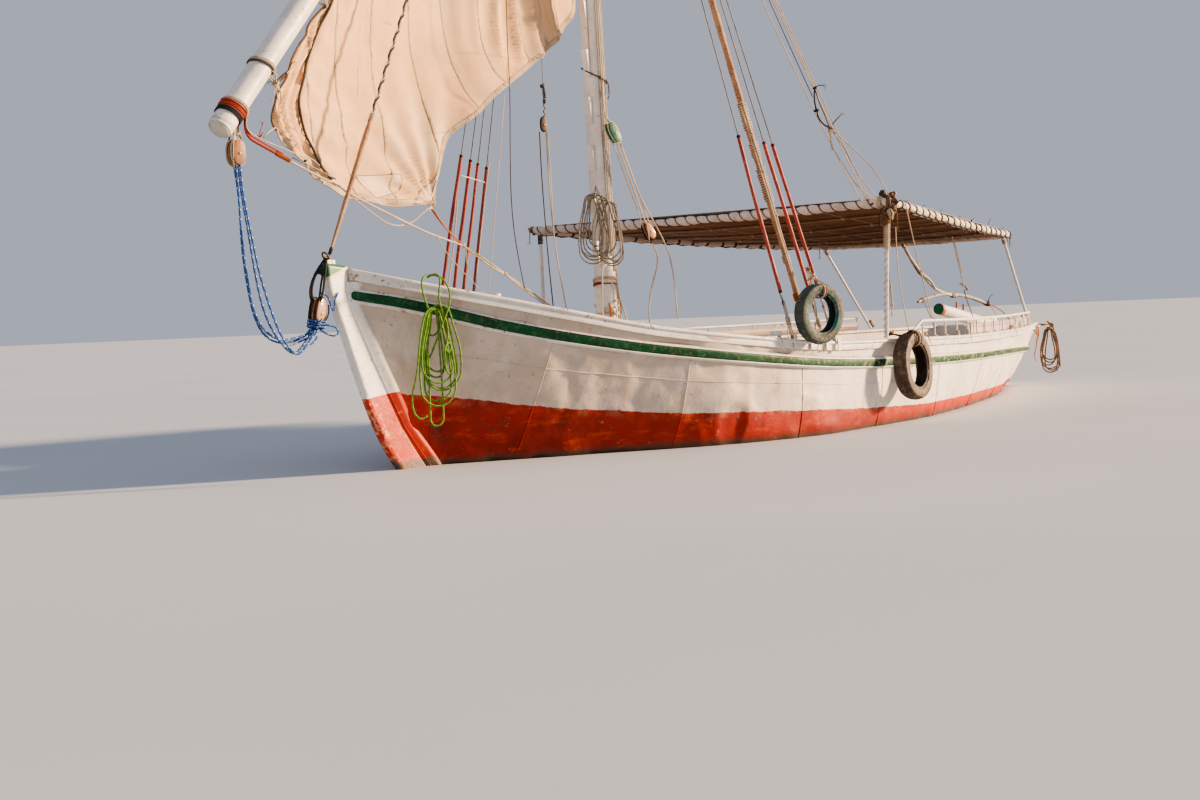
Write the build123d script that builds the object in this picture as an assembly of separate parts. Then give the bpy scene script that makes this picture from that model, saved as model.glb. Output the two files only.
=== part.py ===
from build123d import *
import math
import os

# River felucca, 13 m class, steel hull, lateen rig with the sail half loosed.
# Millimetres. +X to the bow, +Y to port, +Z up.
# Origin: on the centreline amidships, at the level of the water that the boat floats in.

os.makedirs("parts", exist_ok=True)

# ------------------------------------------------------------------ driving sizes
SHELL = 35.0          # hull side, plate and frames together
CAP = 35.0            # height of the rail cap on top of the shell
KEEL_W = 80.0         # keel, stem and sternpost thickness
MAST_X, MAST_RAKE = 3070.0, 0.029
MAST_TOP = 8700.0
MAST_R0, MAST_R1 = 110.0, 72.0
MAST_FOOT = 800.0
YARD_Y = -200.0       # the yard lies on the starboard side of the mast
YARD_HEEL = (7723.0, 2660.0)      # x, z of the lower end
YARD_DIR = (-0.6669, 0.7451)      # x, z of the unit vector up the yard
YARD_LEN = 15000.0
YARD_R = (93.0, 88.0, 38.0)       # radius at the heel, at the mast, at the peak
YARD_HANG = 6640.0                # from the heel to the mast, along the yard
SHROUD_TOP_Z = 8600.0
LUG_Y = 95.0
DECK_DROP = 110.0     # deck below the top of the shell
BENCH_Z = 560.0
FLOOR_Z = 60.0
NOTCH_Y, NOTCH_Z = 270.0, 690.0    # half width and sill of the notch in the transom
CORNERS = dict(front=(1330.0, 2150.0, 2160.0), rear=(-3900.0, 1290.0, 1990.0))

# hull sections: x, then y and z of keel edge, garboard, bilge, side and sheer
STATIONS = [
    # x,      zk,    yg,   zg,    yc,   zc,    yw,   zw,    ys,   zs
    (6690,  1335,   42, 1400,    45, 1465,    48, 1530,    54, 1588),
    (6450,   890,   78, 1010,   128, 1160,   195, 1320,   300, 1510),
    (6130,   346,  110,  560,   200,  790,   325, 1080,   530, 1425),
    (5700,  -150,  150,   60,   300,  360,   500,  760,   810, 1318),
    (5200,  -410,  300, -180,   520,   80,   790,  560,  1115, 1195),
    (4500,  -540,  540, -370,   900,  -80,  1150,  400,  1450, 1045),
    (3600,  -620,  870, -470,  1470, -170,  1680,  200,  1800,  925),
    (2300,  -680, 1150, -540,  1830, -250,  2010,  100,  2050,  825),
    ( 800,  -710, 1250, -570,  1830, -280,  2030,   80,  2115,  805),
    (-900,  -690, 1150, -550,  1640, -280,  1830,   60,  2040,  790),
    (-2600, -610,  960, -460,  1330, -200,  1510,  100,  1790,  797),
    (-4200, -440,  680, -300,   980,  -80,  1120,  180,  1415,  812),
    (-5400, -200,  480,  -90,   650,   60,   760,  260,  1035,  822),
    (-6250,   40,  330,   90,   480,  170,   560,  320,   755,  830),
]
RAKE_AFT = 0.27       # the transom leans aft by this much of its height


def st_x(i, z):
    s = STATIONS[i]
    if i == len(STATIONS) - 1:
        return s[0] + 140 - (z - s[1]) * RAKE_AFT
    return float(s[0])


def side_pts(i):
    s = STATIONS[i]
    return [(KEEL_W / 2, s[1]), (s[2], s[3]), (s[4], s[5]), (s[6], s[7]), (s[8], s[9])]


def y_at(i, z, inner=False):
    p = side_pts(i)
    off = SHELL if inner else 0.0
    if z <= p[0][1]:
        return p[0][0] - off
    for (y0, z0), (y1, z1) in zip(p, p[1:]):
        if z <= z1:
            return y0 + (y1 - y0) * (z - z0) / (z1 - z0) - off
    (y0, z0), (y1, z1) = p[-2], p[-1]
    return y1 + (y1 - y0) * (z - z1) / (z1 - z0) - off


def wire(points):
    return Wire.make_polygon([Vector(*p) for p in points], close=True)


def ruled(wires):
    return Solid.make_loft(wires, ruled=True)


def rod(p, q, r, r2=None):
    p, q = Vector(*p), Vector(*q)
    d = q - p
    plane = Plane(origin=p, z_dir=d)
    if r2 is None:
        return plane * Cylinder(r, d.length, align=(Align.CENTER, Align.CENTER, Align.MIN))
    return plane * Cone(r, r2, d.length, align=(Align.CENTER, Align.CENTER, Align.MIN))


def sleeve(p, q, r_in, r_out):
    return rod(p, q, r_out) - rod(p, q, r_in)


def block(x0, x1, y0, y1, z0, z1):
    return Pos((x0 + x1) / 2, (y0 + y1) / 2, (z0 + z1) / 2) * Box(abs(x1 - x0), abs(y1 - y0), abs(z1 - z0))


def plate_xz(points, y0, y1):
    f = Face(wire([(x, y0, z) for x, z in points]))
    return Solid.extrude(f, Vector(0, y1 - y0, 0))


def save(name, *shapes):
    solids = []
    for s in shapes:
        solids += list(s.solids())
    print(name, len(solids), "solids", round(sum(s.volume for s in solids) / 1e9, 5), "m3")
    export_step(solids[0] if len(solids) == 1 else Compound(children=solids), f"parts/{name}.step")


def lerp3(a, b, t):
    return tuple(a[k] + (b[k] - a[k]) * t for k in range(3))


def mast_x(z):
    return MAST_X + MAST_RAKE * z


def mast_r(z):
    return MAST_R0 + (MAST_R1 - MAST_R0) * (z - MAST_FOOT) / (MAST_TOP - MAST_FOOT)


N = len(STATIONS)

# ------------------------------------------------------------------ hull shell
outer = []
for i in range(N):
    p = side_pts(i)
    ring = [(st_x(i, z), y, z) for y, z in p] + [(st_x(i, z), -y, z) for y, z in reversed(p)]
    outer.append(wire(ring))
inner = []
for i in range(1, N):
    p = side_pts(i)
    dx = 60 if i == N - 1 else 0
    lift = [40, 28, 12, 0, 0]
    q = [(max(y - SHELL, 12.0), z + lift[k]) for k, (y, z) in enumerate(p)]
    q[4] = (y_at(i, p[4][1] + 150, True), p[4][1] + 150)
    q[0] = (12.0, q[0][1])
    ring = [(st_x(i, z) + dx, y, z) for y, z in q] + [(st_x(i, z) + dx, -y, z) for y, z in reversed(q)]
    inner.append(wire(ring))
hull = ruled(outer) - ruled(inner)
# notch in the transom that the tiller swings through
notch = block(-6600, -6200, -NOTCH_Y, NOTCH_Y, NOTCH_Z, 1100)
save("hull_shell", hull - notch)

# ------------------------------------------------------------------ stem, keel and sternpost
stem_front = [(6923, 1666), (6892, 1467), (6825, 1315), (6672, 928), (6531, 588), (6379, 285),
              (6185, 17), (5990, -175), (5700, -360), (5200, -520)]
stem_rear = [(5200, -410), (5700, -150), (6130, 346), (6450, 890), (6690, 1335), (6690, 1640)]
save("stem_bar", plate_xz(stem_front + stem_rear, -KEEL_W / 2, KEEL_W / 2))
keel_low = [(5195, -520), (3600, -730), (2300, -790), (800, -820), (-900, -820), (-2600, -820), (-4200, -810)]
post = [(st_x(N - 1, -800) - 70, -800), (st_x(N - 1, NOTCH_Z - 2) - 70, NOTCH_Z - 2), (st_x(N - 1, NOTCH_Z - 2), NOTCH_Z - 2), (st_x(N - 1, 40), 40)]
keel_top = [(s[0], s[1]) for s in reversed(STATIONS) if -5500 < s[0] <= 4600]
keel_pts = keel_low + post + keel_top + [(5195, -411)]
save("keel", plate_xz(keel_pts, -KEEL_W / 2, KEEL_W / 2))

# ------------------------------------------------------------------ rail cap and rub strake
caps, strakes = [], []
# z of the top edge of the green strake at each station
STRAKE_Z = [1455, 1400, 1312, 1180, 1055, 925, 805, 692, 640, 618, 610, 585, 555, 530]
STRAKE_H = [78, 80, 82, 84, 84, 82, 80, 76, 74, 72, 70, 68, 66, 64]
for side in (1, -1):
    sec = []
    for i in range(N):
        s = STATIONS[i]
        z0 = s[9]
        x = st_x(i, z0)
        yi, yo = max(s[8] - 62, 5), s[8] + 28
        sec.append(wire([(x, side * yi, z0), (x, side * yo, z0), (x, side * yo, z0 + CAP), (x, side * yi, z0 + CAP)]))
    caps.append(ruled(sec))
    sec = []
    for i in range(N):
        zt, zb = STRAKE_Z[i], STRAKE_Z[i] - STRAKE_H[i]
        yt, yb = y_at(i, zt) + 3, y_at(i, zb) + 3
        sec.append(wire([(st_x(i, zt), side * yt, zt), (st_x(i, zt), side * (yt + 34), zt),
                         (st_x(i, zb), side * (yb + 38), zb), (st_x(i, zb), side * yb, zb)]))
    strakes.append(ruled(sec))
zt = STATIONS[-1][9]
tx = st_x(N - 1, zt)
quarter = [block(tx - 20, tx + 62, s * (NOTCH_Y + 12), s * (755 - 68), zt + 0.5, zt + CAP) for s in (1, -1)]
save("gunwale_rail", caps[0], caps[1], *quarter)
save("rub_strake", *strakes)


# ------------------------------------------------------------------ decks, benches, floor
def deck_loft(idx, drop, thick, ytrim=6.0):
    sec = []
    for i in idx:
        zt = (STATIONS[i][9] - drop) if drop is not None else 0
        zb = zt - thick
        aft = 68 if i == N - 1 else 0
        x, xb = st_x(i, zt) + aft, st_x(i, zb) + aft
        yt, yb = y_at(i, zt, True) - ytrim, y_at(i, zb, True) - ytrim
        sec.append(wire([(x, -yt, zt), (x, yt, zt), (xb, yb, zb), (xb, -yb, zb)]))
    return ruled(sec)


foredeck = deck_loft(list(range(1, 8)), DECK_DROP, 35)
mast_hole = rod((mast_x(500), 0, 500), (mast_x(1100), 0, 1100), MAST_R0 + 6)
save("foredeck", foredeck - mast_hole)
aftdeck = deck_loft([11, 12, 13], DECK_DROP, 35)
save("aft_deck", aftdeck)

BENCH_IN = {7: 1340, 8: 1340, 9: 1260, 10: 1030, 11: 760}
X_FORE, X_AFT = 2300.0 - 32, -4200.0 + 32     # ends of the well, inside its two bulkheads


def bench(side):
    sec = []
    for i in range(7, 12):
        x = STATIONS[i][0]
        x = min(max(x, X_AFT + 1), X_FORE - 1)
        yo, yo2 = y_at(i, BENCH_Z, True) - 8, y_at(i, BENCH_Z - 35, True) - 8
        yb = BENCH_IN[i]
        pts = [(yo, BENCH_Z), (yb, BENCH_Z), (yb, FLOOR_Z + 1), (yb + 30, FLOOR_Z + 1), (yb + 30, BENCH_Z - 35), (yo2, BENCH_Z - 35)]
        sec.append(wire([(x, side * y, z) for y, z in pts]))
    return ruled(sec)


save("bench_port", bench(1))
save("bench_starboard", bench(-1))

sec = []
for i in range(7, 12):
    x = min(max(STATIONS[i][0], X_AFT + 1), X_FORE - 1)
    yb = BENCH_IN[i] + 28
    sec.append(wire([(x, -yb, FLOOR_Z), (x, yb, FLOOR_Z), (x, yb, FLOOR_Z - 30), (x, -yb, FLOOR_Z - 30)]))
save("cockpit_floor", ruled(sec))


def bulkhead(i, x0, x1):
    ztop = STATIONS[i][9] - DECK_DROP - 36
    y1, y0 = y_at(i, ztop, True) - 12, y_at(i, 40, True) - 14
    f = Face(wire([(x0, -y0, 40), (x0, y0, 40), (x0, y1, ztop), (x0, -y1, ztop)]))
    return Solid.extrude(f, Vector(x1 - x0, 0, 0))


save("bulkheads", bulkhead(7, X_FORE + 1, X_FORE + 29), bulkhead(11, X_AFT - 29, X_AFT - 1))


# cushions on the benches: fore end x, aft end x
CUSHIONS = [(2180, 700), (660, -820), (-860, -2380), (-2420, -3980)]


def bench_y(x):
    idx = [7, 8, 9, 10, 11]
    for a, b in zip(idx, idx[1:]):
        xa, xb = STATIONS[a][0], STATIONS[b][0]
        if xb <= x <= xa:
            t = (x - xa) / (xb - xa)
            yo = y_at(a, BENCH_Z, True) + (y_at(b, BENCH_Z, True) - y_at(a, BENCH_Z, True)) * t
            yi = BENCH_IN[a] + (BENCH_IN[b] - BENCH_IN[a]) * t
            return yi, yo
    return BENCH_IN[7], y_at(7, BENCH_Z, True)


def cushion(x0, x1, side):
    xs = [x0] + [float(s[0]) for s in STATIONS if x1 + 60 < s[0] < x0 - 60] + [x1]
    sec = []
    for x in xs:
        yi, yo = bench_y(x)
        yi, yo = yi - 5, yo - 40
        sec.append(wire([(x, side * yi, BENCH_Z + 2), (x, side * yo, BENCH_Z + 2), (x, side * yo, BENCH_Z + 107), (x, side * yi, BENCH_Z + 107)]))
    return ruled(sec)


save("cushions_port", *[cushion(a, b, 1) for a, b in CUSHIONS])
save("cushions_starboard", *[cushion(a, b, -1) for a, b in CUSHIONS])

# ------------------------------------------------------------------ mast
save("mast", rod((mast_x(MAST_FOOT - 60), 0, MAST_FOOT - 60), (mast_x(MAST_TOP), 0, MAST_TOP), MAST_R0, MAST_R1))
deck_z_mast = 925 - (3600 - MAST_X) / 1300 * 100 - DECK_DROP
collar = Pos(mast_x(deck_z_mast), 0, deck_z_mast + 19) * (Cylinder(175, 70, align=(Align.CENTER, Align.CENTER, Align.MIN)))
collar = collar - rod((mast_x(500), 0, 500), (mast_x(1200), 0, 1200), MAST_R0 + 1.5)
save("mast_collar", collar)
steps = []
for k in range(16):
    z = 1440 + 450 * k - 0
    if z > 8300:
        break
    r = mast_r(z - 240)
    x = mast_x(z) + r + 1.5
    prof = [(x, z), (x + 48, z), (x + 5, z - 240), (mast_x(z - 240) + r + 1.5, z - 240)]
    steps.append(plate_xz(prof, -32, 32))
save("mast_steps", *steps)
rt = mast_r(SHROUD_TOP_Z - 60)
xb = mast_x(SHROUD_TOP_Z)
band = sleeve((mast_x(SHROUD_TOP_Z - 50), 0, SHROUD_TOP_Z - 50), (mast_x(SHROUD_TOP_Z + 30), 0, SHROUD_TOP_Z + 30), rt + 0.6, rt + 13)
lugs = block(xb + rt + 5, xb + rt + 52, -8, 8, SHROUD_TOP_Z - 30, SHROUD_TOP_Z + 15)
lugs += block(xb - rt - 52, xb - rt - 5, -8, 8, SHROUD_TOP_Z - 30, SHROUD_TOP_Z + 15)
for s in (1, -1):
    lugs += block(xb - 30, xb + 30, s * (rt + 5), s * (rt + 42), SHROUD_TOP_Z + 4, SHROUD_TOP_Z + 16)
truck = Pos(mast_x(MAST_TOP), 0, MAST_TOP + 3) * Cylinder(88, 26, align=(Align.CENTER, Align.CENTER, Align.MIN))
save("masthead_band", band + lugs, truck)

# ------------------------------------------------------------------ standing rigging
stay_top = (xb + rt + 40, 0, SHROUD_TOP_Z - 36)
stay_foot = (6865, 0, 1700)
save("forestay", rod(stay_foot, stay_top, 7))
L = math.dist(stay_foot, stay_top)
save("forestay_sleeve", sleeve(lerp3(stay_foot, stay_top, 60 / L), lerp3(stay_foot, stay_top, 1230 / L), 9, 20))
save("stem_shackle", plate_xz([(6800, 1660), (6840, 1662), (6880, 1664), (6880, 1690), (6850, 1696), (6800, 1690)], -9, 9))


def rail_at(x):
    for a, b in zip(range(N), range(1, N)):
        xa, xb_ = st_x(a, STATIONS[a][9]), st_x(b, STATIONS[b][9])
        if xb_ <= x <= xa:
            t = (x - xa) / (xb_ - xa)
            return tuple(STATIONS[a][k] + (STATIONS[b][k] - STATIONS[a][k]) * t for k in (8, 9))
    return STATIONS[-1][8], STATIONS[-1][9]


# shrouds: foot x, wire radius, sleeve radius (0 = none)
SHROUDS = {
    "port": (1, [(3000, 6, 17), (2770, 13, 0), (2550, 6, 17), (2380, 6, 17)]),
    "starboard": (-1, [(3550, 6, 15), (3280, 6, 15), (3070, 6, 15), (2830, 6, 17)]),
}
for name, (side, rows) in SHROUDS.items():
    wires, tubes, lanyards, plates = [], [], [], []
    for k, (x, r, rs) in enumerate(rows):
        ys, zs = rail_at(x)
        top = (xb + 22 - 15 * k, side * (rt + 30), SHROUD_TOP_Z + 0)
        foot = (x, side * (ys - 8), zs + CAP + 10)
        ln = math.dist(foot, top)
        lanyards.append(rod(foot, lerp3(foot, top, 330 / ln), 15))
        if r > 10:
            # the one that is served with line over its whole length
            a, b, c = (lerp3(foot, top, d / ln) for d in (333, 1500, ln - 500))
            wires.append(rod(a, b, 26, 31) + rod(b, c, 31, 20) + rod(c, top, 12))
        else:
            wires.append(rod(lerp3(foot, top, 333 / ln), top, r))
        if rs:
            tubes.append(sleeve(lerp3(foot, top, 420 / ln), lerp3(foot, top, 1900 / ln), r + 1, rs))
        plates.append(block(x - 25, x + 25, side * (ys + 45), side * (ys + 55), zs - 60, zs + CAP + 25))
    save(f"{name}_shrouds", *wires)
    save(f"{name}_shroud_sleeves", *tubes)
    save(f"{name}_lanyards", *lanyards)
    save(f"{name}_chainplates", *plates)

# ------------------------------------------------------------------ awning
fx, fy, fz = CORNERS["front"]
rx, ry, rz = CORNERS["rear"]
MAT_T = 28
under = [(fx, -fy, fz), (fx, fy, fz), (rx, ry, rz), (rx, -ry, rz)]
f = Face(wire(under))
save("awning_mat", Solid.extrude(f, Vector(0, 0, MAT_T)))
TR = 28
rails = [
    rod((fx + TR + 2, -fy - 20, fz + 10), (fx + TR + 2, fy + 20, fz + 10), TR),
    rod((rx - TR - 2, -ry - 20, rz + 10), (rx - TR - 2, ry + 20, rz + 10), TR),
]
dx, dy, dz = rx - fx, ry - fy, rz - fz
ll = math.hypot(dx, dy)
for s in (1, -1):
    ox, oy = -dy / ll * (TR + 3) * 1, abs(dx) / ll * (TR + 3)
    a = (fx - 12, fy + oy - 2, fz + 8)
    b = (rx + 12, ry + oy + 6, rz + 8)
    rails.append(rod((a[0], s * a[1], a[2]), (b[0], s * b[1], b[2]), TR))
save("awning_frame", *rails)
posts = []
for s in (1, -1):
    ys, zs = rail_at(fx + 10)
    posts.append(rod((fx + 10, s * (ys - 20), zs + CAP + 6), (fx - 20, s * (fy - 42), fz - 24), 19))
    ys, zs = rail_at(-5000)
    posts.append(rod((-5000, s * (ys - 20), zs + CAP + 16), (rx + 12, s * (ry - 40), rz - 24), 17))
save("awning_posts", *posts)

# ------------------------------------------------------------------ stern rails
RAIL_X = [560, 0, -900, -1800, -2600, -3400, -4200, -4760]
BALUSTERS = [560, 215, -85, -425, -750, -1100, -1470, -1880, -2310, -2750, -3180, -3560, -3950, -4360, -4760]
RAIL_H = 165
stanchions = []
for side, name in ((1, "port"), (-1, "starboard")):
    pts = []
    for x in RAIL_X:
        ys, zs = rail_at(x)
        pts.append((x, side * (ys - 4), zs + CAP + RAIL_H))
    shape = None
    for a, b in zip(pts, pts[1:]):
        seg = rod(a, b, 15)
        shape = seg if shape is None else shape + seg
        shape += Pos(*b) * Sphere(15)
    ys, zs = rail_at(900)
    shape += rod((900, side * (ys - 4), zs + CAP + 16), pts[0], 14)
    shape += Pos(*pts[0]) * Sphere(15)
    for x in BALUSTERS:
        ys, zs = rail_at(x)
        dx = 12 if x == BALUSTERS[0] else 0
        stanchions.append(rod((x - dx, side * (ys - 4), zs + CAP + 3), (x - dx, side * (ys - 4), zs + CAP + RAIL_H - 20), 9))
    save(f"stern_rail_{name}", shape)
save("stern_balusters", *stanchions)

# ------------------------------------------------------------------ rudder, hung on the raked sternpost
ax0 = (st_x(N - 1, 0) - 70 - 34, 0.0, 0.0)                       # a point on the pintle axis
axd = Vector(-RAKE_AFT, 0, 1).normalized()


def on_axis(z):
    return (ax0[0] - RAKE_AFT * z, 0.0, z)


blade = [(on_axis(-760)[0] - 38, -760), (on_axis(735)[0] - 38, 735), (-6640, 735), (-6700, 500), (-7150, 0), (-7240, -420), (-7080, -760)]
save("rudder_blade", plate_xz(blade, -26, 26))
cheeks = []
for s in (1, -1):
    y0, y1 = sorted((s * 27, s * 62))
    cheeks.append(plate_xz([(on_axis(480)[0] - 20, 480), (on_axis(700)[0] - 20, 700), (on_axis(720)[0] + 40, 720), (on_axis(940)[0] + 40, 940), (-6655, 940), (-6690, 480)], y0, y1))
save("rudder_cheeks", *cheeks)
pint, gud = [], []
for z in (-430, 60, 550):
    p = on_axis(z)
    a, b = on_axis(z - 45), on_axis(z + 75)
    pint.append(rod(a, b, 14) + plate_xz([(p[0] - 16, z + 40), (p[0] - 47, z + 40), (p[0] - 57, z + 74), (p[0] - 26, z + 74)], -14, 14))
    ring = sleeve(on_axis(z - 35), on_axis(z + 25), 15.5, 27)
    arm = plate_xz([(p[0] + 24 + RAKE_AFT * 30, z - 30), (p[0] + 33 + RAKE_AFT * 30, z - 30), (p[0] + 33 - RAKE_AFT * 20, z + 20), (p[0] + 24 - RAKE_AFT * 20, z + 20)], -20, 20)
    gud.append(ring + arm)
save("rudder_pintles", *pint)
save("rudder_gudgeons", *gud)
till_a, till_b = (-6640.0, 0.0, 820.0), (-4711.0, 0.0, 1106.0)
till = rod(till_a, till_b, 92, 75)
hole = block(-6800, -6360, -120, -26.5, 500, 1200) + block(-6800, -6360, 26.5, 120, 500, 1200)
hole += block(-6800, -6370, -120, 120, 500, 737)
save("tiller", till - hole)
pegs = []
for x in (-5330, -5560):
    t = (x - till_a[0]) / (till_b[0] - till_a[0])
    z = till_a[2] + (till_b[2] - till_a[2]) * t + 92 + (75 - 92) * t
    pegs.append(rod((x, 0, z + 5), (x, 0, z + 97), 17, 13))
save("tiller_pegs", *pegs)

# ------------------------------------------------------------------ yard and sail


def yard_pt(s, off=0.0, y=YARD_Y):
    # s along the yard from the heel; off is perpendicular, down and aft
    return (YARD_HEEL[0] + YARD_DIR[0] * s - YARD_DIR[1] * off, y, YARD_HEEL[1] + YARD_DIR[1] * s + YARD_DIR[0] * off)


yard = rod(yard_pt(0), yard_pt(YARD_HANG), YARD_R[0], YARD_R[1]) + rod(yard_pt(YARD_HANG), yard_pt(YARD_LEN), YARD_R[1], YARD_R[2])
save("yard", yard)
# loose part of the sail: z, x at the leech, x at the luff, depth of the belly to starboard
SAIL = [
    (2190, 5330, 6150, 30),
    (2330, 5270, 6640, 60),
    (2700, 5080, 7090, 120),
    (3150, 4500, 6960, 190),
    (3550, 3790, 6690, 240),
    (3950, 3190, 6380, 260),
    (4300, 2990, 6060, 260),
    (5200, 2900, 5260, 220),
    (6200, 2960, 4360, 140),
    (7000, 3080, 3640, 60),
]
CLOTH = 18.0
secs = []
for z, xl, xf, d in SAIL:
    n = 5
    front, back = [], []
    for k in range(n + 1):
        u = k / n
        x = xl + (xf - xl) * u
        y = YARD_Y - 20 - d * math.sin(math.pi * min(u * 1.0, 1.0))
        front.append((x, y + CLOTH / 2, z))
        back.append((x, y - CLOTH / 2, z))
    secs.append(wire(front + list(reversed(back))))
save("sail", ruled(secs))
# gathered part, tied along the upper yard: a turned shape about a line below the yard
# s along the yard, radius
FURL = [(6960.0, 40.0), (7080.0, 84.0), (7600.0, 116.0), (9500.0, 100.0), (12000.0, 74.0), (14300.0, 48.0), (14700.0, 20.0)]


def yard_r(s):
    if s < YARD_HANG:
        return YARD_R[0] + (YARD_R[1] - YARD_R[0]) * s / YARD_HANG
    return YARD_R[1] + (YARD_R[2] - YARD_R[1]) * (s - YARD_HANG) / (YARD_LEN - YARD_HANG)


furl_a, furl_b = Vector(*yard_pt(6900, 212)), Vector(*yard_pt(14700, 98))
furl_plane = Plane(origin=furl_a, x_dir=Vector(0, 1, 0), z_dir=furl_b - furl_a)
prof = [(0, FURL[0][0] - 6900)] + [(r, s - 6900) for s, r in FURL] + [(0, FURL[-1][0] - 6900)]
turned = Solid.revolve(Face(wire([(r, 0, h) for r, h in prof])), 360, Axis.Z)
save("sail_furled", furl_plane * turned)
save("heel_block", plate_xz([(7520, 2405), (7625, 2405), (7640, 2560), (7560, 2580), (7500, 2540)], YARD_Y - 65, YARD_Y + 65))

# ------------------------------------------------------------------ deck gear
bitts = block(5150, 5230, -420, 420, 1215, 1275)
for s in (1, -1):
    bitts += Pos(5190, s * 300, 1101) * Cylinder(54, 179, align=(Align.CENTER, Align.CENTER, Align.MIN))
    bitts += Pos(5190, s * 300, 1280) * Cylinder(45, 121, align=(Align.CENTER, Align.CENTER, Align.MIN))
save("bow_bitts", bitts)
ys, zs = rail_at(3170)
save("rail_chock", block(3120, 3230, ys - 50, ys + 12, zs + CAP + 7, zs + CAP + 52))


def tyre(center, r_out, r_in, width, tilt):
    w, c = width / 2, 22
    prof = [(r_in, -w + c), (r_in + 10, -w), (r_out - c - 12, -w), (r_out, -w + c + 6), (r_out, w - c - 6), (r_out - c - 12, w), (r_in + 10, w), (r_in, w - c)]
    f = Face(wire([(r, 0, h) for r, h in prof]))
    t = Solid.revolve(f, 360, Axis.Z)
    return Pos(*center) * Rot(0, 0, tilt) * Rot(-90, 0, 0) * t


save("tyre_fender_fore", tyre((2845, 2128, 1118), 272, 165, 128, -12))
save("tyre_fender_aft", tyre((1190, 2275, 572), 332, 208, 150, 4))

# arched pole lashed along the port quarter
pole_pts = [(-560, 1560, 1195), (-1300, 1535, 1262), (-2050, 1510, 1240), (-2860, 1480, 1122)]
pole = None
for a, b in zip(pole_pts, pole_pts[1:]):
    c = rod(a, b, 20)
    pole = c if pole is None else pole + c
    pole += Pos(*b) * Sphere(20)
save("boat_pole", pole)

# halyard blocks on the port side of the mast, and the block at the stem
save("halyard_blocks", Pos(3175, 195, 2900) * Box(95, 95, 200), Pos(2720, 255, 1980) * Box(85, 85, 160))
save("stem_block", Pos(7010, 0, 1285) * Rot(0, 8, 0) * Box(105, 110, 230))

# ------------------------------------------------------------------ ropes that hang free
# hank of green rope over the port bow rail, coil on the mast, hank at the stern corner


def hank(center, yaw, wide, tall, thick):
    body = Box(wide, thick, tall)
    body = fillet(body.edges().filter_by(Axis.Y), min(wide, tall) * 0.42)
    return Pos(*center) * Rot(0, 0, yaw) * body


save("green_rope_hank", hank((6306, 567, 955), -33, 440, 1180, 90))
save("mast_rope_hank", hank((3310, 105, 2010), 125, 440, 770, 110))
save("stern_rope_hank", hank((-6455, 885, 480), -60, 270, 700, 110))

# the four parts of the slack tackle from the yard's heel to the stem: x, y, z
TACKLE = [
    [(7552, -250, 2402), (7536, -240, 2240), (7540, -226, 2080), (7556, -210, 1920), (7566, -194, 1760), (7564, -176, 1600), (7556, -158, 1440), (7538, -140, 1290), (7490, -121, 1160), (7410, -104, 1092), (7318, -90, 1066), (7227, -76, 1073), (7150, -62, 1092), (7092, -52, 1118), (7050, -48, 1160)],
    [(7568, -215, 2402), (7566, -203, 2240), (7574, -190, 2080), (7588, -176, 1920), (7590, -160, 1760), (7584, -144, 1600), (7576, -128, 1440), (7556, -110, 1300), (7505, -92, 1190), (7440, -74, 1125), (7360, -56, 1092), (7270, -40, 1094), (7180, -28, 1110), (7100, -20, 1128), (7050, -18, 1160)],
    [(7578, -180, 2402), (7580, -166, 2240), (7572, -148, 2080), (7558, -132, 1917), (7546, -120, 1760), (7530, -110, 1600), (7510, -98, 1440), (7482, -84, 1300), (7430, -66, 1170), (7355, -48, 1062), (7296, -34, 1000), (7240, -16, 980), (7190, -4, 1030), (7140, 4, 1090), (7085, 10, 1125), (7048, 12, 1160)],
    [(7588, -150, 2402), (7594, -134, 2240), (7586, -114, 2080), (7568, -98, 1917), (7548, -84, 1760), (7524, -72, 1600), (7492, -54, 1450), (7452, -38, 1300), (7395, -20, 1140), (7330, 2, 1025), (7280, 20, 978), (7232, 30, 985), (7186, 38, 1038), (7135, 42, 1092), (7085, 44, 1128), (7050, 44, 1160)],
]
TACKLE_R = 9.0
ropes = []
for k, route in enumerate(TACKLE):
    v = [Vector(*p) for p in route]
    radii = []
    for a, b, c in zip(v, v[1:], v[2:]):
        turn = math.radians((b - a).get_angle(c - b))
        radii.append(0.45 * min((b - a).length, (c - b).length) / math.tan(turn / 2))
    print("tackle", k, "radii", [round(r) for r in radii])
    path = FilletPolyline(*[tuple(p) for p in route], radius=radii)
    w = path.wires()[0] if hasattr(path, "wires") else path
    start = Plane(origin=v[0], z_dir=v[1] - v[0])
    tube = sweep(start * Circle(TACKLE_R), path=w)
    print("tackle", k, "length", round(w.length), "volume check", round(tube.volume / (math.pi * TACKLE_R ** 2 * w.length), 4))
    ropes.append(tube)
save("heel_tackle_ropes", *ropes)
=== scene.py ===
import bpy
import bmesh
import math
import numpy as np
from mathutils import Vector, Matrix


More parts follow.
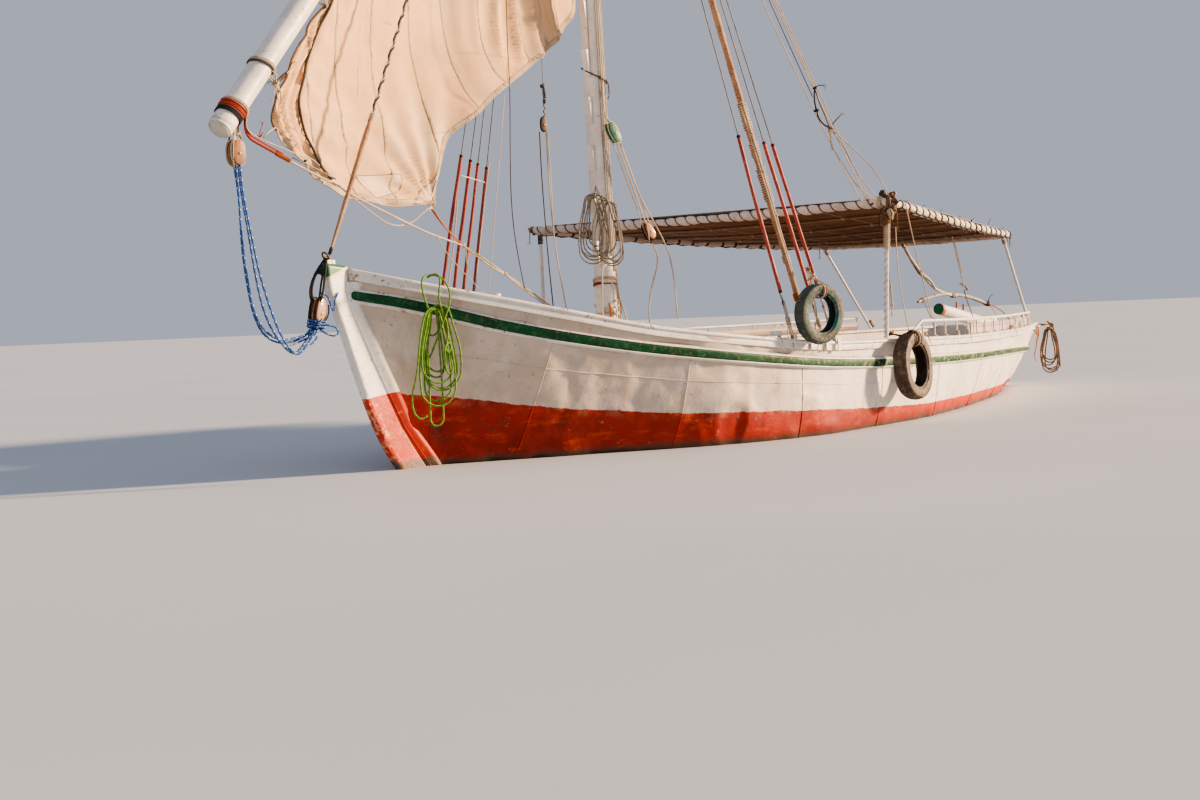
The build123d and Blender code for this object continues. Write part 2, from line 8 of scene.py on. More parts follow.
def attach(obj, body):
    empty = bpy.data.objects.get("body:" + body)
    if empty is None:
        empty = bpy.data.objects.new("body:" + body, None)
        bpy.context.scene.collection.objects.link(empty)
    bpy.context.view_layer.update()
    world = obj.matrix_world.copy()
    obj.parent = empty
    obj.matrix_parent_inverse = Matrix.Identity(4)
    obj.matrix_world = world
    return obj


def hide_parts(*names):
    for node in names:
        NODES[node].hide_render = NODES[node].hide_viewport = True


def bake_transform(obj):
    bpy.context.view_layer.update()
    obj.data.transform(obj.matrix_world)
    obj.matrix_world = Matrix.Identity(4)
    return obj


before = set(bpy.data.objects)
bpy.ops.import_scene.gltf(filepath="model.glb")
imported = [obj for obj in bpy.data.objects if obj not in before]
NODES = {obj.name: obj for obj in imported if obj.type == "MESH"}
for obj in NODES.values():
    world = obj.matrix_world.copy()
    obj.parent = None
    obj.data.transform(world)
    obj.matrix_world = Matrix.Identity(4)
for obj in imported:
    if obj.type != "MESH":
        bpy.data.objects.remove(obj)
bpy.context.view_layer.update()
COL = bpy.context.scene.collection


# =================================================================== numbers shared with the hull's frame
# hull sections in metres: x, then y and z of keel edge, garboard, bilge, side and sheer
ST = np.array([
    (6690, 1335, 42, 1400, 45, 1465, 48, 1530, 54, 1588),
    (6450, 890, 78, 1010, 128, 1160, 195, 1320, 300, 1510),
    (6130, 346, 110, 560, 200, 790, 325, 1080, 530, 1425),
    (5700, -150, 150, 60, 300, 360, 500, 760, 810, 1318),
    (5200, -410, 300, -180, 520, 80, 790, 560, 1115, 1195),
    (4500, -540, 540, -370, 900, -80, 1150, 400, 1450, 1045),
    (3600, -620, 870, -470, 1470, -170, 1680, 200, 1800, 925),
    (2300, -680, 1150, -540, 1830, -250, 2010, 100, 2050, 825),
    (800, -710, 1250, -570, 1830, -280, 2030, 80, 2115, 805),
    (-900, -690, 1150, -550, 1640, -280, 1830, 60, 2040, 790),
    (-2600, -610, 960, -460, 1330, -200, 1510, 100, 1790, 797),
    (-4200, -440, 680, -300, 980, -80, 1120, 180, 1415, 812),
    (-5400, -200, 480, -90, 650, 60, 760, 260, 1035, 822),
    (-6250, 40, 330, 90, 480, 170, 560, 320, 755, 830),
], float) / 1000
RAKE = 0.27
CAP = 0.035
STRAKE_Z = np.array([1455, 1400, 1312, 1180, 1055, 925, 805, 692, 640, 618, 610, 585, 555, 530]) / 1000
STRAKE_H = np.array([78, 80, 82, 84, 84, 82, 80, 76, 74, 72, 70, 68, 66, 64]) / 1000
YARD_Y = -0.200
HEEL = np.array([7.723, YARD_Y, 2.660])
YDIR = np.array([-0.6669, 0.0, 0.7451])
YNRM = np.array([-0.7451, 0.0, -0.6669])      # from the yard down and aft, towards the sail
YARD_HANG, YARD_LEN = 6.640, 15.000


def mast_x(z):
    return 3.070 + 0.029 * z


def mast_r(z):
    return 0.110 + (0.072 - 0.110) * (z - 0.8) / (8.7 - 0.8)


def yard_pt(s, off=0.0, dy=0.0):
    p = HEEL + YDIR * s + YNRM * off
    return np.array([p[0], YARD_Y + dy, p[2]])


def yard_r(s):
    if s < YARD_HANG:
        return 0.093 + (0.088 - 0.093) * s / YARD_HANG
    return 0.088 + (0.038 - 0.088) * (s - YARD_HANG) / (YARD_LEN - YARD_HANG)


# =================================================================== helpers: numbers
def pchip(xs, ys, x):
    """Smooth curve through points with no overshoot. xs rises; ys may have columns."""
    xs, ys, x = np.asarray(xs, float), np.asarray(ys, float), np.asarray(x, float)
    flat = ys.ndim == 1
    if flat:
        ys = ys[:, None]
    h = np.diff(xs)[:, None]
    d = np.diff(ys, axis=0) / h
    m = np.zeros_like(ys)
    if len(xs) > 2:
        a, b = d[:-1], d[1:]
        w1, w2 = 2 * h[1:] + h[:-1], h[1:] + 2 * h[:-1]
        with np.errstate(divide="ignore", invalid="ignore"):
            mm = (w1 + w2) / (w1 / a + w2 / b)
        m[1:-1] = np.where(a * b > 0, mm, 0)
    m[0], m[-1] = d[0], d[-1]
    i = np.clip(np.searchsorted(xs, x, side="right") - 1, 0, len(xs) - 2)
    hh = h[i, 0][..., None]
    t = ((x - xs[i]) / h[i, 0])[..., None]
    y = ((2 * t**3 - 3 * t**2 + 1) * ys[i] + (t**3 - 2 * t**2 + t) * hh * m[i]
         + (-2 * t**3 + 3 * t**2) * ys[i + 1] + (t**3 - t**2) * hh * m[i + 1])
    return y[..., 0] if flat else y


def hash3(ix, iy, iz, seed):
    n = (ix.astype(np.int64) * 374761393 + iy.astype(np.int64) * 668265263 + iz.astype(np.int64) * 2147483647 + seed * 1274126177) & 0xFFFFFFFF
    n = ((n ^ (n >> 13)) * 1274126177) & 0xFFFFFFFF
    n = n ^ (n >> 16)
    return (n & 0xFFFF) / 65535.0


def vnoise(p, scale=1.0, seed=0):
    """Smooth value noise from -1 to 1 at points p."""
    p = np.asarray(p, float) * scale
    i = np.floor(p).astype(np.int64)
    f = p - i
    f = f * f * f * (f * (f * 6 - 15) + 10)
    out = 0
    for dx in (0, 1):
        for dy in (0, 1):
            for dz in (0, 1):
                w = (f[..., 0] if dx else 1 - f[..., 0]) * (f[..., 1] if dy else 1 - f[..., 1]) * (f[..., 2] if dz else 1 - f[..., 2])
                out = out + w * hash3(i[..., 0] + dx, i[..., 1] + dy, i[..., 2] + dz, seed)
    return out * 2 - 1


def fbm(p, scale=1.0, seed=0, octaves=3, gain=0.5):
    out, a = 0, 1.0
    for o in range(octaves):
        out = out + a * vnoise(p, scale * 2**o, seed + 17 * o)
        a *= gain
    return out


def smooth01(t):
    t = np.clip(t, 0, 1)
    return t * t * (3 - 2 * t)


def lerp(a, b, t):
    return np.asarray(a, float) + (np.asarray(b, float) - np.asarray(a, float)) * t


def nurbs(points, per=6):
    """Points along the NURBS spline of order 3 that has these control points."""
    cu = bpy.data.curves.new("route", "CURVE")
    cu.dimensions = "3D"
    sp = cu.splines.new("NURBS")
    sp.points.add(len(points) - 1)
    for q, p in zip(sp.points, points):
        q.co = (float(p[0]), float(p[1]), float(p[2]), 1.0)
    sp.order_u = 3
    sp.use_endpoint_u = True
    sp.resolution_u = per
    cu.resolution_u = per
    ob = bpy.data.objects.new("route", cu)
    me = bpy.data.meshes.new_from_object(ob)
    out = np.array([v.co[:] for v in me.vertices], float)
    bpy.data.meshes.remove(me)
    bpy.data.objects.remove(ob)
    bpy.data.curves.remove(cu)
    keep = np.concatenate([[True], np.linalg.norm(np.diff(out, axis=0), axis=1) > 1e-6])
    return out[keep]


def straight(a, b, n=2, sag=0.0):
    t = np.linspace(0, 1, max(n, 2))[:, None]
    p = lerp(a, b, t)
    p[:, 2] -= sag * 4 * t[:, 0] * (1 - t[:, 0])
    return p


def resample(line, step):
    line = np.asarray(line, float)
    s = np.concatenate([[0], np.cumsum(np.linalg.norm(np.diff(line, axis=0), axis=1))])
    n = max(2, int(math.ceil(s[-1] / step)) + 1)
    at = np.linspace(0, s[-1], n)
    return np.stack([np.interp(at, s, line[:, k]) for k in range(3)], axis=1)


def frames(line):
    """Tangent, normal and binormal at each point, turning as little as they can."""
    line = np.asarray(line, float)
    t = np.gradient(line, axis=0)
    t /= np.maximum(np.linalg.norm(t, axis=1, keepdims=True), 1e-12)
    ref = np.array([0, 0, 1.0]) if abs(t[0][2]) < 0.9 else np.array([0, 1.0, 0])
    n = np.zeros_like(line)
    n[0] = np.cross(ref, t[0])
    n[0] /= np.linalg.norm(n[0])
    for i in range(1, len(line)):
        v = n[i - 1] - t[i] * float(n[i - 1] @ t[i])
        l = np.linalg.norm(v)
        n[i] = v / l if l > 1e-9 else n[i - 1]
    return t, n, np.cross(t, n)


def thinned(line, tol, far):
    """Which points of a line to keep so that it stays within tol of the full line."""
    keep, a = [0], 0
    for i in range(2, len(line)):
        c = line[i] - line[a]
        l2 = float(c @ c)
        w = line[a + 1:i] - line[a]
        e2 = (w * w).sum(1) - (w @ c) ** 2 / max(l2, 1e-12)
        if l2 > far * far or float(e2.max()) > tol * tol:
            a = i - 1
            keep.append(a)
    keep.append(len(line) - 1)
    return np.array(keep)


# =================================================================== helpers: geometry
class Geo:
    """Collects tubes, strips and grids, and makes one mesh object of them."""

    def __init__(self):
        self.v, self.f, self.uv, self.mi, self.n, self.at = [], [], [], [], 0, {}

    def add(self, verts, faces, uvs=None, mi=0, **attrs):
        verts = np.asarray(verts, float).reshape(-1, 3)
        base = self.n
        self.v.append(verts)
        self.n += len(verts)
        for k, f in enumerate(faces):
            self.f.append(tuple(int(i) + base for i in f))
            self.mi.append(mi)
            self.uv.extend(uvs[k] if uvs is not None else [(0.0, 0.0)] * len(f))
        for k, a in attrs.items():
            self.at.setdefault(k, []).append((base, np.asarray(a, float).ravel()))
        return base

    def tube(self, line, r, sides=8, mi=0, d=None, lobes=0, pitch=3.6, cap=True, phase=0.0, flat=1.0, closed=False, depth=0.16, full=False):
        line = np.asarray(line, float)
        m = len(line)
        rr = np.broadcast_to(np.asarray(r, float), (m,)).astype(float)
        big = float(rr.max())
        if not full and not closed and big < 0.021 and m > 3:
            # thin stuff: the material's bump draws the strands, so few sides and few rings do
            if big < 0.0115:
                d = d if d else 2 * big
                lobes, sides = 0, min(sides, 5 if big < 0.0045 else 6)
            if not lobes:
                k = thinned(line, 0.10 * big + 0.0003, 0.14)
                line, rr, m = line[k], rr[k], len(k)
                sides = min(sides, 8)
        t, nn, bb = frames(line)
        if closed:
            t = (np.roll(line, -1, 0) - np.roll(line, 1, 0))
            t /= np.linalg.norm(t, axis=1, keepdims=True)
        s = np.concatenate([[0], np.cumsum(np.linalg.norm(np.diff(line, axis=0), axis=1))])
        d = d if d else 2 * float(rr.max())
        ang = np.arange(sides) / sides * 2 * math.pi + phase
        rad = np.ones((m, sides))
        if lobes:
            tw = s[:, None] / (pitch * d) * 2 * math.pi
            rad = 1 - depth + depth * np.abs(np.cos(lobes / 2 * (ang[None, :] - tw)))
        ca, sa = np.cos(ang)[None, :] * rad, np.sin(ang)[None, :] * rad * flat
        ring = line[:, None, :] + rr[:, None, None] * (ca[..., None] * nn[:, None, :] + sa[..., None] * bb[:, None, :])
        faces, uvs = [], []
        last = m if closed else m - 1
        for i in range(last):
            i2 = (i + 1) % m
            v0, v1 = s[i] / d, (s[i + 1] if i + 1 < m else s[-1] + np.linalg.norm(line[0] - line[-1])) / d
            for j in range(sides):
                j2 = (j + 1) % sides
                faces.append((i * sides + j, i * sides + j2, i2 * sides + j2, i2 * sides + j))
                uvs.append([(j / sides, v0), ((j + 1) / sides, v0), ((j + 1) / sides, v1), (j / sides, v1)])
        if cap and not closed:
            faces.append(tuple(reversed(range(sides))))
            uvs.append([(0.5, 0.0)] * sides)
            faces.append(tuple((m - 1) * sides + j for j in range(sides)))
            uvs.append([(0.5, s[-1] / d)] * sides)
        self.add(ring.reshape(-1, 3), faces, uvs, mi)
        return s[-1]

    def grid(self, pts, mi=0, uv=None, flip=False, wrap_u=False, **attrs):
        """pts is (a, b, 3)."""
        a, b = pts.shape[:2]
        faces, uvs = [], []
        uu = uv if uv is not None else np.stack(np.meshgrid(np.linspace(0, 1, a), np.linspace(0, 1, b), indexing="ij"), -1)
        for i in range(a - 1):
            for j in range(b - 1 if not wrap_u else b):
                j2 = (j + 1) % b
                f = (i * b + j, i * b + j2, (i + 1) * b + j2, (i + 1) * b + j)
                q = [tuple(uu[i, j]), tuple(uu[i, j2]), tuple(uu[i + 1, j2]), tuple(uu[i + 1, j])]
                if flip:
                    f, q = f[::-1], q[::-1]
                faces.append(f)
                uvs.append(q)
        return self.add(pts.reshape(-1, 3), faces, uvs, mi, **{k: np.asarray(x).ravel() for k, x in attrs.items()})

    def box(self, lo, hi, mi=0, m=None):
        x0, y0, z0 = lo
        x1, y1, z1 = hi
        v = np.array([(x0, y0, z0), (x1, y0, z0), (x1, y1, z0), (x0, y1, z0), (x0, y0, z1), (x1, y0, z1), (x1, y1, z1), (x0, y1, z1)], float)
        if m is not None:
            v = v @ np.asarray(m)[:3, :3].T + np.asarray(m)[:3, 3]
        self.add(v, [(3, 2, 1, 0), (4, 5, 6, 7), (0, 1, 5, 4), (1, 2, 6, 5), (2, 3, 7, 6), (3, 0, 4, 7)], None, mi)

    def build(self, name, mats, body, slot=None, replaces=(), smooth=True, weld=0.0, bevel=0.0, subdiv=0, recalc=False):
        me = bpy.data.meshes.new(name)
        v = np.concatenate(self.v)
        me.from_pydata(v.tolist(), [], self.f)
        me.uv_layers.new(name="UVMap")
        me.uv_layers[0].data.foreach_set("uv", np.array(self.uv, np.float32).ravel())
        for k, parts in self.at.items():
            a = np.zeros(len(v), np.float32)
            for base, x in parts:
                a[base:base + len(x)] = x
            me.attributes.new(k, "FLOAT", "POINT").data.foreach_set("value", a)
        for m in (mats if isinstance(mats, (list, tuple)) else [mats]):
            me.materials.append(m)
        me.polygons.foreach_set("material_index", np.array(self.mi, np.int32))
        me.polygons.foreach_set("use_smooth", np.full(len(self.f), bool(smooth)))
        me.update()
        if weld or bevel or subdiv or recalc:
            bm = bmesh.new()
            bm.from_mesh(me)
            if weld:
                bmesh.ops.remove_doubles(bm, verts=bm.verts, dist=weld)
            if bevel:
                es = [e for e in bm.edges if len(e.link_faces) == 2 and e.calc_face_angle(0) > 0.5]
                bmesh.ops.bevel(bm, geom=es, offset=bevel, offset_type="OFFSET", segments=3, profile=0.5, affect="EDGES", clamp_overlap=True)
            if recalc:
                bmesh.ops.recalc_face_normals(bm, faces=bm.faces)
            bm.to_mesh(me)
            bm.free()
            me.update()
        ob = bpy.data.objects.new(name, me)
        COL.objects.link(ob)
        if body:
            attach(ob, body)
        if replaces:
            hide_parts(*replaces)
        return ob


# =================================================================== helpers: materials
class Mat:
    def __init__(self, name):
        self.m = bpy.data.materials.new(name)
        self.m.use_nodes = True
        self.t = self.m.node_tree
        self.t.nodes.clear()
        out = self.t.nodes.new("ShaderNodeOutputMaterial")
        self.b = self.t.nodes.new("ShaderNodeBsdfPrincipled")
        self.t.links.new(self.b.outputs[0], out.inputs[0])
        self.tc = self.t.nodes.new("ShaderNodeTexCoord")
        self.obj = self.tc.outputs["Object"]
        self.uv = self.tc.outputs["UV"]
        self._sep = None

    def put(self, sock, v):
        if isinstance(v, bpy.types.NodeSocket):
            self.t.links.new(v, sock)
        else:
            if sock.type == "RGBA" and len(v) == 3:
                v = (*v, 1.0)
            sock.default_value = v

    def set(self, **kw):
        names = dict(color="Base Color", rough="Roughness", metal="Metallic", spec="Specular IOR Level", coat="Coat Weight",
                     coat_rough="Coat Roughness", sheen="Sheen Weight", sheen_rough="Sheen Roughness", normal="Normal",
                     sss="Subsurface Weight", trans="Transmission Weight", alpha="Alpha", sss_scale="Subsurface Scale", sheen_tint="Sheen Tint", sss_radius="Subsurface Radius")
        for k, v in kw.items():
            self.put(self.b.inputs[names[k]], v)
        return self.m

    def node(self, kind, **kw):
        n = self.t.nodes.new(kind)
        for k, v in kw.items():
            setattr(n, k, v)
        return n

    def math(self, op, a, b=0.0, c=0.0, clamp=False):
        n = self.node("ShaderNodeMath", operation=op, use_clamp=clamp)
        self.put(n.inputs[0], a)
        self.put(n.inputs[1], b)
        if op in ("MULTIPLY_ADD", "COMPARE", "SMOOTH_MIN", "SMOOTH_MAX"):
            self.put(n.inputs[2], c)
        return n.outputs[0]

    def xyz(self, vec=None):
        if vec is None:
            if self._sep is None:
                n = self.node("ShaderNodeSeparateXYZ")
                self.put(n.inputs[0], self.obj)
                self._sep = n.outputs
            return self._sep
        n = self.node("ShaderNodeSeparateXYZ")
        self.put(n.inputs[0], vec)
        return n.outputs

    def scale(self, s, vec=None, loc=(0, 0, 0), rot=(0, 0, 0)):
        n = self.node("ShaderNodeMapping")
        self.put(n.inputs[0], vec if vec is not None else self.obj)
        n.inputs["Scale"].default_value = s
        n.inputs["Location"].default_value = loc
        n.inputs["Rotation"].default_value = rot
        return n.outputs[0]

    def noise(self, scale, detail=3.0, rough=0.55, vec=None, dist=0.0):
        n = self.node("ShaderNodeTexNoise")
        self.put(n.inputs["Vector"], vec if vec is not None else self.obj)
        n.inputs["Scale"].default_value = scale
        n.inputs["Detail"].default_value = detail
        n.inputs["Roughness"].default_value = rough
        n.inputs["Distortion"].default_value = dist
        return n.outputs[0]

    def cells(self, scale, vec=None, feature="F1", rand=1.0, out=0):
        n = self.node("ShaderNodeTexVoronoi", feature=feature)
        self.put(n.inputs["Vector"], vec if vec is not None else self.obj)
        n.inputs["Scale"].default_value = scale
        n.inputs["Randomness"].default_value = rand
        return n.outputs[out]

    def step(self, x, lo, hi, a=0.0, b=1.0):
        n = self.node("ShaderNodeMapRange", interpolation_type="SMOOTHSTEP")
        self.put(n.inputs[0], x)
        self.put(n.inputs[1], lo)
        self.put(n.inputs[2], hi)
        n.inputs[3].default_value = a
        n.inputs[4].default_value = b
        return n.outputs[0]

    def mix(self, fac, a, b, mode="MIX"):
        n = self.node("ShaderNodeMix", data_type="RGBA", blend_type=mode)
        self.put(n.inputs[0], fac)
        self.put(n.inputs[6], a)
        self.put(n.inputs[7], b)
        return n.outputs[2]

    def mixf(self, fac, a, b):
        n = self.node("ShaderNodeMix", data_type="FLOAT")
        self.put(n.inputs[0], fac)
        self.put(n.inputs[2], a)
        self.put(n.inputs[3], b)
        return n.outputs[0]

    def ramp(self, fac, stops, mode="LINEAR"):
        n = self.node("ShaderNodeValToRGB")
        n.color_ramp.interpolation = mode
        els = n.color_ramp.elements
        while len(els) < len(stops):
            els.new(0.5)
        for e, (p, c) in zip(els, stops):
            e.position = p
            e.color = (*c, 1.0) if len(c) == 3 else c
        self.put(n.inputs[0], fac)
        return n.outputs[0]

    def attr(self, name):
        n = self.node("ShaderNodeAttribute", attribute_name=name)
        return n.outputs["Fac"]

    def bump(self, height, dist=0.002, strength=1.0, normal=None):
        n = self.node("ShaderNodeBump")
        n.inputs["Strength"].default_value = strength
        n.inputs["Distance"].default_value = dist
        self.put(n.inputs["Height"], height)
        if normal is not None:
            self.put(n.inputs["Normal"], normal)
        return n.outputs[0]

    def normal_z(self):
        g = self.node("ShaderNodeNewGeometry")
        return self.xyz(g.outputs["Normal"])[2]


WHITE = (0.80, 0.775, 0.73)
RUST = (0.20, 0.075, 0.03)


def grime(M, base, dirt=(0.30, 0.24, 0.17), amount=0.5, scale=3.0):
    """Large soft stains and small specks over a base colour."""
    a = M.noise(scale, 5, 0.62)
    b = M.noise(scale * 9, 4, 0.6)
    f = M.math("MULTIPLY", M.step(a, 0.42, 0.75), M.step(b, 0.30, 0.75))
    return M.mix(M.math("MULTIPLY", f, amount), base, dirt)


def painted(name, col, dark=None, chip=(0.33, 0.29, 0.25), chips=0.62, rough=0.42, scale=1.0, bump=0.0012, streak=True, dirt=0.45):
    M = Mat(name)
    dark = dark or tuple(c * 0.72 for c in col)
    c = M.mix(M.step(M.noise(2.3 * scale, 5, 0.6), 0.3, 0.72), col, dark)
    if streak:
        st = M.noise(7 * scale, 4, 0.6, M.scale((1.6, 1.6, 0.22)))
        c = M.mix(M.math("MULTIPLY", M.step(st, 0.50, 0.78), dirt), c, (0.34, 0.27, 0.20))
    sp = M.noise(60 * scale, 3, 0.7)
    c = M.mix(M.math("MULTIPLY", M.step(sp, 0.60, 0.72), 0.5), c, chip)
    ch = M.math("MULTIPLY", M.step(M.noise(9 * scale, 6, 0.7), chips, chips + 0.05), M.step(M.noise(33 * scale, 4, 0.6), 0.42, 0.55))
    c = M.mix(ch, c, chip)
    h = M.math("ADD", M.math("MULTIPLY", M.noise(45 * scale, 4, 0.6), 0.35), M.math("MULTIPLY", ch, -0.6))
    h = M.math("ADD", h, M.math("MULTIPLY", M.noise(6 * scale, 3, 0.5), 0.9))
    M.set(color=c, rough=M.step(M.noise(12 * scale, 4, 0.6), 0.2, 0.8, rough - 0.1, rough + 0.2), normal=M.bump(h, bump))
    return M.m


def rope_mat(name, a, b, groove=(0.10, 0.08, 0.06), strands=3.0, lay=3.6, flecks=None, rough=0.82, fleck_amt=0.5, dirt=0.4):
    """Laid rope: u runs round it and v along it, in diameters."""
    M = Mat(name)
    u, v, _ = M.xyz(M.uv)
    ph = M.math("ADD", M.math("MULTIPLY", u, strands), M.math("MULTIPLY", v, strands / lay))
    wob = M.math("MULTIPLY", M.noise(40, 2, 0.5), 0.12)
    fr = M.math("FRACT", M.math("ADD", ph, wob))
    tri = M.math("ABSOLUTE", M.math("SUBTRACT", fr, 0.5))          # 0 mid strand, 0.5 in the groove
    crown = M.math("SUBTRACT", 1.0, M.math("POWER", M.math("MULTIPLY", tri, 2.0), 2.4))
    fib = M.noise(1.0, 2, 0.6, M.node_combine(M.math("MULTIPLY", fr, 9.0), M.math("MULTIPLY", v, 1.7), 0.0))
    c = M.mix(M.step(M.noise(5, 4, 0.6), 0.3, 0.7), a, b)
    if flecks is not None:
        idx = M.math("FRACT", M.math("MULTIPLY", M.math("FLOOR", M.math("ADD", ph, wob)), 0.5))
        c = M.mix(M.math("MULTIPLY", M.step(idx, 0.2, 0.3), fleck_amt), c, flecks)
    c = M.mix(M.math("MULTIPLY", M.step(fib, 0.35, 0.75), 0.28), c, tuple(min(1, x * 1.25) for x in a))
    c = M.mix(M.math("MULTIPLY", M.step(M.noise(14, 4, 0.6), 0.5, 0.75), dirt), c, tuple(x * 0.45 for x in b))
    # painted shade: the grooves between the strands are darkened towards the groove colour, deeper in the groove darker
    c = M.mix(M.math("SUBTRACT", 1.0, M.step(crown, 0.0, 0.55)), c, groove)
    h = M.math("ADD", crown, M.math("MULTIPLY", fib, 0.18))
    M.set(color=c, rough=rough, normal=M.bump(h, 0.0022, 0.9), spec=0.25)
    return M.m


def _combine(self, x, y, z):
    n = self.node("ShaderNodeCombineXYZ")
    for s, v in zip(n.inputs, (x, y, z)):
        self.put(s, v)
    return n.outputs[0]


Mat.node_combine = _combine


# =================================================================== stage, camera and light
S = Mat("floor_pale")
S.set(color=S.mix(S.step(S.noise(0.15, 3, 0.5), 0.3, 0.7), (0.50, 0.545, 0.60), (0.54, 0.585, 0.64)), rough=0.75, spec=0.2)
me = bpy.data.meshes.new("floor")
me.from_pydata([(-900, -900, 0), (900, -900, 0), (900, 900, 0), (-900, 900, 0)], [], [(0, 1, 2, 3)])
me.materials.append(S.m)
floor = bpy.data.objects.new("floor", me)
COL.objects.link(floor)

cam_data = bpy.data.cameras.new("camera")
cam_data.lens, cam_data.sensor_width = 50.01, 36.0
cam_data.clip_start, cam_data.clip_end = 0.1, 3000
cam = bpy.data.objects.new("camera", cam_data)
COL.objects.link(cam)
fwd, up = Vector((-0.818, -0.573, -0.048)).normalized(), Vector((-0.063, 0.006, 0.998))
right = fwd.cross(up).normalized()
up = right.cross(fwd).normalized()
cam.matrix_world = Matrix(((right.x, up.x, -fwd.x, 16.263), (right.y, up.y, -fwd.y, 9.089), (right.z, up.z, -fwd.z, 1.145), (0, 0, 0, 1)))
bpy.context.scene.camera = cam


def sun(name, to_light, energy, angle, color):
    d = bpy.data.lights.new(name, "SUN")
    d.energy, d.angle, d.color = energy, math.radians(angle), color
    o = bpy.data.objects.new(name, d)
    COL.objects.link(o)
    o.rotation_euler = Vector(to_light).to_track_quat("Z", "Y").to_euler()
    return o


sun("key", (-0.70, 0.665, 0.255), 10.5, 5, (1.0, 0.70, 0.45))
sun("fill", (0.75, 0.55, 0.45), 0.22, 60, (0.90, 0.90, 1.0))
world = bpy.data.worlds.new("studio")
bpy.context.scene.world = world
world.use_nodes = True
bg = world.node_tree.nodes["Background"]
bg.inputs[0].default_value = (0.82, 0.86, 1.0, 1)
bg.inputs[1].default_value = 0.43
bpy.context.scene.view_settings.look = "AgX - Medium High Contrast"
bpy.context.scene.view_settings.exposure = 0.15


# =================================================================== materials
def blocky(c, k):
    return tuple(x * k for x in c)


RED_SHADE, RED_SUN, RED_PALE = (0.235, 0.030, 0.020), (0.42, 0.052, 0.028), (0.55, 0.20, 0.14)


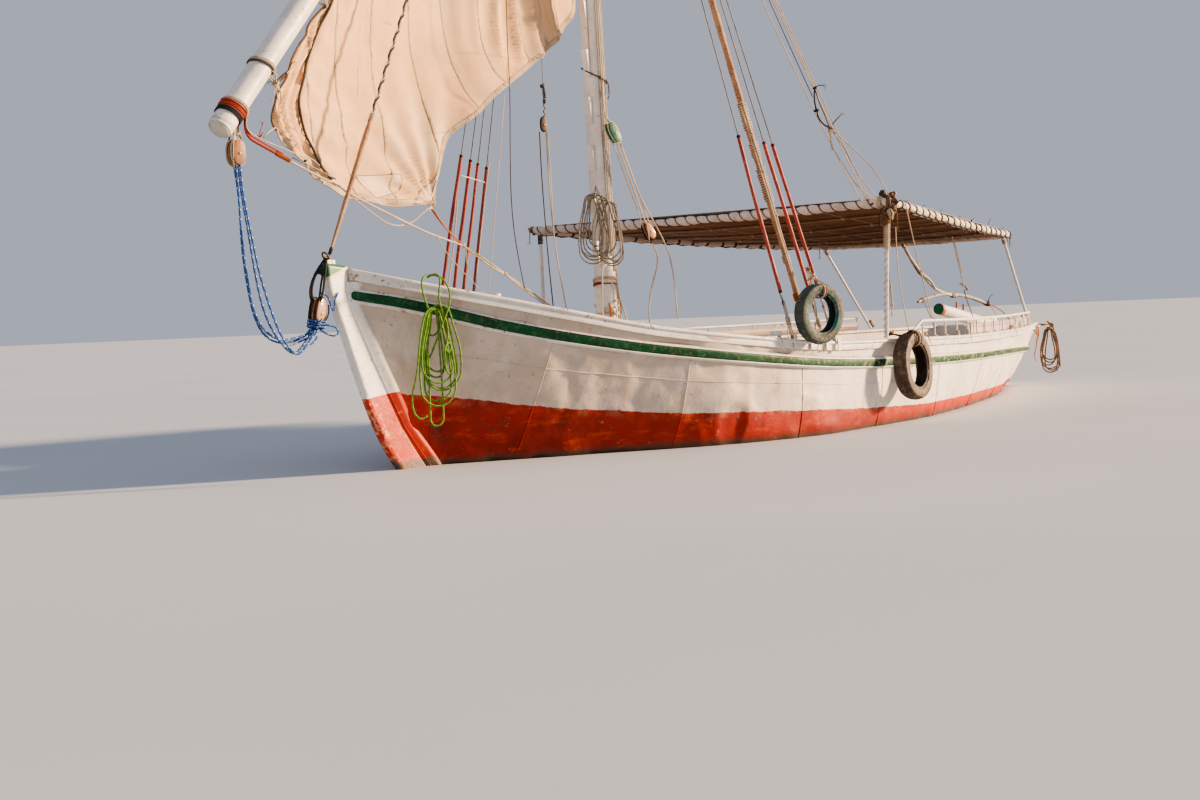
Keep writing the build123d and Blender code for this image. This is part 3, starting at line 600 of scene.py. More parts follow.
def hull_material():
    """Old enamel on steel plate: cream-white above, red lead below, with the line between them held in the attribute pl."""
    M = Mat("hull_paint")
    x, y, z = M.xyz()
    pl = M.attr("pl")
    wear = M.noise(5, 5, 0.65)
    edge = M.math("ADD", pl, M.math("MULTIPLY", M.math("SUBTRACT", M.noise(9, 4, 0.6), 0.5), 0.035))
    edge = M.math("ADD", edge, M.math("MULTIPLY", M.math("SUBTRACT", M.noise(70, 3, 0.6), 0.5), 0.014))
    below = M.step(edge, -0.003, 0.003, 1.0, 0.0)
    # white topsides
    w = M.mix(M.step(M.noise(1.6, 4, 0.55), 0.32, 0.68), (0.84, 0.80, 0.735), (0.75, 0.70, 0.63))
    # painted shade: forward of amidships the white is painted darker and browner, in patches, standing in for the shade
    # on the bow flank
    fore = M.step(M.math("ADD", x, M.math("MULTIPLY", M.math("SUBTRACT", M.noise(1.1, 3, 0.6), 0.5), 1.6)), 1.2, 3.9)
    w = M.mix(M.math("MULTIPLY", fore, M.step(M.noise(2.6, 5, 0.62, None, 0.8), 0.20, 0.62, 0.45, 0.95)), w, (0.50, 0.41, 0.325))
    w = M.mix(M.math("MULTIPLY", M.step(M.noise(4.5, 5, 0.65), 0.46, 0.8), 0.55), w, (0.60, 0.52, 0.43))
    run = M.noise(9, 4, 0.62, M.scale((1.3, 1.3, 0.16)))
    w = M.mix(M.math("MULTIPLY", M.step(run, 0.53, 0.80), 0.55), w, (0.42, 0.33, 0.24))
    spots = M.math("MULTIPLY", M.step(M.noise(26, 4, 0.7), 0.60, 0.68), M.step(M.noise(3.1, 3, 0.6), 0.45, 0.62))
    w = M.mix(M.math("MULTIPLY", spots, 0.8), w, (0.30, 0.12, 0.05))
    rustrun = M.math("MULTIPLY", M.step(M.noise(14, 3, 0.6, M.scale((1.5, 1.5, 0.09))), 0.63, 0.74), M.step(M.noise(2.2, 2, 0.5), 0.50, 0.66))
    w = M.mix(M.math("MULTIPLY", rustrun, 0.65), w, (0.36, 0.16, 0.07))
    sp = M.step(M.noise(120, 2, 0.7), 0.66, 0.74)
    w = M.mix(M.math("MULTIPLY", sp, 0.35), w, (0.35, 0.30, 0.24))
    # splashes just above the line
    near = M.step(pl, 0.0, 0.22, 1.0, 0.0)
    w = M.mix(M.math("MULTIPLY", M.math("MULTIPLY", near, M.step(M.noise(11, 4, 0.65), 0.42, 0.66)), 0.5), w, (0.47, 0.36, 0.30))
    # red bottom
    r = M.mix(M.step(M.noise(2.0, 5, 0.6), 0.32, 0.66), (0.34, 0.022, 0.010), (0.20, 0.012, 0.007))
    # painted light and shade: from about x=3 aft the red is painted brighter, standing in for sunlight; forward it
    # stays darker, standing in for shade
    r = M.mix(M.math("MULTIPLY", M.step(x, 3.0, -1.5), 0.75), r, (0.56, 0.050, 0.016))
    r = M.mix(M.math("MULTIPLY", M.step(M.noise(6, 6, 0.7, M.scale((0.5, 0.5, 1.6))), 0.52, 0.70), 0.75), r, (0.54, 0.066, 0.020))
    r = M.mix(M.math("MULTIPLY", M.step(M.noise(13, 5, 0.7), 0.62, 0.72), 0.55), r, (0.52, 0.24, 0.15))
    r = M.mix(M.math("MULTIPLY", M.step(M.noise(8, 5, 0.7, None, 1.2), 0.60, 0.66), 0.7), r, (0.09, 0.035, 0.03))
    hi = M.step(pl, -0.10, 0.0)
    r = M.mix(M.math("MULTIPLY", M.math("MULTIPLY", hi, M.step(M.noise(7, 5, 0.7), 0.46, 0.66)), 0.32), r, (0.56, 0.24, 0.14))
    c = M.mix(below, w, r)
    # weed and wet at the water
    wz = M.math("ADD", z, M.math("MULTIPLY", M.math("SUBTRACT", M.noise(4, 5, 0.65), 0.5), 0.10))
    wet = M.step(wz, 0.015, 0.10, 1.0, 0.0)
    slime = M.step(M.math("ADD", wz, M.math("MULTIPLY", M.math("SUBTRACT", M.noise(28, 3, 0.6), 0.5), 0.05)), 0.0, 0.055, 1.0, 0.0)
    c = M.mix(M.math("MULTIPLY", wet, 0.62), c, (0.085, 0.045, 0.032))
    c = M.mix(M.math("MULTIPLY", slime, 0.9), c, (0.055, 0.050, 0.030))
    h = M.math("MULTIPLY", M.noise(14, 4, 0.6), 0.8)
    h = M.math("ADD", h, M.math("MULTIPLY", M.noise(75, 3, 0.6), 0.22))
    h = M.math("ADD", h, M.math("MULTIPLY", M.noise(2.4, 3, 0.5), 2.2))
    h = M.math("ADD", h, M.math("MULTIPLY", below, -0.25))
    rough = M.mixf(wet, M.step(wear, 0.25, 0.75, 0.44, 0.66), 0.26)
    return M.set(color=c, rough=rough, normal=M.bump(h, 0.0058, 0.9), spec=0.28)


def green_material():
    M = Mat("green_paint")
    x, y, z = M.xyz()
    aft = M.step(x, 5.0, -3.0)
    g = M.mix(M.step(M.noise(3, 4, 0.6), 0.3, 0.7), (0.004, 0.074, 0.028), (0.003, 0.046, 0.020))
    g = M.mix(M.math("MULTIPLY", M.step(M.noise(11, 4, 0.6), 0.48, 0.66), 0.4), g, (0.02, 0.17, 0.06))
    y1 = M.math("MULTIPLY", M.step(M.noise(22, 4, 0.7), 0.54, 0.60), M.mixf(aft, 0.06, 1.0))
    g = M.mix(M.math("MULTIPLY", y1, 0.8), g, (0.56, 0.50, 0.20))
    g = M.mix(M.math("MULTIPLY", M.math("MULTIPLY", M.step(M.noise(40, 4, 0.7), 0.60, 0.66), 0.7), M.mixf(aft, 0.25, 1.0)), g, (0.46, 0.40, 0.26))
    g = M.mix(M.math("MULTIPLY", M.math("MULTIPLY", M.step(M.noise(7, 5, 0.7), 0.60, 0.64), M.step(M.noise(30, 3, 0.6), 0.42, 0.5)), 0.9), g, (0.22, 0.09, 0.045))
    h = M.math("ADD", M.math("MULTIPLY", M.noise(30, 4, 0.6), 0.8), M.math("MULTIPLY", y1, -0.5))
    return M.set(color=g, rough=M.step(M.noise(9, 4, 0.6), 0.2, 0.8, 0.42, 0.66), spec=0.22, normal=M.bump(h, 0.0022))


def rail_material():
    M = Mat("rail_paint")
    x, y, z = M.xyz()
    w = M.mix(M.step(M.noise(2.2, 4, 0.6), 0.3, 0.7), (0.78, 0.755, 0.70), (0.66, 0.635, 0.59))
    w = M.mix(M.math("MULTIPLY", M.step(M.noise(8, 5, 0.65), 0.48, 0.74), 0.55), w, (0.45, 0.41, 0.35))
    rs = M.math("MULTIPLY", M.step(M.noise(19, 5, 0.7), 0.56, 0.62), M.step(M.noise(2.7, 3, 0.6), 0.44, 0.58))
    w = M.mix(M.math("MULTIPLY", rs, 0.85), w, (0.27, 0.10, 0.045))
    w = M.mix(M.math("MULTIPLY", M.step(M.noise(60, 3, 0.7), 0.62, 0.70), 0.6), w, (0.30, 0.26, 0.20))
    h = M.math("ADD", M.noise(35, 4, 0.6), M.math("MULTIPLY", rs, -0.7))
    return M.set(color=w, rough=M.step(M.noise(9, 4, 0.6), 0.2, 0.8, 0.30, 0.58), normal=M.bump(h, 0.002))


def planks(name, axis="y", width=0.14, a=(0.42, 0.36, 0.29), b=(0.30, 0.25, 0.20), paint=None):
    """Deck boards laid fore and aft, with dark seams."""
    M = Mat(name)
    x, y, z = M.xyz()
    c0 = {"y": y, "x": x, "z": z}[axis]
    q = M.math("DIVIDE", c0, width)
    fr = M.math("ABSOLUTE", M.math("SUBTRACT", M.math("FRACT", q), 0.5))
    seam = M.step(fr, 0.465, 0.49)
    idx = M.math("FRACT", M.math("MULTIPLY", M.math("FLOOR", q), 0.618))
    stretch = (0.25, 3.0, 3.0) if axis == "y" else (3.0, 0.25, 3.0)
    grain = M.noise(14, 5, 0.65, M.scale(stretch))
    c = M.mix(M.step(grain, 0.3, 0.7), a, b)
    c = M.mix(M.math("MULTIPLY", idx, 0.35), c, blocky(b, 0.8))
    if paint:
        c = M.mix(M.step(M.noise(5, 5, 0.7), 0.60, 0.64, 0.92, 0.0), c, M.mix(M.step(M.noise(3, 4, 0.6), 0.3, 0.7), paint, blocky(paint, 0.82)))
    c = M.mix(M.math("MULTIPLY", M.step(M.noise(2.5, 5, 0.65), 0.46, 0.75), 0.45), c, (0.25, 0.20, 0.15))
    c = M.mix(seam, c, (0.05, 0.04, 0.03))
    h = M.math("ADD", M.math("MULTIPLY", seam, -1.6), M.math("MULTIPLY", grain, 0.3))
    return M.set(color=c, rough=M.step(grain, 0.2, 0.8, 0.5, 0.75), normal=M.bump(h, 0.003))


def bare_metal(name, a=(0.42, 0.42, 0.41), rust=0.5):
    M = Mat(name)
    c = M.mix(M.step(M.noise(30, 4, 0.6), 0.3, 0.7), a, blocky(a, 0.62))
    rs = M.math("MULTIPLY", M.step(M.noise(16, 5, 0.7), 0.50, 0.64), rust)
    c = M.mix(rs, c, (0.23, 0.10, 0.045))
    h = M.math("ADD", M.noise(70, 4, 0.6), rs)
    return M.set(color=c, metal=0.75, rough=M.step(M.noise(24, 4, 0.6), 0.2, 0.8, 0.42, 0.72), normal=M.bump(h, 0.001))


def wood(name, a, b, scale=1.0, along=(1, 1, 0.12), rough=0.55, varnish=0.0):
    M = Mat(name)
    v = M.scale(along)
    g = M.noise(26 * scale, 5, 0.65, v, 0.6)
    ring = M.noise(90 * scale, 3, 0.6, v)
    c = M.mix(M.step(g, 0.3, 0.7), a, b)
    c = M.mix(M.math("MULTIPLY", M.step(ring, 0.45, 0.7), 0.4), c, blocky(b, 0.55))
    c = M.mix(M.math("MULTIPLY", M.step(M.noise(8 * scale, 5, 0.65), 0.5, 0.72), 0.5), c, (0.12, 0.09, 0.07))
    h = M.math("ADD", M.math("MULTIPLY", g, 0.6), M.math("MULTIPLY", ring, 0.5))
    return M.set(color=c, rough=rough, coat=varnish, normal=M.bump(h, 0.0012))


def spar_material():
    M = Mat("spar_paint")
    w = M.mix(M.step(M.noise(3, 4, 0.6), 0.3, 0.7), (0.80, 0.775, 0.73), (0.68, 0.65, 0.60))
    st = M.noise(8, 4, 0.65, M.scale((1.5, 1.5, 0.25)))
    w = M.mix(M.math("MULTIPLY", M.step(st, 0.50, 0.76), 0.5), w, (0.50, 0.42, 0.34))
    w = M.mix(M.math("MULTIPLY", M.step(M.noise(24, 5, 0.7), 0.60, 0.68), 0.7), w, (0.38, 0.26, 0.17))
    w = M.mix(M.math("MULTIPLY", M.step(M.noise(90, 3, 0.7), 0.62, 0.72), 0.5), w, (0.33, 0.30, 0.26))
    h = M.math("ADD", M.noise(40, 4, 0.6), M.math("MULTIPLY", M.noise(7, 3, 0.5), 1.5))
    return M.set(color=w, rough=M.step(M.noise(11, 4, 0.6), 0.2, 0.8, 0.34, 0.60), normal=M.bump(h, 0.0015))


def rudder_material():
    M = Mat("rudder_paint")
    x, y, z = M.xyz()
    w = M.mix(M.step(M.noise(3, 4, 0.6), 0.3, 0.7), (0.76, 0.74, 0.69), (0.62, 0.59, 0.54))
    w = M.mix(M.math("MULTIPLY", M.step(M.noise(9, 5, 0.7, M.scale((1.4, 1.4, 0.2))), 0.52, 0.74), 0.6), w, (0.40, 0.28, 0.19))
    r = M.mix(M.step(M.noise(4, 5, 0.65), 0.34, 0.66), (0.36, 0.048, 0.026), (0.22, 0.030, 0.020))
    line = M.math("ADD", z, M.math("MULTIPLY", M.math("SUBTRACT", M.noise(12, 4, 0.6), 0.5), 0.03))
    c = M.mix(M.step(line, 0.118, 0.122, 1.0, 0.0), w, r)
    c = M.mix(M.math("MULTIPLY", M.step(line, 0.0, 0.075, 1.0, 0.0), 0.85), c, (0.07, 0.055, 0.035))
    c = M.mix(M.math("MULTIPLY", M.step(M.noise(20, 5, 0.7), 0.60, 0.66), 0.8), c, (0.27, 0.11, 0.05))
    h = M.math("ADD", M.noise(30, 4, 0.6), M.math("MULTIPLY", M.noise(5, 3, 0.5), 2.0))
    return M.set(color=c, rough=M.step(M.noise(11, 4, 0.6), 0.2, 0.8, 0.34, 0.60), normal=M.bump(h, 0.002))


def stem_material():
    """White plate stem: a green cap with a yellow border at the head, red lead from the paint line down."""
    M = Mat("stem_paint")
    x, y, z = M.xyz()
    w = M.mix(M.step(M.noise(2.6, 4, 0.6), 0.3, 0.7), (0.84, 0.82, 0.78), (0.74, 0.71, 0.66))
    w = M.mix(M.math("MULTIPLY", M.step(M.noise(11, 5, 0.7, M.scale((1.2, 1.2, 0.3))), 0.54, 0.74), 0.55), w, (0.46, 0.37, 0.28))
    w = M.mix(M.math("MULTIPLY", M.step(M.noise(34, 4, 0.7), 0.60, 0.66), 0.75), w, (0.32, 0.24, 0.17))
    nn = M.math("MULTIPLY", M.math("SUBTRACT", M.noise(14, 4, 0.6), 0.5), 0.02)
    r = M.mix(M.step(M.noise(3.4, 5, 0.65), 0.34, 0.64), (0.50, 0.034, 0.008), (0.36, 0.022, 0.007))
    r = M.mix(M.math("MULTIPLY", M.step(M.noise(10, 5, 0.7), 0.57, 0.64), 0.8), r, (0.56, 0.18, 0.07))
    front = M.math("SUBTRACT", x, M.math("MULTIPLY_ADD", z, 0.50, 6.187))
    r = M.mix(M.math("MULTIPLY", M.step(front, -0.055, -0.012), M.step(M.noise(16, 4, 0.7), 0.50, 0.60)), r, (0.62, 0.30, 0.17))
    line = M.math("SUBTRACT", z, M.math("MULTIPLY_ADD", M.math("SUBTRACT", x, 6.53), -0.13, 0.596))
    c = M.mix(M.step(M.math("ADD", line, nn), -0.003, 0.003, 1.0, 0.0), w, r)
    slime = M.math("ADD", z, M.math("MULTIPLY", M.math("SUBTRACT", M.noise(9, 5, 0.7), 0.5), 0.09))
    c = M.mix(M.step(slime, 0.055, 0.10, 0.92, 0.0), c, M.mix(M.step(M.noise(30, 4, 0.6), 0.4, 0.6), (0.16, 0.12, 0.075), (0.075, 0.06, 0.04)))
    # the cap: below the head, above a line from its rear edge to its front edge
    d = M.math("SUBTRACT", z, M.math("MULTIPLY_ADD", M.math("SUBTRACT", x, 6.698), -0.41, 1.636))
    d = M.math("ADD", d, M.math("MULTIPLY", nn, 0.25))
    c = M.mix(M.step(d, -0.014, -0.010), c, (0.66, 0.60, 0.30))
    g = M.mix(M.step(M.noise(12, 4, 0.6), 0.3, 0.7), (0.02, 0.19, 0.08), (0.012, 0.12, 0.052))
    g = M.mix(M.math("MULTIPLY", M.step(M.noise(46, 4, 0.7), 0.60, 0.66), 0.7), g, (0.5, 0.45, 0.3))
    c = M.mix(M.step(d, 0.008, 0.012), c, g)
    h = M.math("ADD", M.noise(30, 4, 0.6), M.math("MULTIPLY", M.noise(5, 3, 0.5), 2.0))
    return M.set(color=c, rough=M.step(M.noise(11, 4, 0.6), 0.2, 0.8, 0.30, 0.55), normal=M.bump(h, 0.002))


M_HULL, M_GREEN, M_RAIL, M_SPAR, M_STEM, M_RUDDER = hull_material(), green_material(), rail_material(), spar_material(), stem_material(), rudder_material()
M_WHITE = painted("white_metal", (0.80, 0.78, 0.73), (0.66, 0.63, 0.57), chips=0.60)
M_GREY = painted("grey_metal", (0.42, 0.42, 0.41), (0.33, 0.32, 0.31))
M_DECK = planks("deck_paint", "y", 0.15, (0.45, 0.40, 0.33), (0.33, 0.28, 0.22), paint=(0.62, 0.60, 0.54))
M_BENCH = planks("bench_wood", "y", 0.12, (0.42, 0.27, 0.15), (0.30, 0.18, 0.10))
M_FLOORB = planks("floor_wood", "y", 0.13, (0.36, 0.27, 0.18), (0.25, 0.18, 0.12))
M_BULK = painted("bulkhead_paint", (0.68, 0.60, 0.51), (0.57, 0.49, 0.41))
M_GALV = bare_metal("galvanised", (0.46, 0.46, 0.45), 0.45)
M_WIRE = rope_mat("wire_rope", (0.30, 0.29, 0.28), (0.16, 0.13, 0.11), (0.03, 0.025, 0.02), strands=6, lay=6.5, rough=0.55)
M_RUSTY = bare_metal("rusty_iron", (0.17, 0.12, 0.09), 0.8)
M_BLOCKW = wood("block_wood", (0.42, 0.19, 0.07), (0.24, 0.10, 0.04), 1.6, rough=0.5, varnish=0.15)
M_TIMBER = wood("timber", (0.34, 0.24, 0.15), (0.22, 0.15, 0.09))
M_GREYWOOD = wood("weathered_pole", (0.40, 0.37, 0.32), (0.27, 0.24, 0.20), 1.0, (0.10, 1, 1), rough=0.75)
M_CREAM = rope_mat("rope_cream", (0.66, 0.55, 0.40), (0.48, 0.38, 0.26), (0.10, 0.07, 0.045))
M_CREAM2 = rope_mat("rope_pale", (0.72, 0.66, 0.54), (0.56, 0.50, 0.40), (0.14, 0.11, 0.08))
M_GREENROPE = rope_mat("rope_green", (0.26, 0.50, 0.13), (0.13, 0.29, 0.08), (0.02, 0.045, 0.02), flecks=(0.50, 0.56, 0.17), fleck_amt=0.45)
M_BLUEROPE = rope_mat("rope_blue", (0.60, 0.62, 0.64), (0.44, 0.46, 0.50), (0.07, 0.08, 0.12), flecks=(0.08, 0.17, 0.42), fleck_amt=0.75)
M_DARKROPE = rope_mat("rope_dark", (0.11, 0.085, 0.065), (0.06, 0.048, 0.038), (0.012, 0.01, 0.008))
M_BROWNROPE = rope_mat("rope_brown", (0.27, 0.16, 0.09), (0.16, 0.09, 0.05), (0.03, 0.018, 0.01))
M_REDROPE = rope_mat("rope_red", (0.42, 0.07, 0.035), (0.28, 0.045, 0.025), (0.06, 0.012, 0.01))
M_ORANGE = rope_mat("rope_orange", (0.58, 0.17, 0.05), (0.40, 0.10, 0.04), (0.10, 0.025, 0.012))
M_SPECKLE = rope_mat("rope_speckled", (0.66, 0.60, 0.49), (0.48, 0.42, 0.34), (0.06, 0.05, 0.04), flecks=(0.055, 0.048, 0.045), fleck_amt=0.92)


def hose_material():
    M = Mat("hose_red")
    x, y, z = M.xyz()
    c = M.mix(M.step(M.noise(8, 4, 0.6), 0.3, 0.7), (0.40, 0.060, 0.035), (0.24, 0.032, 0.022))
    c = M.mix(M.math("MULTIPLY", M.step(M.noise(24, 4, 0.7), 0.55, 0.66), 0.5), c, (0.52, 0.20, 0.12))
    c = M.mix(M.math("MULTIPLY", M.step(M.noise(50, 3, 0.7), 0.60, 0.68), 0.6), c, (0.10, 0.04, 0.03))
    rib = M.math("ABSOLUTE", M.math("SUBTRACT", M.math("FRACT", M.math("MULTIPLY", z, 48.0)), 0.5))
    h = M.math("ADD", M.math("MULTIPLY", rib, 0.6), M.math("MULTIPLY", M.noise(30, 4, 0.6), 0.7))
    return M.set(color=c, rough=M.step(M.noise(13, 4, 0.6), 0.2, 0.8, 0.42, 0.7), normal=M.bump(h, 0.0016))


def tiller_material():
    """White shaft; the fore end is painted green, ringed with orange-red and with a thin yellow-green line."""
    M = Mat("tiller_paint")
    x, y, z = M.xyz()
    w = M.mix(M.step(M.noise(3, 4, 0.6), 0.3, 0.7), (0.80, 0.775, 0.73), (0.69, 0.66, 0.61))
    w = M.mix(M.math("MULTIPLY", M.step(M.noise(14, 5, 0.7, M.scale((0.25, 1.6, 1.6))), 0.52, 0.74), 0.5), w, (0.46, 0.36, 0.26))
    w = M.mix(M.math("MULTIPLY", M.step(M.noise(55, 4, 0.7), 0.60, 0.68), 0.6), w, (0.35, 0.24, 0.16))
    wob = M.math("MULTIPLY", M.math("SUBTRACT", M.noise(20, 3, 0.6), 0.5), 0.008)
    xx = M.math("ADD", x, wob)
    c = M.mix(M.step(xx, -4.803, -4.799), w, (0.48, 0.56, 0.20))
    c = M.mix(M.step(xx, -4.792, -4.788), c, M.mix(M.step(M.noise(26, 4, 0.6), 0.35, 0.65), (0.66, 0.13, 0.035), (0.48, 0.08, 0.03)))
    c = M.mix(M.step(xx, -4.734, -4.730), c, M.mix(M.step(M.noise(26, 4, 0.6), 0.35, 0.65), (0.02, 0.19, 0.08), (0.012, 0.12, 0.05)))
    h = M.math("ADD", M.noise(40, 4, 0.6), M.math("MULTIPLY", M.noise(9, 3, 0.5), 1.5))
    return M.set(color=c, rough=M.step(M.noise(11, 4, 0.6), 0.2, 0.8, 0.30, 0.52), normal=M.bump(h, 0.0016))


M_HOSE, M_TILLER = hose_material(), tiller_material()
M_PEG = painted("peg_paint", (0.60, 0.12, 0.035), (0.44, 0.08, 0.03))

NODE_MATS = {
    "hull_shell": M_HULL, "stem_bar": M_STEM, "keel": M_HULL, "gunwale_rail": M_RAIL, "rub_strake": M_GREEN,
    "foredeck": M_DECK, "aft_deck": M_DECK, "bench_port": M_BENCH, "bench_starboard": M_BENCH, "cockpit_floor": M_FLOORB,
    "bulkheads": M_BULK, "mast": M_SPAR, "mast_collar": M_WHITE, "mast_steps": M_WHITE, "masthead_band": M_GALV,
    "forestay": M_WIRE, "forestay_sleeve": M_BROWNROPE, "stem_shackle": M_GALV, "port_shrouds": M_WIRE, "starboard_shrouds": M_WIRE,
    "port_shroud_sleeves": M_HOSE, "starboard_shroud_sleeves": M_HOSE, "port_lanyards": M_CREAM2, "starboard_lanyards": M_CREAM2,
    "port_chainplates": M_WHITE, "starboard_chainplates": M_WHITE, "awning_posts": M_WHITE, "stern_rail_port": M_WHITE,
    "stern_rail_starboard": M_WHITE, "stern_balusters": M_WHITE, "rudder_blade": M_RUDDER, "rudder_cheeks": M_RUDDER,
    "rudder_pintles": M_RUSTY, "rudder_gudgeons": M_RUSTY, "tiller": M_TILLER, "tiller_pegs": M_PEG, "yard": M_SPAR,
    "heel_block": M_BLOCKW, "bow_bitts": M_WHITE, "rail_chock": M_WHITE, "halyard_blocks": M_BLOCKW, "stem_block": M_BLOCKW,
    "boat_pole": M_GREYWOOD, "mast_rope_hank": M_CREAM, "green_rope_hank": M_GREENROPE, "stern_rope_hank": M_BROWNROPE,
    "heel_tackle_ropes": M_BLUEROPE, "awning_frame": M_WHITE, "awning_mat": M_TIMBER, "sail": M_CREAM, "sail_furled": M_CREAM,
    "cushions_port": M_BROWNROPE, "cushions_starboard": M_REDROPE, "tyre_fender_fore": M_GREY, "tyre_fender_aft": M_GREY,
}
for name, ob in NODES.items():
    m = NODE_MATS.get(name, M_WHITE)
    ob.data.materials.clear()
    ob.data.materials.append(m)


def attribute(ob, name, values):
    a = ob.data.attributes.new(name, "FLOAT", "POINT")
    a.data.foreach_set("value", np.asarray(values, np.float32))


# paint line: height of the line between the white and the red, along the hull
PLX = np.array([-7.3, -5.544, -4.2, -1.79, 0.19, 1.565, 2.60, 3.21, 3.557, 3.986, 4.2, 4.617, 4.979, 5.375, 5.617, 5.876, 6.146, 6.303, 6.9])
PLZ = np.array([0.125, 0.120, 0.128, 0.142, 0.152, 0.190, 0.239, 0.268, 0.284, 0.302, 0.320, 0.372, 0.412, 0.478, 0.524, 0.568, 0.606, 0.624, 0.640])


# =================================================================== hull
M_KEEL = rudder_material()
M_KEEL.name = "keel_paint"
NODES["keel"].data.materials.clear()
NODES["keel"].data.materials.append(M_KEEL)

SX = ST[::-1, 0]
SECT = ST[::-1].copy()
SECT_COLS = np.stack([np.full(len(SX), 0.040), SECT[:, 1], SECT[:, 2], SECT[:, 3], SECT[:, 4], SECT[:, 5], SECT[:, 6], SECT[:, 7], SECT[:, 8], SECT[:, 9]], 1)


def hull_raw(x, s):
    """Points of the hull's outside, (len(x), len(s), 3), port side. s runs from 0 at the keel to 4 at the sheer."""
    x, s = np.atleast_1d(np.asarray(x, float)), np.atleast_1d(np.asarray(s, float))
    c = pchip(SX, SECT_COLS, x).reshape(len(x), 5, 2)
    q = pchip(np.arange(5.0), c.transpose(1, 0, 2).reshape(5, -1), s).reshape(len(s), len(x), 2).transpose(1, 0, 2)
    k = np.clip((-5.4 - x) / 0.85, 0, 1)[:, None]
    xx = x[:, None] + k * (0.14 - (q[..., 1] - 0.04) * RAKE)
    return np.stack([np.broadcast_to(xx, q[..., 0].shape), q[..., 0], q[..., 1]], -1)


PLATE_X = np.array([-6.2, -5.35, -4.55, -3.10, -1.55, 0.02, 1.45, 2.85, 4.12, 5.28, 6.05])


def hull_dent(p, side):
    """How far the plate is pushed in or out, in metres, at points p."""
    x, z = p[..., 0], p[..., 2]
    q = np.stack([x, p[..., 1] * side + side * 5.0, z], -1)
    pitch = 0.31
    fr = np.abs(np.sin(np.pi * (x + 0.13) / pitch))
    hungry = -0.0058 * fr ** 0.7 * (0.60 + 0.55 * vnoise(q, 1.1, 5))
    big = 0.0110 * fbm(q, 1.7, 11, 3, 0.58) + 0.0060 * vnoise(q * np.array([1.0, 1.0, 0.8]), 3.3, 47)
    knocks = vnoise(q * np.array([1.0, 1.0, 1.3]), 3.3, 23)
    knocks = -0.024 * np.clip(knocks - 0.20, 0, 1) / 0.80 - 0.010 * np.clip(vnoise(q, 5.6, 61) - 0.34, 0, 1) / 0.66
    small = 0.0016 * vnoise(q, 9.0, 31)
    fade = smooth01((6.62 - x) / 0.35) * smooth01((x + 6.15) / 0.3)
    bow = 1 + 1.05 * smooth01((x - 2.4) / 0.8) * smooth01((6.3 - x) / 0.6)
    d = hungry + (big + knocks) * bow
    # the plate stretches: no dent goes deeper than the frames behind it let it
    d = np.where(d < 0, -0.025 * np.tanh(-d / 0.025), 0.021 * np.tanh(d / 0.021))
    return (d + small) * fade


def hull_pts(x, s, side=1, off=0.0):
    p = hull_raw(x, s)
    if p.shape[0] > 2 and p.shape[1] > 2:
        tx, ts = np.gradient(p, axis=0), np.gradient(p, axis=1)
        n = np.cross(ts, tx)
    else:
        e = 1e-3
        x, s = np.atleast_1d(np.asarray(x, float)), np.atleast_1d(np.asarray(s, float))
        n = np.cross(hull_raw(x, np.minimum(s + e, 4)) - hull_raw(x, np.maximum(s - e, 0)), hull_raw(x + e, s) - hull_raw(x - e, s))
    n /= np.maximum(np.linalg.norm(n, axis=-1, keepdims=True), 1e-12)
    n *= np.sign(n[..., 1:2] + 1e-9)
    d = hull_dent(p, side)[..., None]
    p = p + n * (d + off)
    p = p * np.array([1, side, 1.0])
    return p, n * np.array([1, side, 1.0])


def hull_line(pairs, side=1, off=0.0, n=40):
    """Points over the hull through (x, z) pairs, with the outward normals."""
    pr = np.asarray(pairs, float)
    t = np.concatenate([[0], np.cumsum(np.linalg.norm(np.diff(pr, axis=0), axis=1))])
    tt = np.linspace(0, t[-1], n)
    xs, zs = (np.interp(tt, t, pr[:, 0]), np.interp(tt, t, pr[:, 1])) if len(pr) == 2 else (pchip(t, pr[:, 0], tt), pchip(t, pr[:, 1], tt))
    pts, nrm = [], []
    sv = np.linspace(0, 4, 161)
    for x, z in zip(xs, zs):
        zz = hull_raw([x], sv)[0, :, 2]
        s = float(np.interp(z, zz, sv))
        p, nn = hull_pts([x], [s], side, off)
        pts.append(p[0, 0])
        nrm.append(nn[0, 0])
    return np.array(pts), np.array(nrm)


def hull_y(x, z):
    sv = np.linspace(0, 4, 161)
    p = hull_raw([x], sv)[0]
    return float(np.interp(z, p[:, 2], p[:, 1]))


def sheer(x):
    """y and z of the top of the plate, and the x it stands at."""
    p = hull_raw(x, [4.0])[:, 0]
    return p


hx = np.concatenate([np.linspace(6.69, 2.9, 140), np.linspace(2.9, -6.25, 190)[1:]])
hs = np.concatenate([np.linspace(0, 1, 4), np.linspace(1, 2, 7)[1:], np.linspace(2, 3, 17)[1:], np.linspace(3, 4, 27)[1:]])
G = Geo()
edges = {}
for side in (1, -1):
    p, n = hull_pts(hx, hs, side)
    pl = p[..., 2] - pchip(PLX, PLZ, p[..., 0])
    G.grid(p, 0, flip=side > 0, pl=pl)
    si = np.concatenate([np.linspace(0, 2, 5), np.linspace(2, 4, 9)[1:]])
    q = hull_raw(hx[4:], si)
    q[..., 1] = np.maximum(q[..., 1] - 0.035, 0.012)
    q[:, :, 2] += np.interp(si, [0, 1, 2, 3, 4], [0.04, 0.028, 0.012, 0, 0])[None, :]
    q[-1, :, 0] += 0.055
    q *= np.array([1, side, 1.0])
    G.grid(q, 1, flip=side < 0, pl=np.full(q.shape[:2], 0.5))
    top = np.stack([p[4:, -1], q[:, -1]], 1)
    G.grid(top, 0, flip=side > 0, pl=np.full(top.shape[:2], 0.5))
    edges[side] = (p[-1], q[-1], p[0])
# bow closing face, inside the stem
a, b = edges[1][2], edges[-1][2]
ring = np.concatenate([a, b[::-1]])
G.add(ring, [tuple(range(len(ring)))], None, 0, pl=np.full(len(ring), 0.5))
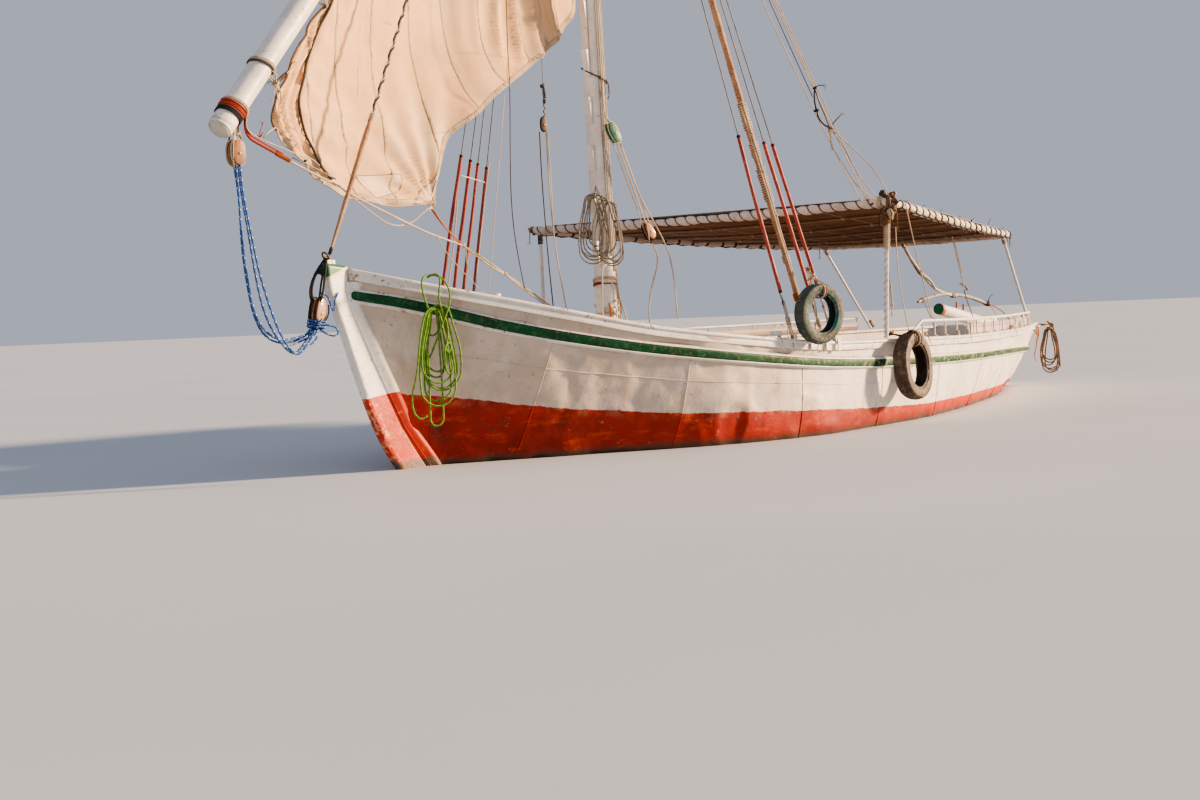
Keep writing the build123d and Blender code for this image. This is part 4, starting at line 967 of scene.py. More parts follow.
# bottom strip between the two sides' keel edges
p1, _ = hull_pts(hx, [0.0, 0.02], 1)
p2, _ = hull_pts(hx, [0.0, 0.02], -1)
G.grid(np.stack([p1[:, 0], p2[:, 0]], 1), 0, flip=True, pl=np.full((len(hx), 2), -0.5))


def transom_x(z):
    return -6.25 + 0.14 - (z - 0.04) * RAKE


def transom_patch(z0, z1, y_in, n_z, n_y, side=0):
    """side 0 spans the whole width; otherwise from y_in out to the hull's edge on that side."""
    zs = np.linspace(z0, z1, n_z)
    yo = np.array([hull_y(-6.25, z) for z in zs])
    w = np.linspace(-1, 1, n_y) if side == 0 else np.linspace(0, 1, n_y)
    y = yo[:, None] * w[None, :] if side == 0 else side * (y_in + (yo[:, None] - y_in) * w[None, :])
    z = np.broadcast_to(zs[:, None], y.shape)
    x = transom_x(z)
    q = np.stack([x, y, z], -1)
    d = 0.004 * fbm(q, 2.2, 77, 3) * (1 - np.abs(w[None, :]) ** 6)
    out = q + np.array([-1.0, 0, -RAKE]) * d[..., None]
    inn = q + np.array([0.060, 0, 0])
    flip = side >= 0
    G.grid(out, 0, flip=flip, pl=out[..., 2] - 0.12)
    G.grid(inn, 1, flip=not flip, pl=np.full(inn.shape[:2], 0.5))
    for e0, e1, f in ((out[-1], inn[-1], flip), (out[0], inn[0], not flip)):
        G.grid(np.stack([e0, e1], 1), 0, flip=not f, pl=np.full((len(e0), 2), 0.5))
    if side:
        G.grid(np.stack([out[:, 0], inn[:, 0]], 1), 0, flip=side > 0, pl=np.full((n_z, 2), 0.5))


transom_patch(0.04, 0.69, 0, 16, 26)
for side in (1, -1):
    transom_patch(0.69, 0.83, 0.27, 5, 10, side)
hull = G.build("hull_plating", [M_HULL, M_BULK], "hull", "hull_paint", ["hull_shell"])
hull.data.polygons.foreach_set("use_smooth", np.ones(len(hull.data.polygons), bool))

# weld seams between the plates: low uneven beads over the surface
G = Geo()
rng = np.random.default_rng(3)
for side in (1, -1):
    for x in PLATE_X[1:-1]:
        ztop = float(np.interp(x, ST[::-1, 0], STRAKE_Z[::-1] - STRAKE_H[::-1])) - 0.01
        lean = -0.06 if x > 3 else 0.02
        pts, nrm = hull_line([(x, ztop), (x + lean, -0.15)], side, 0.0005, 60)
        r = 0.0055 + 0.0018 * vnoise(pts, 45, 3)
        G.tube(pts, r, 6, 0, lobes=0, flat=1.0)
    for frac, x0, x1 in ((0.50, 5.9, -5.9),):
        xs = np.linspace(x0, x1, 200)
        zt = np.interp(xs, ST[::-1, 0], STRAKE_Z[::-1])
        zl = pchip(PLX, PLZ, xs)
        zz = zl + (zt - zl) * frac
        pts, nrm = hull_line(np.stack([xs, zz], 1), side, 0.0005, 240)
        G.tube(pts, 0.005 + 0.0015 * vnoise(pts, 40, 5), 6, 0)
G.at = {"pl": []}
tot = G.n
vv = np.concatenate(G.v)
G.at["pl"] = [(0, vv[:, 2] - pchip(PLX, PLZ, vv[:, 0]))]
G.build("hull_welds", [M_HULL], "hull", "hull_paint")


# rail cap, fillet and strake, swept along the sheer
def round_profile(y0, y1, z0, z1, r_in, r_out, n=6):
    pts = []
    for cy, cz, r, a0 in ((y1 - r_out, z0 + r_out, r_out, -90), (y1 - r_out, z1 - r_out, r_out, 0), (y0 + r_in, z1 - r_in, r_in, 90), (y0 + r_in, z0 + r_in, r_in, 180)):
        for k in range(n + 1):
            a = math.radians(a0 + 90 * k / n)
            pts.append((cy + r * math.cos(a), cz + r * math.sin(a)))
    return np.array(pts)


def rail_sweep(G, xs, base, prof, side, mi=0, caps=True):
    """base is (n, 3): x, y, z along the hull; prof (k, 2) or (n, k, 2) offsets in y and z."""
    prof = np.asarray(prof)
    if prof.ndim == 2:
        prof = np.broadcast_to(prof, (len(xs), *prof.shape))
    p = np.empty((len(xs), prof.shape[1], 3))
    p[..., 0] = base[:, None, 0]
    p[..., 1] = side * (base[:, None, 1] + prof[..., 0])
    p[..., 2] = base[:, None, 2] + prof[..., 1]
    G.grid(p, mi, flip=side > 0, wrap_u=True)
    if caps:
        k = prof.shape[1]
        f = tuple(range(k))
        G.add(p[0], [f if side > 0 else f[::-1]], None, mi)
        G.add(p[-1], [f[::-1] if side > 0 else f], None, mi)


rx = np.concatenate([np.linspace(6.69, 4.0, 76), np.linspace(4.0, -6.25, 92)[1:]])
base = sheer(rx)
G = Geo()
prof = round_profile(-0.062, 0.028, 0.0, 0.035, 0.009, 0.0165)
prof = np.broadcast_to(prof, (len(rx), *prof.shape)).copy()
prof[..., 0] = np.maximum(prof[..., 0], (0.005 - base[:, 1])[:, None])
for side in (1, -1):
    b2 = base.copy()
    q = np.stack([rx, np.full_like(rx, side * 2.0), base[:, 2]], 1)
    b2[:, 2] += 0.0016 * vnoise(q, 1.7, 41) + 0.0009 * vnoise(q, 6, 43)
    b2[:, 1] += (0.003 * vnoise(q, 1.3, 44) + 0.0012 * vnoise(q, 7, 45)) * smooth01((6.6 - rx) / 0.4)
    rail_sweep(G, rx, b2, prof, side)
    # lip that hangs below the cap's outer edge
    rail_sweep(G, rx, b2, round_profile(0.001, 0.010, -0.052, 0.004, 0.003, 0.004, 3), side)
    # white fillets above and below the strake
    zt = pchip(ST[::-1, 0], STRAKE_Z[::-1], rx)
    zb = zt - pchip(ST[::-1, 0], STRAKE_H[::-1], rx)
    for zz, d0, d1 in ((zt, 0.0, 0.024), (zb, -0.020, 0.0)):
        yy = np.array([hull_y(x, z) for x, z in zip(rx, zz)])
        bb = np.stack([rx + np.clip((-5.4 - rx) / 0.85, 0, 1) * (0.14 - (zz - 0.04) * RAKE), yy, zz], 1)
        if d1 > 0:
            pr = np.array([(-0.006, -0.004), (0.034, -0.004), (0.024, 0.008), (0.010, 0.016), (-0.004, 0.026)])
        else:
            pr = np.array([(-0.008, -0.020), (0.008, -0.014), (0.026, -0.006), (0.034, 0.004), (-0.006, 0.004)])
        rail_sweep(G, rx, bb, pr, side)
# caps on the transom's quarters
tx = transom_x(0.83)
for s in (1, -1):
    y0, y1 = sorted((s * 0.282, s * 0.700))
    q = round_profile(y0, y1, 0.8305, 0.865, 0.008, 0.008, 3)
    pts = np.stack([np.stack([np.full(len(q), x), q[:, 0], q[:, 1]], 1) for x in (tx - 0.02, tx + 0.062)])
    G.grid(pts, 0, wrap_u=True)
    G.add(pts[0], [tuple(range(len(q)))], None, 0)
    G.add(pts[1], [tuple(reversed(range(len(q))))], None, 0)
G.build("rail_cap", [M_RAIL], "hull", "hull_paint", ["gunwale_rail"], recalc=True)

G = Geo()
for side in (1, -1):
    x2 = np.concatenate([[6.6895, 6.686, 6.680, 6.670], rx[1:]])
    x2 = np.unique(x2)[::-1]
    zt = pchip(ST[::-1, 0], STRAKE_Z[::-1], x2)
    zb = zt - pchip(ST[::-1, 0], STRAKE_H[::-1], x2)
    pr = np.empty((len(x2), 14, 2))
    yt = np.array([hull_y(x, z) for x, z in zip(x2, zt)])
    yb = np.array([hull_y(x, z) for x, z in zip(x2, zb)])
    q = np.stack([x2, np.full_like(x2, side * 2.0), zt], 1)
    out = 0.036 + 0.0015 * vnoise(q, 3, 51) + 0.001 * vnoise(q, 11, 52)
    end = np.sqrt(np.clip(1 - np.clip((x2 - 6.650) / 0.040, 0, 1) ** 2, 0, 1))
    for k, (f, o) in enumerate([(0.0, -0.004), (0.0, 0.45), (0.04, 0.75), (0.12, 0.94), (0.25, 1.0), (0.5, 1.02), (0.75, 1.0), (0.88, 0.94), (0.96, 0.75), (1.0, 0.45), (1.0, -0.004), (0.75, -0.006), (0.5, -0.006), (0.25, -0.006)]):
        ff = 0.5 + (f - 0.5) * end
        pr[:, k, 0] = yb + (yt - yb) * ff + (out * max(o, 0) * end if o > 0 else o)
        pr[:, k, 1] = zb + (zt - zb) * ff
    xx = x2[:, None] + np.clip((-5.4 - x2) / 0.85, 0, 1)[:, None] * (0.14 - (pr[..., 1] - 0.04) * RAKE)
    P = np.stack([xx, side * pr[..., 0], pr[..., 1]], -1)
    G.grid(P, 0, flip=side > 0, wrap_u=True)
    G.add(P[-1], [tuple(range(14))[::-1] if side > 0 else tuple(range(14))], None, 0)
G.build("green_strake", [M_GREEN], "hull", "green_paint", ["rub_strake"], recalc=True)

# stem plate with worn edges
STEM_F = [(6.923, 1.666), (6.892, 1.467), (6.825, 1.315), (6.672, 0.928), (6.531, 0.588), (6.379, 0.285), (6.185, 0.017), (5.990, -0.175), (5.700, -0.360), (5.200, -0.520)]
STEM_R = [(5.200, -0.410), (5.700, -0.150), (6.130, 0.346), (6.450, 0.890), (6.690, 1.335), (6.690, 1.640)]


def dense(poly, n, smooth=True):
    poly = np.asarray(poly, float)
    t = np.concatenate([[0], np.cumsum(np.linalg.norm(np.diff(poly, axis=0), axis=1))])
    tt = np.linspace(0, t[-1], n)
    return np.stack([pchip(t, poly[:, 0], tt), pchip(t, poly[:, 1], tt)], 1)


fr, re = dense(STEM_F, 90), dense(STEM_R[::-1][1:], 84)
re = np.concatenate([[[6.690, 1.640]], np.linspace((6.690, 1.60), (6.690, 1.335), 6)[:-1], re])
re = dense(re, 90)
G = Geo()
NW = 14
w = np.linspace(0, 1, NW)
rows = fr[:, None, :] * (1 - w)[None, :, None] + re[:, None, :] * w[None, :, None]
ed = np.clip(np.minimum(w, 1 - w) * np.linalg.norm(fr - re, axis=1)[:, None] / 0.010, 0, 1)
for side in (1, -1):
    yy = 0.031 + 0.009 * np.sqrt(1 - (1 - ed) ** 2)
    P = np.stack([rows[..., 0], side * yy, rows[..., 1]], -1)
    P[..., 1] += side * 0.0010 * vnoise(P, 6, 61)
    G.grid(P, 0, flip=side < 0)
nf = 7
tt = np.linspace(-1, 1, nf)
for line, sgn in ((fr, 1), (re, -1)):
    P = np.stack([np.broadcast_to(line[:, None, 0], (len(line), nf)), np.broadcast_to(0.031 * tt[None, :], (len(line), nf)), np.broadcast_to(line[:, None, 1], (len(line), nf))], -1).copy()
    G.grid(P, 0, flip=sgn > 0)
for row in (0, -1):
    P = np.stack([np.stack([rows[row, :, 0], s * (0.031 + 0.009 * np.sqrt(1 - (1 - ed[row]) ** 2)), rows[row, :, 1]], 1) for s in (-1, 1)], 0)
    G.grid(P, 0, flip=row == 0)
G.build("stem_plate", [M_STEM], "hull", "stem_paint", ["stem_bar"], weld=0.0006, recalc=True)

# bevelled strip where the plating is faired into the stem
G = Geo()
zz = np.linspace(-0.12, 1.52, 110)
rxs = np.interp(zz, np.array(STEM_R)[:, 1], np.array(STEM_R)[:, 0])
for side in (1, -1):
    A, B, C = [], [], []
    for z, x in zip(zz, rxs):
        xb = x - 0.085
        A.append((x + 0.030, side * 0.0392, z))
        B.append((x + 0.004, side * 0.0520, z))
        C.append((xb, side * (hull_y(xb, z) + 0.0035), z))
    A, B, C = np.array(A), np.array(B), np.array(C)
    mid = (B + C) / 2
    mid[:, 1] += side * 0.004
    P = np.stack([A, B, mid, C, C + np.array([0, -side * 0.012, 0])], 1)
    G.grid(P, 0, flip=side < 0)
    G.tube(B + np.array([0.0, side * 0.001, 0]), 0.0035 + 0.001 * vnoise(B, 50, 7), 6, 0)
M_FLANGE = stem_material()
M_FLANGE.name = "stem_flange_paint"
G.build("stem_flange", [M_FLANGE], "hull", "stem_paint")


# =================================================================== free ropes
def rope_piece(name, routes, mats, body, d, sides=8, lobes=0, per=8, depth=0.10, slot=None, replaces=(), loops=0):
    """One mesh of one or more ropes through NURBS routes; gives back the object and the lines read from the splines."""
    G = Geo()
    lines = []
    for k, r in enumerate(routes):
        line = nurbs(r, per)
        lines.append(line)
        G.tube(line, d / 2, sides, k % max(1, len(mats)), d=d, lobes=lobes, depth=depth, full=True)
    ob = G.build(name, mats, body, slot, replaces)
    return ob, lines


M_BRAID = None


def braid_material(name, base, fleck, dark, cover=0.42):
    """Braided rope: a base colour with short tracer flecks in rows, in UVs counted in diameters."""
    M = Mat(name)
    u, v, _ = M.xyz(M.uv)
    a = M.math("ADD", M.math("MULTIPLY", u, 4.0), M.math("MULTIPLY", v, 1.0))
    b = M.math("SUBTRACT", M.math("MULTIPLY", u, 4.0), M.math("MULTIPLY", v, 1.0))
    fa, fb = M.math("FRACT", a), M.math("FRACT", b)
    ia, ib = M.math("FLOOR", a), M.math("FLOOR", b)
    chk = M.math("FRACT", M.math("MULTIPLY", M.math("ADD", ia, M.math("MULTIPLY", ib, 1.0)), 0.5))
    tri = M.math("MULTIPLY", M.math("SUBTRACT", 1.0, M.math("ABSOLUTE", M.math("MULTIPLY_ADD", fa, 2.0, -1.0))), M.math("SUBTRACT", 1.0, M.math("ABSOLUTE", M.math("MULTIPLY_ADD", fb, 2.0, -1.0))))
    pick = M.math("FRACT", M.math("MULTIPLY", ia, 0.25))
    on = M.math("MULTIPLY", M.step(chk, 0.2, 0.3), M.step(pick, 0.55 if cover < 0.5 else 0.2, 0.6 if cover < 0.5 else 0.3))
    c = M.mix(M.step(M.noise(6, 4, 0.6), 0.3, 0.7), base, tuple(x * 0.72 for x in base))
    c = M.mix(M.math("MULTIPLY", on, 0.9), c, fleck)
    # painted shade: each pick is darkened towards its edges, towards the dark colour, standing in for the shade in the
    # gaps between picks
    c = M.mix(M.math("SUBTRACT", 1.0, M.step(tri, 0.0, 0.16)), c, dark)
    c = M.mix(M.math("MULTIPLY", M.step(M.noise(17, 4, 0.65), 0.52, 0.75), 0.35), c, (0.10, 0.09, 0.08))
    h = M.math("ADD", M.math("POWER", tri, 0.5), M.math("MULTIPLY", M.noise(200, 2, 0.5), 0.12))
    return M.set(color=c, rough=0.72, normal=M.bump(h, 0.0016, 0.9), spec=0.3)


M_BLUEROPE = braid_material("rope_blue_braid", (0.055, 0.165, 0.46), (0.74, 0.80, 0.86), (0.012, 0.03, 0.09), 0.42)
M_SPECKLE = braid_material("rope_speckled_braid", (0.52, 0.46, 0.36), (0.10, 0.085, 0.07), (0.07, 0.055, 0.04), 0.6)
M_GREENROPE = braid_material("rope_green_braid", (0.105, 0.33, 0.035), (0.44, 0.50, 0.06), (0.012, 0.05, 0.01), 0.6)

# four parts of the slack tackle between the yard's heel and the stem
TACKLE = [
    [(7.552, -0.250, 2.402), (7.536, -0.240, 2.240), (7.540, -0.226, 2.080), (7.556, -0.210, 1.920), (7.566, -0.194, 1.760), (7.564, -0.176, 1.600), (7.556, -0.158, 1.440), (7.538, -0.140, 1.290), (7.490, -0.121, 1.160), (7.410, -0.104, 1.092), (7.318, -0.090, 1.066), (7.227, -0.076, 1.073), (7.150, -0.062, 1.092), (7.092, -0.052, 1.118), (7.050, -0.048, 1.160)],
    [(7.568, -0.215, 2.402), (7.566, -0.203, 2.240), (7.574, -0.190, 2.080), (7.588, -0.176, 1.920), (7.590, -0.160, 1.760), (7.584, -0.144, 1.600), (7.576, -0.128, 1.440), (7.556, -0.110, 1.300), (7.505, -0.092, 1.190), (7.440, -0.074, 1.125), (7.360, -0.056, 1.092), (7.270, -0.040, 1.094), (7.180, -0.028, 1.110), (7.100, -0.020, 1.128), (7.050, -0.018, 1.160)],
    [(7.578, -0.180, 2.402), (7.580, -0.166, 2.240), (7.572, -0.148, 2.080), (7.558, -0.132, 1.917), (7.546, -0.120, 1.760), (7.530, -0.110, 1.600), (7.510, -0.098, 1.440), (7.482, -0.084, 1.300), (7.430, -0.066, 1.170), (7.355, -0.048, 1.062), (7.296, -0.034, 1.000), (7.240, -0.016, 0.980), (7.190, -0.004, 1.030), (7.140, 0.004, 1.090), (7.085, 0.010, 1.125), (7.048, 0.012, 1.160)],
    [(7.588, -0.150, 2.402), (7.594, -0.134, 2.240), (7.586, -0.114, 2.080), (7.568, -0.098, 1.917), (7.548, -0.084, 1.760), (7.524, -0.072, 1.600), (7.492, -0.054, 1.450), (7.452, -0.038, 1.300), (7.395, -0.020, 1.140), (7.330, 0.002, 1.025), (7.280, 0.020, 0.978), (7.232, 0.030, 0.985), (7.186, 0.038, 1.038), (7.135, 0.042, 1.092), (7.085, 0.044, 1.128), (7.050, 0.044, 1.160)],
]
for k, route in enumerate(TACKLE):
    ob, lines = rope_piece(f"heel_tackle_rope_{k + 1}", [route], [M_BLUEROPE], None, 0.018, 10, 4, 8, 0.06, "rope_blue", ["heel_tackle_ropes"])
    # made fast at the stem below and at the yard's heel above
    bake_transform(ob)


def local_frame(c, yaw):
    a = math.radians(yaw)
    return np.array(c, float), np.array([math.cos(a), math.sin(a), 0.0]), np.array([-math.sin(a), math.cos(a), 0.0])


def at_local(fr, u, z, t):
    c, ud, td = fr
    p = c + ud * u + td * t
    return (p[0], p[1], z)


def loop_points(left, right, top, bottom, t0, t1, rng, bulge=0.0, lean=0.0, rough=0.010, n_side=5):
    """One hanging turn, down the first side, round the bottom, up the other and over the top."""
    cu, hw, h = (left + right) / 2, (right - left) / 2, top - bottom
    cap = max(0.040, abs(hw) * 0.50)
    sg = 1 if hw > 0 else -1
    jt, jb = rng.normal(0, rough, 3), rng.normal(0, rough, 3)
    side = rng.normal(0, rough, 4)
    arc_t, arc_b = 0.045, min(abs(hw), h * 0.30)

    def half(f):
        # half width at a fraction f of the way down the side
        return cap + (abs(hw) - cap) * math.sin(min(1.0, f * 1.25) * math.pi / 2)

    pts = [(cu + sg * cap * 0.62, top - 0.012, t0), (cu + sg * cap, top - 0.045, t0)]
    z0, z1 = top - 0.10, bottom + arc_b
    fs = np.linspace(0.12, 1, n_side)
    for k, f in enumerate(fs):
        pts.append((cu + sg * half(f) + side[0] * math.sin(f * 3) + side[1] * f + bulge * math.sin(f * math.pi), z0 + (z1 - z0) * f, t0 + jb[2] * 0.5 * math.sin(f * 3)))
    for a in (25, 60, 90, 120, 155):
        ar = math.radians(a)
        pts.append((cu + sg * abs(hw) * math.cos(ar) + jb[0] * math.sin(ar) + side[1] * (1 - a / 90) * (a < 90), z1 - arc_b * math.sin(ar), t0 + (t1 - t0) * a / 180))
    for k, f in enumerate(fs[::-1]):
        pts.append((cu - sg * half(f) + side[2] * math.sin(f * 3) + side[3] * f * 0.4 + lean * math.sin(f * math.pi), z0 + (z1 - z0) * f, t1 + jt[2] * 0.5 * math.sin(f * 3)))
    pts += [(cu - sg * cap, top - 0.045, t1), (cu - sg * cap * 0.62, top - 0.012, t1), (cu, top + jt[1] * 0.4, t1)]
    return pts


# green rope over the port bow rail; it is followed from its loose end, round the turns and up to the knot on the rail
fr = local_frame((6.306, 0.567, 0.955), -33)
rng = np.random.default_rng(12)
o = -0.045
P = [(0.140, 0.451, 0.006), (0.173, 0.428, 0.008), (0.215, 0.437, 0.010), (0.249, 0.484, 0.012), (0.260, 0.557, 0.014), (0.254, 0.637, 0.016), (0.229, 0.716, 0.020),
     (0.205, 0.830, 0.026), (0.190, 0.960, 0.030), (0.170, 1.100, 0.034), (0.142, 1.215, 0.036), (0.108, 1.275, 0.034), (0.072, 1.292, 0.026)]
P = [(u_ + o, z_, t_) for u_, z_, t_ in P]
LOOPS = [
    # left and right edge, top, bottom (the local axis grows to the left as the camera sees it)
    (0.112, 0.020, 1.290, 0.368, 0.014, 0.006),
    (0.110, 0.000, 1.285, 1.075, -0.034, -0.028),
    (0.190, -0.090, 1.290, 0.520, 0.034, 0.026),
    (0.165, -0.075, 1.285, 0.700, 0.020, 0.028),
    (0.145, -0.055, 1.280, 0.560, 0.000, -0.012),
    (0.118, -0.030, 1.270, 0.745, -0.028, -0.020),
    (0.120, -0.050, 1.300, 0.790, -0.020, -0.012),
    (0.130, -0.115, 1.315, 0.655, -0.006, 0.010),
    (0.150, -0.158, 1.310, 0.640, 0.006, 0.018),
]
for L, R, T, B, t0, t1 in LOOPS:
    P += loop_points(L + o, R + o, T, B, t0, t1, rng, rough=0.007)
P = P[:-3] + [(u_ + o, z_, t_) for u_, z_, t_ in [(0.090, 1.275, 0.020), (0.118, 1.350, 0.018), (0.138, 1.430, 0.024), (0.143, 1.500, 0.022), (0.112, 1.545, 0.006), (0.075, 1.552, -0.026), (0.066, 1.535, -0.066)]]
P = [at_local(fr, *p) for p in P]
P = P[::-1]
ob, lines = rope_piece("green_rope", [P], [M_GREENROPE], "hull", 0.0155, 8, 0, 6, 0.0, "rope_green", ["green_rope_hank"])
# second strand from the knot on the rail, and the doubled bight with its turns
S3 = [(0.060, 1.548, -0.085), (0.010, 1.552, -0.045), (-0.031, 1.520, 0.012), (-0.070, 1.455, 0.026), (-0.084, 1.386, 0.030), (-0.066, 1.296, 0.040), (-0.027, 1.208, 0.042), (0.012, 1.119, 0.036), (0.046, 1.022, 0.010), (0.084, 0.925, -0.004), (0.125, 0.850, -0.010), (0.140, 0.770, -0.010), (0.118, 0.690, 0.000)]
S3 = [at_local(fr, u + o, z, t) for u, z, t in S3]
S4 = [(0.070, 1.530, -0.060), (0.030, 1.560, -0.030), (-0.005, 1.545, 0.004), (-0.010, 1.500, 0.026), (0.003, 1.440, 0.030), (0.010, 1.370, 0.030), (0.002, 1.300, 0.030), (-0.030, 1.225, 0.036), (-0.048, 1.140, 0.042), (-0.044, 1.050, 0.046), (-0.018, 0.985, 0.050),
      (-0.030, 0.945, 0.046), (-0.064, 0.955, 0.036), (-0.074, 0.995, 0.034), (-0.050, 1.022, 0.044), (-0.018, 1.000, 0.054), (-0.010, 0.950, 0.052), (-0.016, 0.880, 0.048), (-0.014, 0.820, 0.046), (-0.030, 0.776, 0.044), (-0.058, 0.772, 0.042), (-0.074, 0.808, 0.040), (-0.068, 0.870, 0.038), (-0.060, 0.930, 0.026)]
S4 = [at_local(fr, u + o, z, t) for u, z, t in S4]
ob2, lines2 = rope_piece("green_rope_strand_a", [S3], [M_GREENROPE], "hull", 0.0155, 8, 0, 6, 0.0, "rope_green")
ob3, lines3 = rope_piece("green_rope_strand_b", [S4], [M_GREENROPE], "hull", 0.0155, 8, 0, 6, 0.0, "rope_green")

# coil on the mast, of speckled rope, in two bunches
fr = local_frame((3.310, 0.105, 2.010), 125)
rng = np.random.default_rng(21)
o = 0.135
P = [(-0.165 + o, 2.395, -0.036), (-0.172 + o, 2.378, -0.004), (-0.170 + o, 2.350, 0.024)]
MAST_LOOPS = [
    (-0.330, -0.120, 2.290, 1.735, -0.014, -0.022), (-0.345, -0.075, 2.330, 1.672, 0.040, 0.030), (-0.325, -0.085, 2.320, 1.706, 0.020, 0.012), (-0.275, -0.115, 2.310, 1.790, -0.024, -0.032),
    (-0.245, -0.125, 2.300, 1.838, 0.010, 0.000), (-0.300, -0.055, 2.335, 1.742, 0.000, -0.012),
    (-0.215, 0.005, 2.290, 1.762, -0.036, -0.044), (-0.190, 0.040, 2.270, 1.712, 0.024, 0.034), (-0.155, 0.058, 2.250, 1.668, 0.008, 0.018),
    (-0.135, 0.075, 2.250, 1.645, -0.010, 0.000), (-0.090, 0.048, 2.230, 1.690, -0.026, -0.034),
]
for L, R, T, B, t0, t1 in MAST_LOOPS:
    P += loop_points(L + o, R + o, T, B, t0, t1, rng, rough=0.006)
P = P[:-3] + [(-0.088 + o, 2.215, -0.020), (-0.110 + o, 2.275, -0.010), (-0.140 + o, 2.335, 0.000), (-0.160 + o, 2.385, 0.004)]
P = [at_local(fr, *p) for p in P]
ob, lines = rope_piece("mast_coil", [P], [M_SPECKLE], "hull", 0.0140, 8, 0, 6, 0.0, "rope_cream", ["mast_rope_hank"])

# old mooring rope in a long hank at the port quarter
fr = local_frame((-6.455, 0.885, 0.480), -60)
rng = np.random.default_rng(33)
o = -0.065
P = [(0.175 + o, 0.815, -0.014), (0.150 + o, 0.822, 0.004), (0.120 + o, 0.805, 0.020)]
for L, R, T, B, t0, t1 in [(0.190, 0.000, 0.770, 0.255, 0.042, 0.036), (0.195, -0.055, 0.775, 0.205, 0.030, 0.020), (0.150, -0.030, 0.765, 0.290, -0.030, -0.036),
                          (0.170, -0.060, 0.770, 0.150, 0.000, -0.010), (0.165, -0.064, 0.760, 0.330, -0.014, -0.020), (0.130, -0.040, 0.770, 0.180, 0.012, 0.004)]:
    P += loop_points(L + o, R + o, T, B, t0, t1, rng, rough=0.006)
P += [(0.004 + o, 0.742, 0.022), (-0.026 + o, 0.670, 0.032), (-0.044 + o, 0.560, 0.034), (-0.056 + o, 0.440, 0.034), (-0.064 + o, 0.320, 0.030), (-0.070 + o, 0.230, 0.026)]
P = [at_local(fr, *p) for p in P]
ob, lines = rope_piece("stern_mooring_rope", [P], [M_BROWNROPE], "hull", 0.0190, 8, 3, 6, 0.10, "rope_cream", ["stern_rope_hank"])


# =================================================================== sail
LUFF = np.array([(7.138, 2.686), (7.135, 2.875), (6.980, 3.140), (6.900, 3.270), (6.557, 3.744), (6.100, 4.240), (5.260, 5.180), (4.360, 6.180), (3.660, 6.960)])
LEECH = np.array([(5.339, 2.174), (5.250, 2.400), (5.076, 2.724), (4.656, 3.041), (3.800, 3.531), (3.423, 3.774), (3.234, 3.946), (3.060, 4.120), (2.960, 4.500), (2.900, 5.200), (2.960, 6.200), (3.080, 6.960)])
FOOT = np.array([(5.339, 2.174), (5.403, 2.189), (5.600, 2.172), (5.786, 2.162), (6.100, 2.176), (6.437, 2.222), (6.654, 2.330), (6.860, 2.470), (7.138, 2.686)])
S_ROWS = np.array([(2190, 5330, 6150, 30), (2330, 5270, 6640, 60), (2700, 5080, 7090, 120), (3150, 4500, 6960, 190), (3550, 3790, 6690, 240), (3950, 3190, 6380, 260),
                   (4300, 2990, 6060, 260), (5200, 2900, 5260, 220), (6200, 2960, 4360, 140), (7000, 3080, 3640, 60)], float) / 1000


def arc_param(poly, n):
    t = np.concatenate([[0], np.cumsum(np.linalg.norm(np.diff(poly, axis=0), axis=1))])
    return np.stack([pchip(t, poly[:, 0], np.linspace(0, t[-1], n)), pchip(t, poly[:, 1], np.linspace(0, t[-1], n))], 1)


TIE_S = np.arange(1.55, 6.5, 0.56)      # where the head of the sail is tied to the yard


def luff_scallop(x, z):
    s = (x - HEEL[0]) / YDIR[0]
    near = np.exp(-((np.interp(z, S_ROWS[:, 0], S_ROWS[:, 2]) - x) / 0.22) ** 2)
    return near * np.sin(np.pi * np.clip((s - 1.55) / 0.56, 0, 9)) ** 2


def foot_z(x):
    return np.interp(x, FOOT[:, 0], FOOT[:, 1])


